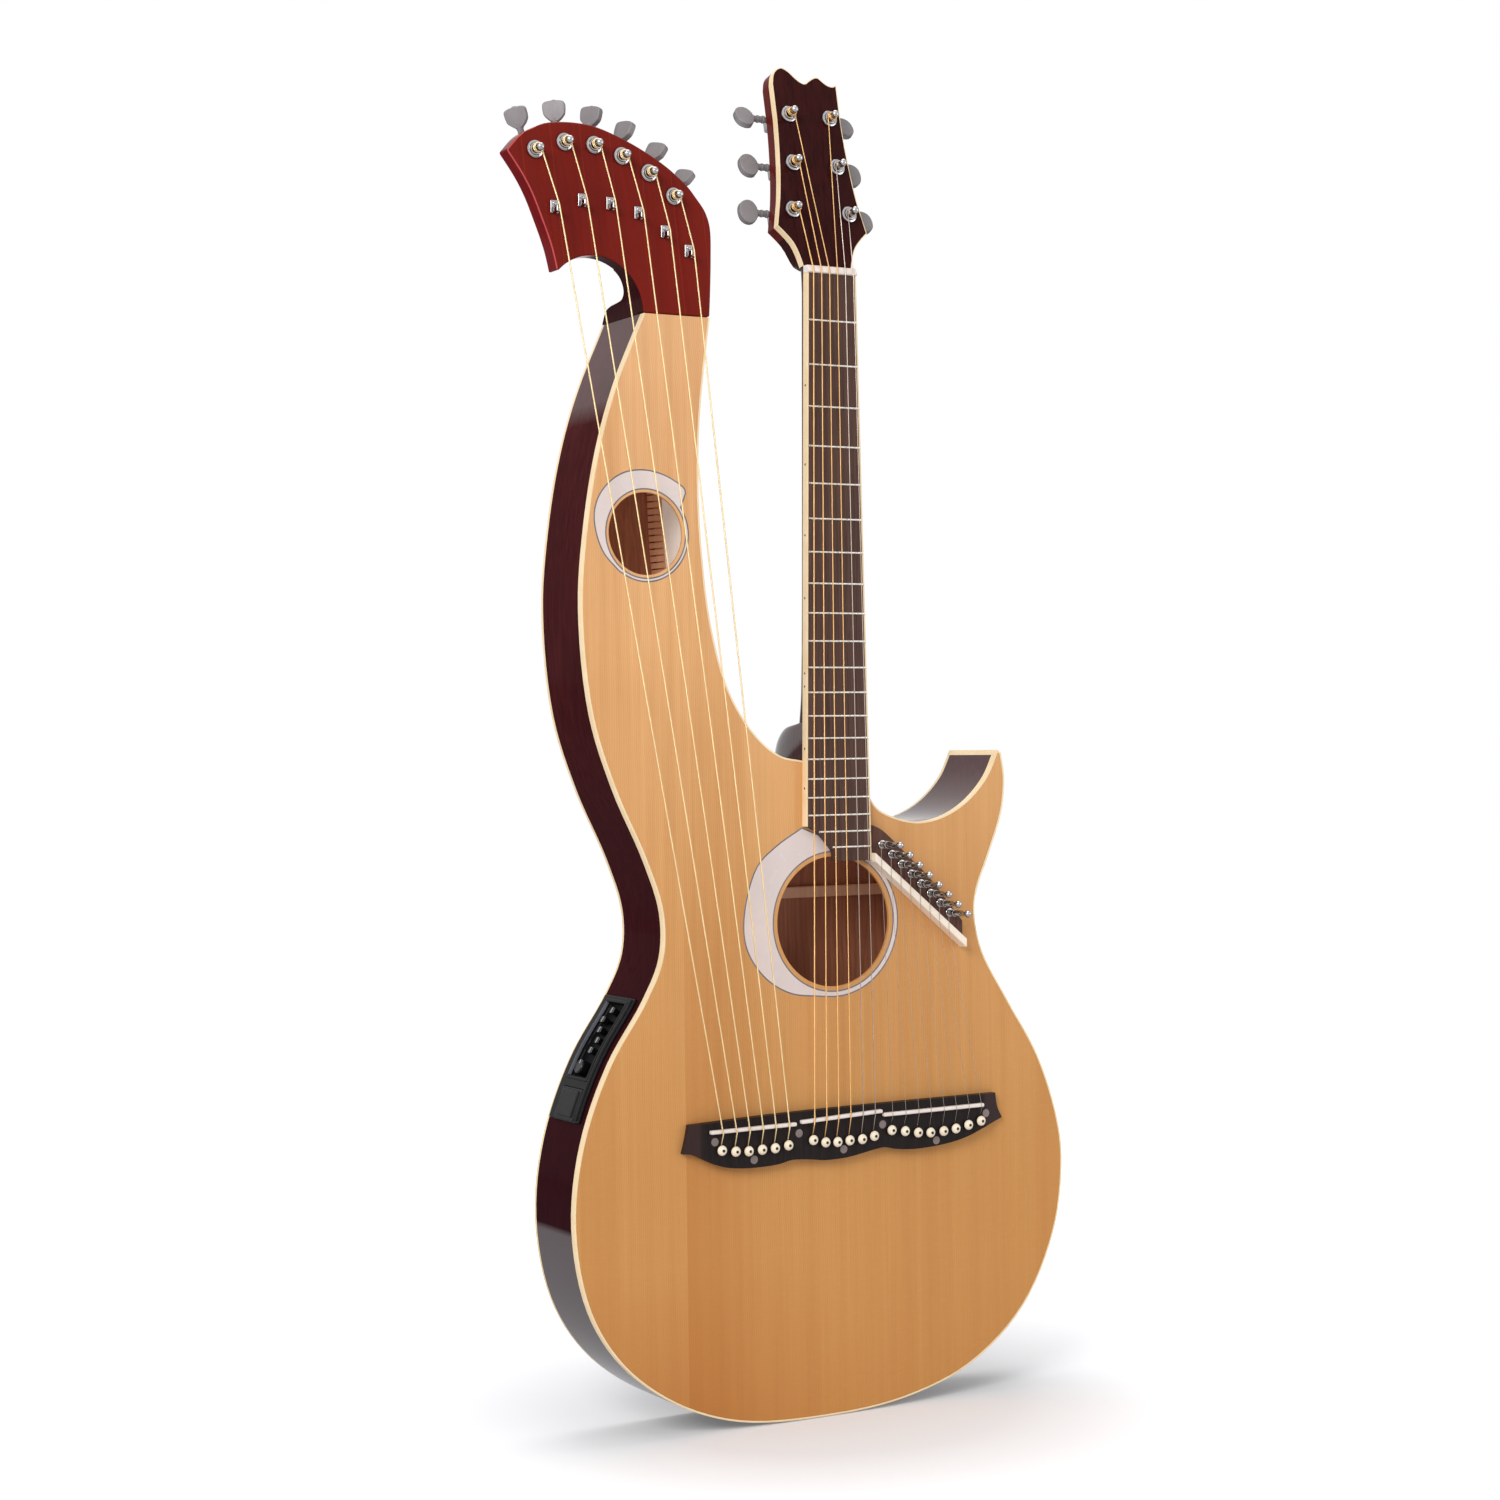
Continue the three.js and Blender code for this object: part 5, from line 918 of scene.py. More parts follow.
# Inside the hook: a darker copy of the red wood, painted shade
CHERRY_HOOK_SHADE = dark_wood("cherry_hook_painted_shade", "cherry_head_wood", (40, 10, 14), (66, 18, 20),
                        specular=0.015)
# A pale red for the front-left corner's bevel: a painted highlight
CHERRY_CORNER_HIGHLIGHT = dark_wood("cherry_corner_painted_highlight", "cherry_head_wood", (176, 70, 74), (190, 84, 84),
                        specular=0.1)
BOARD_WOOD = rosewood("board_rosewood", (94, 68, 59), (70, 50, 45))
BRIDGE_WOOD = rosewood("bridge_rosewood", (36, 28, 27), (24, 18, 18),
                       ends=(BRIDGE_CENTRE[0] * MM, 0.128, (58, 42, 40)))
BLOCK_WOOD = rosewood("block_rosewood", (100, 68, 58), (72, 47, 40))
CREAM = even("cream_edging", "cream_binding", (246, 222, 182), (238, 210, 166), specular=0.25)
BONE = even("white_bone", "white_bone", (238, 228, 222), (228, 214, 204), specular=0.25)
TREBLE_BONE = even("cream_bone", "cream_bone", (250, 238, 222), (244, 228, 208), specular=0.25)
IVORY = even("ivory_pins", "ivory_pins", (248, 236, 214), (238, 222, 196), specular=0.3)
DARK_LINE = even("dark_inlay_line", "pearl_inlay", (124, 120, 122), (98, 95, 99))
GREY_DOT = even("grey_shell_dot", "pearl_inlay", (140, 127, 124), (118, 106, 104), roughness=0.25,
                specular=0.15)
PEARL = pearl()
BLACK_DOT = even("black_dot", "ivory_pins", (24, 22, 22), (16, 15, 15))
SATIN_BLACK = even("satin_black_plastic", "preamp_plastic", (26, 26, 28), (20, 20, 22),
                   roughness=0.32, specular=0.07, patches=25.0, bump=0.02)
DOOR_GREY = even("grey_door_plastic", "preamp_plastic", (42, 40, 41), (36, 35, 36), roughness=0.36,
                 specular=0.08, patches=25.0, bump=0.02)
DEEP_BLACK = even("recess_black_plastic", "preamp_plastic", (17, 17, 19), (13, 13, 15),
                  roughness=0.4, specular=0.03, patches=25.0, bump=0.02)
GLOSS_BLACK = even("gloss_black_knobs", "preamp_knobs", (12, 12, 13), (9, 9, 10), roughness=0.14,
                   specular=0.3)
# A painted highlight: a pale grey for the strip along the window's edge, standing for its
# reflection
WINDOW_EDGE_HIGHLIGHT = even("painted_highlight_window", "preamp_plastic", (120, 120, 130), (96, 96, 106),
                  roughness=0.2, specular=0.3)
MARK = even("pale_mark", "preamp_knobs", (196, 196, 194), (182, 182, 180))
# The rim tones of the chrome and the buttons are painted reflections
CHROME = metal("polished_chrome", "chrome_parts", (186, 184, 184), (160, 158, 160), 0.07,
               rim=(46, 42, 44))
BUTTON_CHROME = metal("button_chrome", "chrome_parts", (142, 137, 138), (128, 122, 124), 0.34,
                      metallic=0.12, rim=(70, 64, 66))
NICKEL = metal("fret_nickel", "chrome_parts", (232, 226, 218), (208, 202, 194), 0.22)
BRASS = metal("brass_winding", "wound_bronze", (236, 212, 164), (220, 192, 140), 0.3, wrap=0.45)
BRONZE = metal("bronze_winding", "wound_bronze", (232, 186, 124), (212, 164, 104), 0.3, wrap=0.45)
STEEL = metal("plain_steel", "wound_bronze", (190, 174, 160), (168, 152, 140), 0.25)


# Body
def build_soundboard():
    board = plate("soundboard", BOUND_OUTLINE, FRONT, FRONT + PLATE)
    drill(board, SOUND_HOLE, SOUND_RADIUS, FRONT - 5, FRONT + 10, 96)
    drill(board, ARM_HOLE, ARM_RADIUS, FRONT - 5, FRONT + 10, 72)
    ease(board, 0.5, 3, 60)
    finished(board, SPRUCE, ["soundboard"])
    braces = [brace(share, FRONT + PLATE - 0.2, FRONT + 11, 1)
              for share in (0.522, 0.372, 0.15, 0.69, 0.9)]
    finished(joined("top_braces", braces), SPRUCE)


def brace(share, foot, crest, way):
    """A brace across the plate, scalloped thin towards both ends."""
    z = share * BODY_LENGTH
    left, right = crossings(OUTLINE, z)[:2]
    left, right = left + SIDE + LINING + 1, right - SIDE - LINING - 1
    end = foot + way * 3
    taper = min(60, (right - left) / 3)
    profile = [(left, foot), (right, foot), (right, end), (right - taper * 0.4, end + way * 1.4),
               (right - taper, crest), (left + taper, crest),
               (left + taper * 0.4, end + way * 1.4), (left, end)]
    bar_piece = prism("brace", [(x, y, z - 4.5) for x, y in profile], (0, 0, 9))
    return ease(bar_piece, 1.4, 3, 30)


def build_back():
    back = plate("back_plate", BOUND_OUTLINE, BACK - PLATE, BACK)
    ease(back, 0.8, 3, 60)
    back.data.materials.append(BACK_WOOD)
    finish_faces(back, RAW_WOOD, lambda at, out: out.y < -0.9)
    finished(back, None, ["back_plate"])
    braces = [brace(share, BACK - PLATE + 0.2, BACK - 9, -1)
              for share in (0.4767, 0.32, 0.16, 0.63, 0.76, 0.9)]
    finished(joined("back_braces", braces), BRACE_WOOD_PAINTED_GLOW)
    seam = plate("back_seam_strip", [(-24, 22), (-6, 22), (-6, 456), (-24, 456)],
                 BACK - PLATE - 2, BACK - PLATE + 0.3)
    finished(ease(seam, 0.8, 2), RAW_WOOD)


def open_run(points):
    """The closed outline, opened at the arm's end, where the bass head takes over."""
    return points[ARM_END + 1:] + points[:ARM_END + 1]


def build_edging():
    outer = open_run(OUTLINE)
    inner = open_run(BOUND_OUTLINE)
    top = strip("top_binding", outer, inner, FRONT, FRONT + BINDING_DEPTH)
    finished(ease(top, 0.35, 2, 60), CREAM, ["top_binding"])
    back = strip("back_binding", outer, inner, BACK - BACK_BINDING_DEPTH, BACK)
    finished(ease(back, 0.35, 2, 60), CREAM)
    # The horn's flat end is edged across, and its edging turns over into the cutaway
    ends = [Vector(OUTLINE[-2]), Vector(OUTLINE[-1]), Vector(OUTLINE[0])]
    down = (ends[0] - ends[1]).normalized()
    low = ends[1] + down * HORN_CAP
    across = (ends[2] - ends[1]).normalized()
    out, side = Vector((-across.y, across.x)), Vector((down.y, -down.x))
    if out.y < 0:
        out = -out
    if side.x > 0:
        side = -side
    corners = [tuple(p) for p in (
        low + side * 0.12, ends[1] + side * 0.12 + out * 0.2, ends[2] + out * 0.2,
        ends[2] - out * 1.2, ends[1] - side * 1.0 - out * 1.2, low - side * 1.0)]
    cap = plate("horn_tip_strip", corners, FRONT + 0.2, BACK - 0.2)
    finished(ease(cap, 0.15, 2), CREAM)


def apart(place, line):
    """Shortest distance from a place to a closed line."""
    best = math.inf
    for first, last in zip(line, line[1:] + line[:1]):
        start, way = Vector(first), Vector(last) - Vector(first)
        share = (place - start).dot(way) / max(way.length_squared, 1e-9)
        best = min(best, (place - start - way * max(0.0, min(1.0, share))).length)
    return best


def build_rim():
    inner = inset(OUTLINE, SIDE)
    rim = strip("sides", OUTLINE, inner, FRONT + BINDING_DEPTH, BACK - BACK_BINDING_DEPTH,
                ring=True)
    # The bass side's outer faces keep the first wood; then the inside, with a painted glow, the
    # cutaway, with a painted reflection, and the treble side
    for wood in (SIDE_WOOD, WALL_WOOD_PAINTED_GLOW, CUTAWAY_WOOD_PAINTED_REFLECTION, BACK_WOOD):
        rim.data.materials.append(wood)
    for face in rim.data.polygons:
        place = Vector((face.center.x, face.center.z)) / MM
        if abs(face.normal.y) < 0.5 and apart(place, inner) < apart(place, OUTLINE):
            face.material_index = 1
        elif place.x > 30 and place.y > CUTAWAY_FOOT:
            face.material_index = 2
        elif face.normal.x > 0.3:
            face.material_index = 3
    cut(rim, rim_plate("preamp_opening", 4, 99, -CLEAR, CLEAR, OPENING_HALF))
    finished(rim, None, ["sides"])
    wall, foot = kerfed(within(SIDE - 0.2), within(SIDE + LINING))
    for name, edge, deep in (("top_lining", FRONT + PLATE, 1), ("back_lining", BACK - PLATE, -1)):
        rows = [[(x, edge, z) for x, z in wall],
                [(x, edge, z) for x, z in foot],
                [(x + (fx - x) * 0.7, edge + deep * 6, z + (fz - z) * 0.7)
                 for (x, z), (fx, fz) in zip(wall, foot)],
                [(x, edge + deep * LINING_DEPTH, z) for x, z in wall]]
        columns = [list(column) for column in zip(*rows)]
        finished(skin(name, columns, closed=True, ring=True), LINING_WOOD_PAINTED_GLOW)


def kerfed(wall, foot):
    """The two edges of a lining, laid out in blocks with a saw cut between each and the next."""
    walked, places = 0.0, []
    for (a, b), (fa, fb) in zip(zip(wall, wall[1:] + wall[:1]), zip(foot, foot[1:] + foot[:1])):
        places.append((walked, Vector(a), Vector(fa)))
        walked += math.dist(a, b)
    places.append((walked, Vector(wall[0]), Vector(foot[0])))
    count = round(walked / KERF_SPACING)
    edges = [], []
    after = 1
    for i in range(count):
        for part, depth in ((0.0, 1.0), (0.78, 1.0), (0.8, 0.3), (0.98, 0.3)):
            at = (i + part) * walked / count
            while places[after][0] < at:
                after += 1
            (start, a, fa), (end, b, fb) = places[after - 1], places[after]
            share = (at - start) / (end - start)
            near, far = a.lerp(b, share), fa.lerp(fb, share)
            edges[0].append(tuple(near))
            edges[1].append(tuple(near.lerp(far, depth)))
    return edges


def build_rosettes():
    for name, centre, radius, shares, ring, arc in (
            ("soundhole_rosette", SOUND_HOLE, SOUND_RADIUS, CRESCENT, (1.065, 1.168), (-96, 76)),
            ("arm_rosette", ARM_HOLE, ARM_RADIUS, ARM_CRESCENT, (1.065, 1.177), (-122, 34))):
        crescent = smooth_line([(centre[0] + x * radius, centre[1] + z * radius)
                                for x, z in shares], 5)
        narrow = circle(centre, ring[1] * radius, 40, *arc)
        outline = narrow + crescent
        backing = plate(f"{name}_lines", outline, FRONT - 0.03, FRONT + 0.5)
        drill(backing, centre, ring[0] * radius, FRONT - 5, FRONT + 5, 96)
        finished(backing, DARK_LINE)
        shell = plate(name, inset(outline, INLAY_LINE), FRONT - 0.06, FRONT + 0.4)
        drill(shell, centre, ring[0] * radius + INLAY_LINE, FRONT - 5, FRONT + 5, 96)
        finished(shell, PEARL, [name])


# Preamp on the rim: u runs down the bowed rim, v straight on from it, w out of it
def preamp_line():
    top = (crossings(OUTLINE, PREAMP_TOP_Z)[0], PREAMP_TOP_Z)
    z = PREAMP_TOP_Z
    while math.dist((crossings(OUTLINE, z)[0], z), top) < PREAMP_LENGTH:
        z -= 0.25
    bottom = (crossings(OUTLINE, z)[0], z)
    between = [p for p in OUTLINE if p[0] < -15 and bottom[1] < p[1] < top[1]]
    return [top, *sorted(between, key=lambda p: -p[1]), bottom]


RIM_LINE = preamp_line()
RIM_ALONG = (Vector(RIM_LINE[-1]) - Vector(RIM_LINE[0])).normalized()


def rim_at(u):
    places = [(Vector(p) - Vector(RIM_LINE[0])).dot(RIM_ALONG) for p in RIM_LINE]
    after = next((i for i, place in enumerate(places) if place >= u), len(places) - 1)
    after = max(after, 1)
    a, b = Vector(RIM_LINE[after - 1]), Vector(RIM_LINE[after])
    return a + (b - a) * (u - places[after - 1]) / (places[after] - places[after - 1])


def rim_frame(u):
    down = (rim_at(u + 10.3) - rim_at(u - 10.3)).normalized()
    return rim_at(u), down, Vector((down.y, -down.x))


def rim_point(u, v, w):
    foot, down, out = rim_frame(u)
    return tuple(foot + down * v + out * w)


def rim_strip(start, end, low, high):
    """A closed line on the rim: down it at one height, and back up at another."""
    places = [start + (end - start) * i / RIM_STEPS for i in range(RIM_STEPS + 1)]
    return ([rim_point(u, 0, low) for u in places]
            + [rim_point(u, 0, high) for u in reversed(places)])


def rim_plate(name, start, end, low, high, half_width):
    """A bowed block on the rim, as wide on both sides of the preamp's middle."""
    return plate(name, rim_strip(start, end, low, high),
                 PREAMP_MID_Y - half_width, PREAMP_MID_Y + half_width)


def rim_box(name, u, half, low, high, half_width, shift=0.0):
    corners = [rim_point(u, v, w) for v, w in
               ((-half, low), (half, low), (half, high), (-half, high))]
    middle = PREAMP_MID_Y + shift
    return plate(name, corners, middle - half_width, middle + half_width)


def rim_upright(u):
    """The place of a turned piece whose axis is to point out of the rim at u."""
    foot, _, out = rim_frame(u)
    turn = Vector((0, 0, 1)).rotation_difference(Vector((out.x, 0, out.y)))
    return moved(foot.x, PREAMP_MID_Y, foot.y) @ turn.to_matrix().to_4x4()


def build_preamp():
    housing = rim_plate("preamp_housing", 0.4, 102.4, 0.3, PREAMP_FACE, HOUSING_HALF)
    ease(housing, 0.9, 4, 50)
    cut(housing, rim_plate("core", 4.5, 98.5, -17, 1.6, CORE_HALF), operation="UNION")
    ridge = plate("ridge", rim_strip(1.6, 101.2, 1.5, PREAMP_FACE + 1.1),
                  PREAMP_MID_Y - 22.6, PREAMP_MID_Y - 18.6)
    lip = rim_plate("lip", 3.6, 71.4, 1.5, PREAMP_FACE + 0.9, 17.8)
    cut(housing, ease(ridge, 1.0, 3, 50), ease(lip, 0.8, 3, 50), operation="UNION")
    recess = rim_plate("recess", *RECESS, PREAMP_FLOOR, CLEAR, 15.5)
    ease(recess, 1.6, 3, 50)
    slots = [rim_box("slot", slider_u(i), 1.1, PREAMP_FLOOR - 6.6, 8, 7.5) for i in range(5)]
    seat = rim_box("seat", DOOR_SEAT, 13.5, -0.7, CLEAR, 16.9)
    cut(housing, recess, *slots, seat)
    housing.data.materials.append(SATIN_BLACK)
    housing.data.materials.append(DEEP_BLACK)
    for face in housing.data.polygons:
        place = Vector((face.center.x, face.center.z)) / MM
        along = (place - Vector(RIM_LINE[0])).dot(RIM_ALONG)
        foot, _, out = rim_frame(min(max(along, 1.0), 101.0))
        if (place - foot).dot(out) < PREAMP_FLOOR + 0.5 and 5 < along < 70:
            face.material_index = 1
    finished(housing, None, ["preamp_housing"])
    # A pale strip along the window's inner edge: a painted highlight
    highlight_strip = plate("painted_window_highlight", rim_strip(6.2, 68.8, PREAMP_FACE - 1.5, PREAMP_FACE + 1.05),
                 PREAMP_MID_Y + 15.0, PREAMP_MID_Y + 15.7)
    finished(ease(highlight_strip, 0.3, 2, 50), WINDOW_EDGE_HIGHLIGHT)
    foot = PREAMP_FLOOR + 0.6
    for i, share in enumerate(SLIDER_PLACES):
        shift = share * SLIDER_REACH
        cap = ease(rim_box("cap", slider_u(i), 2.5, foot, foot + 5, 3, shift), 0.7, 3)
        stem = ease(rim_box("stem", slider_u(i), 0.8, PREAMP_FLOOR - 6, foot + 2, 1.2, shift),
                    0.2, 2)
        mark = ease(rim_box("mark", slider_u(i), 2.3, foot + 4.8, foot + 5.04, 0.35, shift),
                    0.05, 1)
        knob = joined(f"preamp_slider_{i + 1}", [
            coated(stem, GLOSS_BLACK), coated(mark, MARK), coated(cap, GLOSS_BLACK)])
        finished(knob, None, [f"preamp_slider_{i + 1}"], f"preamp_slider_{i + 1}_body")
    knob = turned("preamp_volume_knob", [
        (0, PREAMP_FLOOR - 6), (2, PREAMP_FLOOR - 6), (2, foot), (5.2, foot), (5.9, foot + 0.5),
        (KNOB_RADIUS, foot + 1.6), (5.7, foot + 5.6), (5.4, foot + 6.6), (4.9, foot + 7),
        (4.2, foot + 7), (3.9, foot + 6.75), (0, foot + 6.7)], 40)
    pointer = bar("pointer", (2.2, -0.4, foot + 6.6), (5.3, 0.4, foot + 7.05))
    knob = joined("preamp_volume_knob", [
        coated(ease(pointer, 0.15, 2), MARK), coated(knob, GLOSS_BLACK)])
    dial = copied_and_dropped(knob, "preamp_volume_knob",
                              rim_upright(RECESS[1] - KNOB_RADIUS - 1.5))
    finished(dial, None, ["preamp_volume_knob"], "preamp_volume_knob_body")
    door = rim_box("battery_door", 89.9, 12.5, 0.2, 3, 16.5)
    ease(door, 1.0, 3)
    panel = rim_box("panel", 89.6, 10.2, 2.4, 4.4, 13.4)
    cut(door, ease(panel, 1.3, 4), operation="UNION")
    x, z = rim_point(DOOR_SEAT, 11.8, 1.0)
    hinge = turned("hinge_pin", [(0, -19), (0.5, -19), (0.8, -18.7), (0.8, 18.7), (0.5, 19),
                                 (0, 19)], 20)
    pin = copied_and_dropped(hinge, "hinge_pin", upright(x, z, PREAMP_MID_Y))
    door = joined("battery_door", [coated(pin, DOOR_GREY), coated(door, DOOR_GREY)])
    finished(door, None, ["battery_door"], "battery_door_body")


def slider_u(i):
    """How far down the rim a slider stands."""
    return RECESS[0] + SLIDER_PITCH * (i + 0.8)


# Bass headstock
def bass_head_plan():
    right = smooth_line([bass_head_point(s) for s in BASS_HEAD_RIGHT], 5)
    centre = (HOOK_X, BODY_LENGTH)
    left = [point for point in smooth_line([bass_head_point(s) for s in BASS_HEAD_LEFT], 12)
            if math.dist(point, centre) > HOOK_RADIUS + 0.4]
    tip = left[-1]
    angle = math.degrees(math.atan2(tip[1] - centre[1], tip[0] - centre[0]))
    return right + left[1:] + circle(centre, HOOK_RADIUS, 40, angle - 1, 0.5)


def build_bass_head():
    plan = bass_head_plan()
    board = plate("bass_headstock", plan, FRONT, FRONT + BASS_HEAD_THICK)
    ease(board, 1.5, 4, 60)
    rise = 0.24 * BASS_HEAD_HEIGHT
    base = FRONT + BASS_HEAD_THICK
    profile = smooth_line([(base + back * (BACK - base), BODY_LENGTH + GAP + up * rise)
                           for up, back in HEEL], 4)
    profile += [(base - 4, BODY_LENGTH + GAP + rise), (base - 4, BODY_LENGTH + GAP)]
    low, high = HOOK_X, INNER_CORNER[0] + HOOK_RADIUS
    heel = prism("heel", [(low, y, z) for y, z in profile], (high - low, 0, 0))
    within_plan = plate("within_plan", plan, FRONT, BACK + 4)
    cut(heel, within_plan, operation="INTERSECT")
    ease(heel, 1.0, 3, 60)
    cut(board, heel, operation="UNION")
    board.data.materials.clear()
    board.data.materials.append(CHERRY)
    front = FRONT + 1.5
    # Left-facing sides: redder wood, partly painted light
    finish_faces(board, CHERRY_EDGE_AND_LIGHT, lambda at, out: abs(out.y) < 0.5 and out.x < -0.3
                 and at.x < HOOK_X)
    # The hook's inner faces, in painted shade
    finish_faces(board, CHERRY_HOOK_SHADE, lambda at, out: abs(out.y) < 0.5 and out.x < 0.3
                 and at.x > HOOK_X and at.z < BODY_LENGTH + 48)
    # The front-left corner's bevel, in painted highlight
    finish_faces(board, CHERRY_CORNER_HIGHLIGHT, lambda at, out: at.y < front and -0.9 < out.y < -0.4
                 and out.x < -0.3 and at.x < HOOK_X)
    finished(board, None, ["bass_headstock"])


# Neck, its headstock and the fingerboard
def half_section(half, depth, roundness, square=0.0, front=0.0):
    """Half a section of the neck, as (across, back) pairs: round behind, or near square."""
    points = []
    for i in range(NECK_STEPS + 1):
        angle = math.pi * i / NECK_STEPS
        c, s = math.cos(angle), max(math.sin(angle), 0.0)
        box = max(abs(c), s)
        across = math.copysign(abs(c) ** (2 / roundness), c)
        back = s ** (2 / roundness)
        points.append((half * (across + (c / box - across) * square),
                       front + (depth - front) * (back + (s / box - back) * square)))
    return points


def head_line(shares):
    return smooth_line([(x * NECK_HEAD_WIDTH, s * NECK_HEAD_LENGTH) for x, s in shares], 4)


def head_outline():
    """The neck head's sides and crown, from the nut's treble end round to its bass end."""
    edge = head_line(HEAD_FLARE) + head_line(HEAD_SIDE)[1:]
    return edge + head_line(HEAD_CROWN) + [(-x, s) for x, s in reversed(edge)]


def head_plate(name, points, front, back):
    """A board of the tilted neck head, between two heights over its face."""
    step = Vector(head_point(0, 0, back)) - Vector(head_point(0, 0, front))
    return prism(name, [head_point(x, s, front) for x, s in points], step)


def neck_rows():
    """Sections of the neck, from the heel's foot up to the head, which it runs into."""
    heel = smooth_line([(ROOT_LEFT + up * NECK_HEEL_RISE, back * NECK_HEEL_DEPTH,
                         3.0 if back > 0.3 else 2.3) for up, back in NECK_HEEL], 3)
    shaft = smooth_line([
        (ROOT_LEFT + NECK_HEEL_RISE, 18.0, 2.3), (fret_z(12), 16.5, 1.8),
        (NUT_Z - 15, 15.0, 1.8)], 6)
    rows = [[(x, FRONT + back, z) for x, back in half_section(half_board(z), depth, roundness)]
            for z, depth, roundness in [*reversed(heel), *shaft[1:], (NUT_Z - 5, 15.1, 1.95)]]
    for s, depth, roundness, square, front in (
            (-0.3, 15.4, 2.2, 0, 0), (0.6, 15.6, 2.4, 0.05, 6.1), (2.5, 15.8, 3.2, 0.3, 6.1),
            (4.5, 15.9, 4.5, 0.55, 6.1), (8.5, 16, 6, 0.8, 6.1), (12.5, 16, 8, 0.92, 6.1),
            (16.5, 16, 8, 0.96, 6.1), (20, 16, 8, 0.98, 6.1), (20.4, 15.4, 8, 0.9, 6.4)):
        half = head_half(s) - (0.6 if s > 20.2 else 0.0)
        rows.append([head_point(x, s, -back)
                     for x, back in half_section(half, depth, roundness, square, front)])
    return rows


def head_half(s):
    """Half the head's width at a height over the nut, below its widest place."""
    points = head_line(HEAD_FLARE)
    for (x0, s0), (x1, s1) in zip(points, points[1:]):
        if s <= s1:
            return x0 + (x1 - x0) * max(s - s0, 0) / (s1 - s0)
    return points[-1][0]


def held_inside(line, outline, distance):
    """An inset line whose points that a sharp corner threw out are held at the corner's point."""
    def reach(point):
        nearest = math.inf
        for a, b in zip(outline, outline[1:]):
            a, b = Vector(a), Vector(b)
            share = (Vector(point) - a).dot(b - a) / max((b - a).length_squared, 1e-9)
            nearest = min(nearest, (a + (b - a) * min(max(share, 0), 1) - Vector(point)).length)
        return nearest
    last = len(line) - 1
    good = [i for i, point in enumerate(line)
            if i in (0, last) or reach(point) > 0.93 * distance]
    return [line[i] if i in good else line[min(good, key=lambda k: abs(k - i))]
            for i in range(len(line))]


def build_neck():
    neck = skin("neck", neck_rows(), closed=True, caps=True)
    slope = (ROOT_RIGHT - ROOT_LEFT) / (half_board(ROOT_LEFT) + half_board(ROOT_RIGHT))
    choose(neck)
    edit()
    bpy.ops.mesh.bisect(
        plane_co=Vector((-half_board(ROOT_LEFT), 0, ROOT_LEFT + GAP)) * MM,
        plane_no=(-slope, 0, 1), use_fill=True, clear_inner=True)
    close_edit()
    outline = head_outline()
    face = held_inside(inset(outline, [0.0 if i == len(outline) - 1 else HEAD_BINDING
                                       for i in range(len(outline))]), outline, HEAD_BINDING)
    rest = [(x, s) for x, s in outline if s > 20]
    rest = [(head_half(19.5), 19.5), *rest, (-head_half(19.5), 19.5)]
    board = head_plate("board", rest, -6, -NECK_HEAD_THICK)
    ease(board, 1.0, 4, 60)
    neck = joined("neck", [board, neck])
    neck.data.materials.clear()
    neck.data.materials.append(NECK_WOOD)
    finish_faces(neck, NECK_EDGE, lambda at, out: out.x < -0.6 and at.z > HEAD_Z + 20)
    # The heel takes the paler wood of painted reflection
    finish_faces(neck, HEEL_WOOD_PAINTED_SHEEN, lambda at, out: at.z < ROOT_LEFT + NECK_HEEL_RISE)
    finished(neck, None, ["neck"])
    finished(head_plate("neck_head_face", face, 0, -6.3), NECK_WOOD)
    rows = [[head_point(*place, h) for place, h in ((a, 0), (a, -6), (b, -6), (b, 0))]
            for a, b in zip(outline, face)]
    edging = skin("neck_head_binding", rows, closed=True, caps=True)
    finished(ease(edging, 0.25, 2, 60), CREAM)


def board_plan():
    end = fret_z(20) - 11.0
    width = 2 * half_board(end)
    cut_line = smooth_line([(x * width, end + z * width) for x, z in BOARD_CUT], 5)
    cut_line[0] = (-half_board(cut_line[0][1]), cut_line[0][1])
    return ([(half_board(NUT_Z), NUT_Z), (-half_board(NUT_Z), NUT_Z)] + cut_line
            + [(half_board(end), end)])


def nut_slot(i):
    """How far across the nut a string's slot is."""
    return (i / 5 - 0.5) * NUT_SPREAD


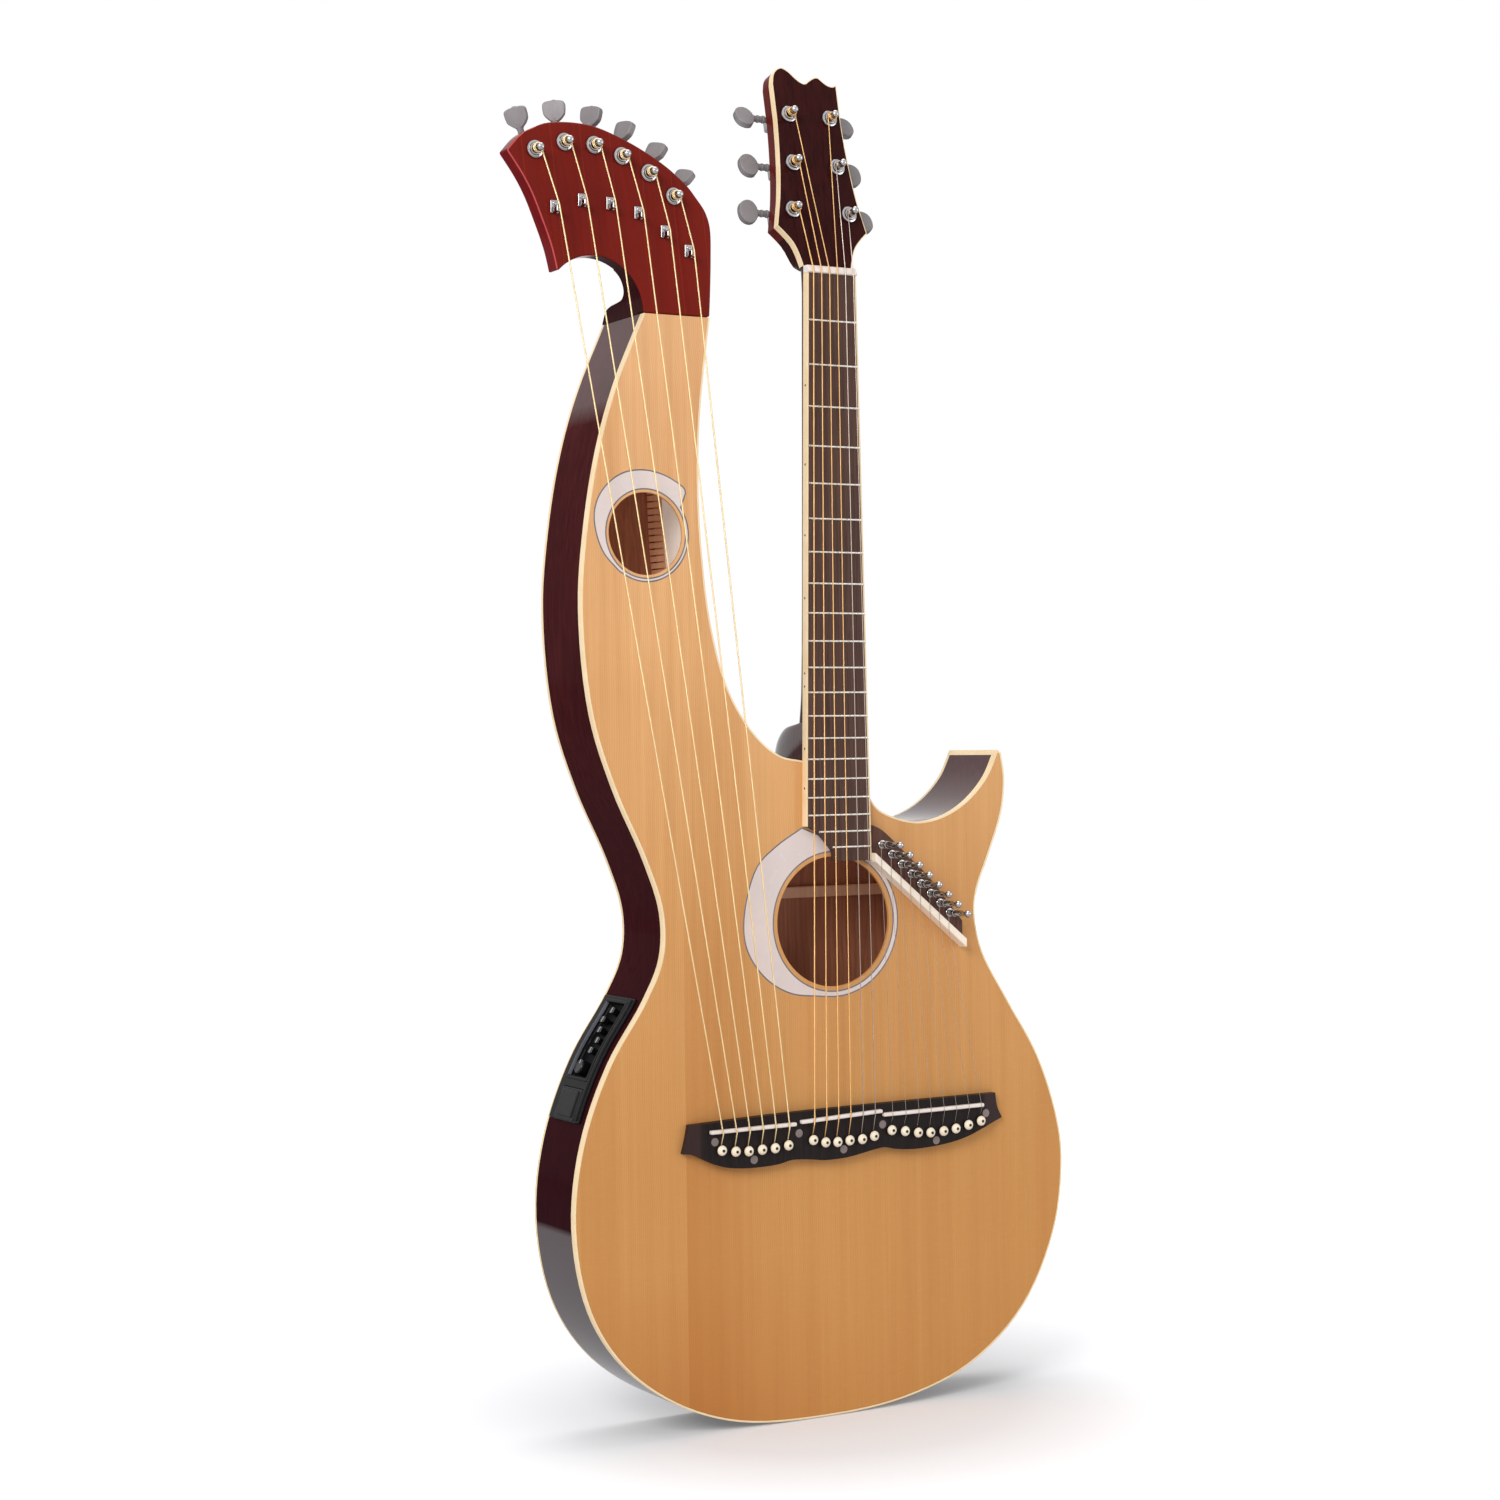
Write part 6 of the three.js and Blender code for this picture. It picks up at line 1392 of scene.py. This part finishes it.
def build_fingerboard():
    plan = board_plan()
    edges = [0.0, 1.5] + [0.0] * (len(plan) - 3) + [1.5]
    core_plan = inset(plan, edges)
    core = plate("fingerboard", core_plan, BOARD_FACE, FRONT)
    finished(ease(core, 0.2, 2, 60), BOARD_WOOD, ["fingerboard"])
    edgings = [
        strip("edging", [plan[a], plan[b]], [core_plan[a], core_plan[b]], BOARD_FACE, FRONT)
        for a, b in ((1, 2), (-1, 0))]
    finished(ease(joined("fingerboard_binding", edgings), 0.3, 2, 60), CREAM)
    frets = []
    for number in range(1, 21):
        z = fret_z(number)
        left, right = -half_board(z) + 0.8, half_board(z) - 0.8
        side = crossings(core_plan, z)[0]
        if side > left + 1:
            left = side + 0.4
        crown = [(left, BOARD_FACE + depth, z + up) for up, depth in
                 [*FRET_HALF, (0, -0.98), *[(-up, depth) for up, depth in reversed(FRET_HALF)]]]
        fret = prism("fret", crown, (right - left, 0, 0))
        frets.append(ease(fret, 0.3, 2, 70))
    finished(joined("frets", frets), NICKEL)
    dot = turned("dot", [(0, 0.12), (0.6, 0.1), (0.95, 0.0), (0.95, -0.5), (0, -0.5)], 16)
    spots = [(number, 0) for number in (3, 5, 7, 9, 15, 17)] + [(12, -5), (12, 5)]
    levels = [(fret_z(n) + fret_z(n - 1)) / 2 + shift for n, shift in spots]
    sideways = Matrix.Rotation(math.radians(-90), 4, "Y")
    sides = [moved(-half_board(z), BOARD_FACE + 3.0, z) @ sideways for z in levels]
    finished(repeated(dot, "side_dots", sides), BLACK_DOT)
    profile = [(FRONT, NUT_Z), (NUT_TOP + 1, NUT_Z), (NUT_TOP + 0.1, NUT_Z + 0.6),
               (NUT_TOP, NUT_Z + 1.6), (NUT_TOP + 0.4, NUT_Z + 3), (NUT_TOP + 1.7, HEAD_Z - 0.6),
               (NUT_TOP + 2.6, HEAD_Z), (FRONT, HEAD_Z)]
    nut = prism("nut", [(-22, y, z) for y, z in profile], (44, 0, 0))
    ease(nut, 0.5, 3, 50)
    for i in range(6):
        x = nut_slot(i)
        cut(nut, wire("groove", [(x, NUT_TOP - 0.3, NUT_Z - 4), (x, NUT_TOP - 0.3, HEAD_Z + 4)],
                      NECK_WIRES[i] + 0.1))
    finished(nut, BONE, ["nut"])


# Bridge
def bridge_outline():
    lines = [smooth_line([bridge_point(s) for s in edge], 5) for edge in BRIDGE_EDGES]
    return [point for line in lines for point in line[:-1]]


def build_bridge():
    bridge = plate("bridge", bridge_outline(), BRIDGE_FACE, FRONT)
    for side, share in BRIDGE_WINGS.items():
        start, end = [bridge_point((s, 0))[0] for s in (share, side * 0.512)]
        fall = BRIDGE_THICK - BRIDGE_WING_THICK
        ramp = [(start + (end - start) * t, BRIDGE_FACE + fall * (t + 0.35 * t * (1 - t)))
                for t in (0, 0.1, 0.2, 0.35, 0.5, 0.65, 0.8, 1, 1.2)]
        over = [(ramp[-1][0], BRIDGE_FACE - 5), (start, BRIDGE_FACE - 5)]
        low = BRIDGE_CENTRE[1] - BRIDGE_HEIGHT
        cut(bridge, prism("wing", [(x, y, low) for x, y in ramp + over],
                          (0, 0, 2 * BRIDGE_HEIGHT)))
    finished(ease(bridge, 1.3, 4, 60), BRIDGE_WOOD, ["bridge"])
    for name, (start, end) in SADDLES.items():
        a, b = Vector(bridge_point(start)), Vector(bridge_point(end))
        across = Vector((a.y - b.y, b.x - a.x)).normalized() * 1.5
        corners = [tuple(a + across), tuple(b + across), tuple(b - across), tuple(a - across)]
        saddle = plate(name, corners, SADDLE_TOP, BRIDGE_FACE + 5)
        finished(ease(saddle, 1.1, 4, 60), BONE, [name])
    dot = turned("dot", [(0, 0.12), (2.6, 0.1), (3.15, 0.04), (3.25, -0.1), (3.25, -1), (0, -1)],
                 32)
    places = [upright(*bridge_point(s), BRIDGE_FACE) for s in BRIDGE_DOTS]
    finished(repeated(dot, "bridge_dots", places), GREY_DOT)


def build_bridge_pins():
    top = -BRIDGE_FACE
    head = turned("head", [
        (0, top + 5), (0.9, top + 4.96), (2.0, top + 4.7), (3.0, top + 4.05), (3.7, top + 3.1),
        (3.95, top + 2.3), (3.7, top + 1.6), (3.1, top + 1.15), (2.5, top + 0.95),
        (2.35, top + 0.4), (2.2, top - 0.5), (2.0, top - 9), (0, top - 9)], 28)
    eye = turned("eye", [(0, top + 5.12), (0.8, top + 5.08), (1.2, top + 4.98),
                         (1.2, top + 4.4), (0, top + 4.4)], 20)
    pin = joined("pin", [coated(eye, BLACK_DOT), coated(head, IVORY)])
    places = [upright(*bridge_point(s)) for s in BASS_PINS + NECK_PINS + TREBLE_PINS]
    finished(repeated(pin, "bridge_pins", places), None, ["bridge_pins"], angle=50)
    foot = [bridge_point(s) for s in ((-0.42, -0.6), (0.46, -0.6), (0.46, 0.34), (-0.42, 0.34))]
    under = plate("bridge_plate", foot, FRONT + PLATE, FRONT + 2 * PLATE)
    finished(ease(under, 0.8, 2), RAW_WOOD)


# Treble block, nut and tuning pins
def treble_posts():
    first, last = [body_point(s) for s in TREBLE_ENDS]
    return [(first[0] + (last[0] - first[0]) * i / 7, first[1] + (last[1] - first[1]) * i / 7)
            for i in range(8)]


def on_nut_line(x, above=0.0):
    """A point beside the treble nut's foot, at a place across and a distance over the foot."""
    foot = Vector(body_point(TREBLE_NUT_FOOT[0]))
    line = (Vector(body_point(TREBLE_NUT_FOOT[1])) - foot).normalized()
    return x, foot.y + ((x - foot.x) * line.y + above) / line.x


def build_treble_group():
    beside = half_board(fret_z(20) - 11) + GAP
    outer = smooth_line([(beside, body_point(TREBLE_BLOCK[0])[1])]
                        + [body_point(s) for s in TREBLE_BLOCK[1:]], 4)
    plan = [on_nut_line(beside, TREBLE_NUT_THICK + GAP), *outer,
            on_nut_line(outer[-1][0], TREBLE_NUT_THICK + GAP)]
    block = plate("treble_pin_block", plan, FRONT - TREBLE_BLOCK_HEIGHT, FRONT)
    finished(ease(block, 1.0, 4, 50), BLOCK_WOOD, ["treble_pin_block"])
    end = body_point(TREBLE_NUT_FOOT[1])[0]
    corners = [on_nut_line(beside), on_nut_line(end), on_nut_line(end, TREBLE_NUT_THICK),
               on_nut_line(beside, TREBLE_NUT_THICK)]
    nut = plate("treble_nut", corners, FRONT - TREBLE_NUT_HEIGHT, FRONT)
    finished(ease(nut, 1.1, 4, 60), TREBLE_BONE, ["treble_nut"])
    top = -FRONT + TREBLE_BLOCK_HEIGHT
    profile = [(radius, top + height) for radius, height in TREBLE_PIN]
    pin = turned("pin", profile, 28)
    for i, (x, z) in enumerate(treble_posts()):
        name = f"treble_tuning_pin_{i + 1}"
        finished(copied(pin, name, upright(x, z)), CHROME, [name], f"{name}_body", 30)
    drop(pin)


# Tuning machines, in their own frame: the post stands along -Y, the button's shaft runs up +Z
def post_piece(depth):
    """The string post, from its domed top down into the housing."""
    back = -(depth + GAP + HOUSING_DEPTH - 1.8)
    profile = [
        (0, 13.45), (0.9, 13.35), (1.8, 12.95), (2.5, 12.3), (2.9, 11.6), (2.95, 11.2),
        (2.75, 10.7), (2.45, 10.3), (2.4, 9.6), (2.4, 4.8), (2.6, 4.4), (3, 4.25), (3, back),
        (0, back)]
    post = turned("post", profile, 28)
    stood = copied(post, "post", Matrix.Rotation(math.radians(90), 4, "X"))
    drop(post)
    hole = wire("string_hole", [(-5, -7.6, 0), (5, -7.6, 0)], 0.85)
    return cut(stood, hole)


def button_piece(outline):
    """The finger button on its shaft."""
    shape = smooth_line([(x * 17.5, BUTTON_REACH + z * 15.5) for x, z in outline], 2)[:-1]
    blade = plate("blade", shape, -2.75, 2.75)
    apply(blade, "BEVEL", width=0.8 * MM, segments=3, limit_method="ANGLE",
          angle_limit=math.radians(60))
    shaft = turned("shaft", [
        (0, -5.5), (1.1, -5.5), (1.1, 6.3), (2, 6.4), (2.5, 9.2), (3.1, 9.4), (3.1, 10.6),
        (2.6, 10.9), (2.6, 14.2), (3.0, 14.4), (3.0, 15.4), (2.5, 15.6), (2.5, 18),
        (2.9, 18.6), (2.9, 22), (0, 22)], 24)
    screw = turned("screw", [
        (0, 35.4), (1.3, 35.3), (1.9, 34.9), (2.0, 34.2), (2.0, 33), (0, 33)], 20)
    return joined("button", [shaft, screw, blade])


def housing_piece(depth):
    """Gear housing behind the head, with its cap screw, and the bush and washer in front."""
    back = depth + GAP
    housing = bar("housing", (-4.8, back, -7.5), (7.3, back + HOUSING_DEPTH, 7.5))
    ease(housing, 2.2, 5)
    ear = turned("ear", [(0, 0.3), (2.4, 0.3), (2.7, 0.6), (2.7, 1.9), (2.4, 2.2), (0, 2.2)], 24)
    screw = turned("screw", [(0, 3.4), (0.8, 3.3), (1.5, 2.9), (1.8, 2.2), (1.8, 1.2), (0, 1.2)],
                   20)
    toward_back = Matrix.Rotation(math.radians(-90), 4, "X")
    ears = copied_and_dropped(
        joined("ear", [ear, screw]), "ear", moved(-1.2, depth, -9.0) @ toward_back)
    cap = copied_and_dropped(
        turned("cap", [(0, 0.55), (2.4, 0.5), (2.9, 0.15), (3, -0.6), (0, -0.6)], 28), "cap",
        moved(0, back + HOUSING_DEPTH, 0) @ toward_back)
    slot = bar("slot", (-2.2, back + HOUSING_DEPTH + 0.1, -0.35),
               (2.2, back + HOUSING_DEPTH + 2, 0.35))
    cut(cap, slot)
    bush = turned("bush", [
        (3.3, -back), (6.2, 0.3), (6.65, 0.6), (6.7, 1.2), (6.4, 1.9), (5.9, 2.15), (4.9, 2.3),
        (4.85, 3.2), (4.5, 3.75), (3.9, 3.9), (3.3, 3.9), (3.3, -back)], 36)
    front = copied_and_dropped(bush, "bush", Matrix.Rotation(math.radians(90), 4, "X"))
    return joined("housing", [ears, cap, front, housing])


def mirrored(half):
    """A closed outline from its right half, given from the foot up."""
    left = [(-x, z) for x, z in reversed(half)]
    return [left[-1], *half, *left]


KEYSTONE = mirrored([
    (0.16, -0.5), (0.42, -0.22), (0.46, -0.12), (0.49, 0.24), (0.47, 0.36), (0.4, 0.44),
    (0.2, 0.49)])
OVAL = mirrored([(0.2, -0.5), (0.5, -0.26), (0.55, 0.06), (0.42, 0.36), (0.18, 0.5)])


def build_machines(prefix, places, turns, depth, outline, hardware):
    post, button, housing = post_piece(depth), button_piece(outline), housing_piece(depth)
    housings = []
    for i, (place, turn) in enumerate(zip(places, turns)):
        blade = Matrix.Rotation(math.radians(turn), 4, "Z")
        worm = place @ moved(WORM_OFFSET, depth + GAP + 5.75, 0) @ blade
        for kind, piece, where in (
                ("post", post, unmirrored(place)), ("button", button, worm)):
            name = f"{prefix}_tuner_{kind}_{i + 1}"
            coat = BUTTON_CHROME if kind == "button" else CHROME
            finished(copied(piece, name, where), coat, [name], f"{name}_body", 40)
        housings.append(copied(housing, "housing", place))
    drop(post, button, housing)
    return finished(joined(hardware, housings), CHROME, [hardware], angle=40)


def unmirrored(place):
    flip = Matrix.Scale(-1, 4, (1, 0, 0))
    return place @ flip if place.determinant() < 0 else place


def bass_places():
    places = []
    for share, degrees in zip(BASS_POSTS, BASS_TUNER_DEGREES):
        x, z = bass_head_point(share)
        places.append(moved(x, FRONT, z) @ Matrix.Rotation(math.radians(degrees), 4, "Y"))
    return places


def neck_posts():
    return [(side * x * NECK_HEAD_WIDTH, s * NECK_HEAD_LENGTH)
            for side in (-1, 1) for x, s in NECK_POSTS]


def neck_places():
    tilt = moved(0, FRONT, HEAD_Z) @ Matrix.Rotation(-HEAD_TILT, 4, "X")
    places = []
    for x, s in neck_posts():
        turn = Matrix.Rotation(math.radians(-90 if x < 0 else 90), 4, "Y")
        mirror = Matrix.Identity(4) if x < 0 else Matrix.Scale(-1, 4, (1, 0, 0))
        places.append(tilt @ moved(x, 0, s) @ turn @ mirror)
    return places


def build_nut_brackets():
    foot = ease(bar("foot", (-3.25, -1.7, -4.75), (3.25, -0.3, 4.75)), 0.5, 3)
    wall = bar("wall", (-1.7, -0.3 - BRACKET_RISE, -4.75), (1.7, -0.5, -0.1))
    ease(wall, 0.9, 4)
    groove = wire("groove", [(0, -9.3, -8), (0, -9.3, 4)], 0.85)
    cut(wall, groove)
    screw = turned("screw", [(0, 2.7), (0.9, 2.65), (1.6, 2.3), (1.9, 1.7), (1.9, 1.0), (0, 1.0)],
                   24)
    slot = bar("slot", (-2.4, -0.25, 2.2), (2.4, 0.25, 4))
    cut(screw, slot)
    head = copied_and_dropped(screw, "screw", upright(0, 2.3))
    bracket = joined("bracket", [head, wall, foot])
    feet = [bass_head_point(share) for share in BASS_BRACKETS]
    places = [moved(x, FRONT, z) for x, z in feet]
    finished(repeated(bracket, "bass_nut_brackets", places), CHROME, angle=40)


# Strings
def winding(start, post, barrel, wire_radius, side, level, place):
    """The turns of a string round a post, from where it first touches it."""
    steps = 20
    radius = barrel + GAP + wire_radius
    dx, dz = post[0] - start[0], post[1] - start[1]
    lean = side * math.asin(radius / math.hypot(dx, dz))
    run_x = dx * math.cos(lean) + dz * math.sin(lean)
    run_z = dz * math.cos(lean) - dx * math.sin(lean)
    begin = math.atan2(-side * run_x, side * run_z)
    first, later = 2 * (wire_radius + WIND_GAP), 2 * wire_radius + WIND_GAP
    points = []
    for k in range(WIND_TURNS * steps + 1):
        turns = k / steps
        angle = begin + side * turns * math.tau
        rise = min(turns, 1) * first + max(turns - 1, 0) * later
        points.append(place(post[0] + radius * math.cos(angle),
                            post[1] + radius * math.sin(angle), level + rise))
    return points


def over_saddle(pin, radius, saddle):
    (ax, az), (bx, bz) = [bridge_point(s) for s in SADDLES[saddle]]
    x, z = pin
    crest = az + (bz - az) * (x - ax) / (bx - ax) - 1.65
    return [(x, FRONT + 8.5, z + 3.6), (x, BRIDGE_FACE - radius, z + 3.6),
            (x, SADDLE_TOP - radius - 0.15, crest)]


def on_soundboard(x, z, height):
    return x, FRONT - height, z


def build_strings():
    bass, wound, plain = [], [], []
    for i, share in enumerate(BASS_PINS):
        x, z = bass_head_point(BASS_BRACKETS[i])
        top = GAP + BRACKET_RISE + BASS_WIRE + STRING_LIFT
        turns = winding((x, z), bass_head_point(BASS_POSTS[i]), POST_WAIST, BASS_WIRE, 1,
                        BUSH_HEIGHT + FIRST_TURN + BASS_WIRE, on_soundboard)
        bass.append(wire("string", [
            *over_saddle(bridge_point(share), BASS_WIRE, "bass_saddle"),
            on_soundboard(x, z + 0.15, top), *turns], BASS_WIRE))
    posts = neck_posts()
    for i, share in enumerate(NECK_PINS):
        radius = NECK_WIRES[i]
        x = nut_slot(i)
        post = posts[2 - i] if i < 3 else posts[i]
        turns = winding((x, 0), post, POST_WAIST, radius, 1 if i < 3 else -1,
                        BUSH_HEIGHT + FIRST_TURN + radius, head_point)
        run = wire("string", [
            *over_saddle(bridge_point(share), radius, "neck_saddle"),
            (x, NUT_TOP - radius - STRING_LIFT, NUT_Z + 2.15), *turns], radius)
        (wound if i < 4 else plain).append(run)
    foot = [Vector(body_point(s)) for s in TREBLE_NUT_FOOT]
    line = (foot[1] - foot[0]).normalized()
    for (px, pz), share in zip(treble_posts(), TREBLE_PINS):
        x = px - TREBLE_BARREL - GAP - PLAIN_WIRE
        z = foot[0].y + (x - foot[0].x) * line.y / line.x
        top = TREBLE_NUT_HEIGHT + PLAIN_WIRE + STRING_LIFT
        turns = winding((x, z), (px, pz), TREBLE_BARREL, PLAIN_WIRE, -1,
                        TREBLE_BLOCK_HEIGHT + TREBLE_STRING_LEVEL, on_soundboard)
        plain.append(wire("string", [
            *over_saddle(bridge_point(share), PLAIN_WIRE, "treble_saddle"),
            on_soundboard(x, z - 0.15, top),
            on_soundboard(x, z + TREBLE_NUT_THICK / line.x, top), *turns], PLAIN_WIRE))
    for name, runs, finish in (("bass_strings", bass, BRASS), ("wound_strings", wound, BRONZE),
                               ("plain_strings", plain, STEEL)):
        nodes = ["strings"] if name == "bass_strings" else ()
        finished(joined(name, runs), finish, nodes, angle=60)


build_soundboard()
build_back()
build_edging()
build_rim()
build_rosettes()
build_preamp()
build_bass_head()
build_neck()
build_fingerboard()
build_bridge()
build_bridge_pins()
build_treble_group()
build_machines("bass", bass_places(), BASS_BLADE_DEGREES, BASS_HEAD_THICK, KEYSTONE,
               "bass_head_hardware")
build_machines("neck", neck_places(), NECK_BLADE_DEGREES, NECK_HEAD_THICK, OVAL,
               "neck_head_hardware")
build_nut_brackets()
build_strings()


# Floor, light and camera
def build_floor():
    choose()
    bpy.ops.mesh.primitive_plane_add(size=12, location=(0, 0, -0.0005))
    floor = named("studio_floor")
    material = bpy.data.materials.new("pale_floor")
    material.use_nodes = True
    tree = material.node_tree
    shader = tree.nodes["Principled BSDF"]
    coordinates = put(tree, "TexCoord").outputs["Object"]
    tone = put(tree, "Mix", {0: noise(tree, coordinates, 3.0), 6: (0.76, 0.76, 0.78, 1),
                             7: (0.72, 0.72, 0.74, 1)}, data_type="RGBA")
    tree.links.new(tone.outputs[2], shader.inputs["Base Color"])
    shader.inputs["Roughness"].default_value = 0.9
    shader.inputs["Specular IOR Level"].default_value = 0.0
    shader.inputs["Emission Color"].default_value = (1, 1, 1, 1)
    seen = put(tree, "LightPath").outputs["Is Camera Ray"]
    away = put(tree, "VectorMath", {0: coordinates}, operation="LENGTH")
    fade = put(tree, "MapRange", {
        "Value": away.outputs["Value"], "From Min": 0.15, "From Max": 0.75,
        "To Min": FLOOR_GLOW, "To Max": 1.0}).outputs[0]
    tree.links.new(math_node(tree, "MULTIPLY", seen, fade), shader.inputs["Emission Strength"])
    floor.data.materials.append(material)


def build_world():
    world = bpy.data.worlds.new("studio_white")
    bpy.context.scene.world = world
    world.use_nodes = True
    tree = world.node_tree
    background = tree.nodes["Background"]
    background.inputs["Color"].default_value = (1, 1, 1, 1)
    rays = put(tree, "LightPath").outputs
    seen = math_node(tree, "MAXIMUM", rays["Is Camera Ray"], rays["Is Glossy Ray"])
    seen = math_node(tree, "MAXIMUM", seen, rays["Is Transmission Ray"])
    strength = put(tree, "MapRange",
                   {"Value": seen, "To Min": WORLD_LIGHT, "To Max": 1.0}).outputs[0]
    tree.links.new(strength, background.inputs["Strength"])


def add_lamp(name, place, target, size, power):
    choose()
    bpy.ops.object.light_add(type="AREA", location=place)
    lamp = bpy.context.object
    lamp.name = name
    lamp.data.shape = "RECTANGLE"
    lamp.data.size, lamp.data.size_y = size
    lamp.data.energy = power
    aim = Vector(target) - Vector(place)
    lamp.rotation_euler = aim.to_track_quat("-Z", "Y").to_euler()


FLOOR_GLOW = 0.14
WORLD_LIGHT = 0.48
build_floor()
build_world()
add_lamp("key_light", (-2.4, -1.9, 2.0), (-0.05, 0, 0.5), (1.4, 1.4), 70)
add_lamp("fill_light", (2.2, -2.0, 0.9), (0, 0, 0.4), (1.6, 1.6), 16)
add_lamp("top_light", (0.2, 0.4, 2.8), (0, 0, 0.5), (1.6, 1.6), 22)

# Camera, from the spacing of the frets in the photograph
bpy.ops.object.camera_add(
    location=(-1.11406737, -1.88264830, 0.52140679),
    rotation=[math.radians(a) for a in (89.88519535, 0.7374382, -29.36464701)])
camera = bpy.context.object
camera.data.sensor_width = 36.0
camera.data.lens = 66.5977723
bpy.context.scene.camera = camera
bpy.context.scene.view_settings.view_transform = "Standard"
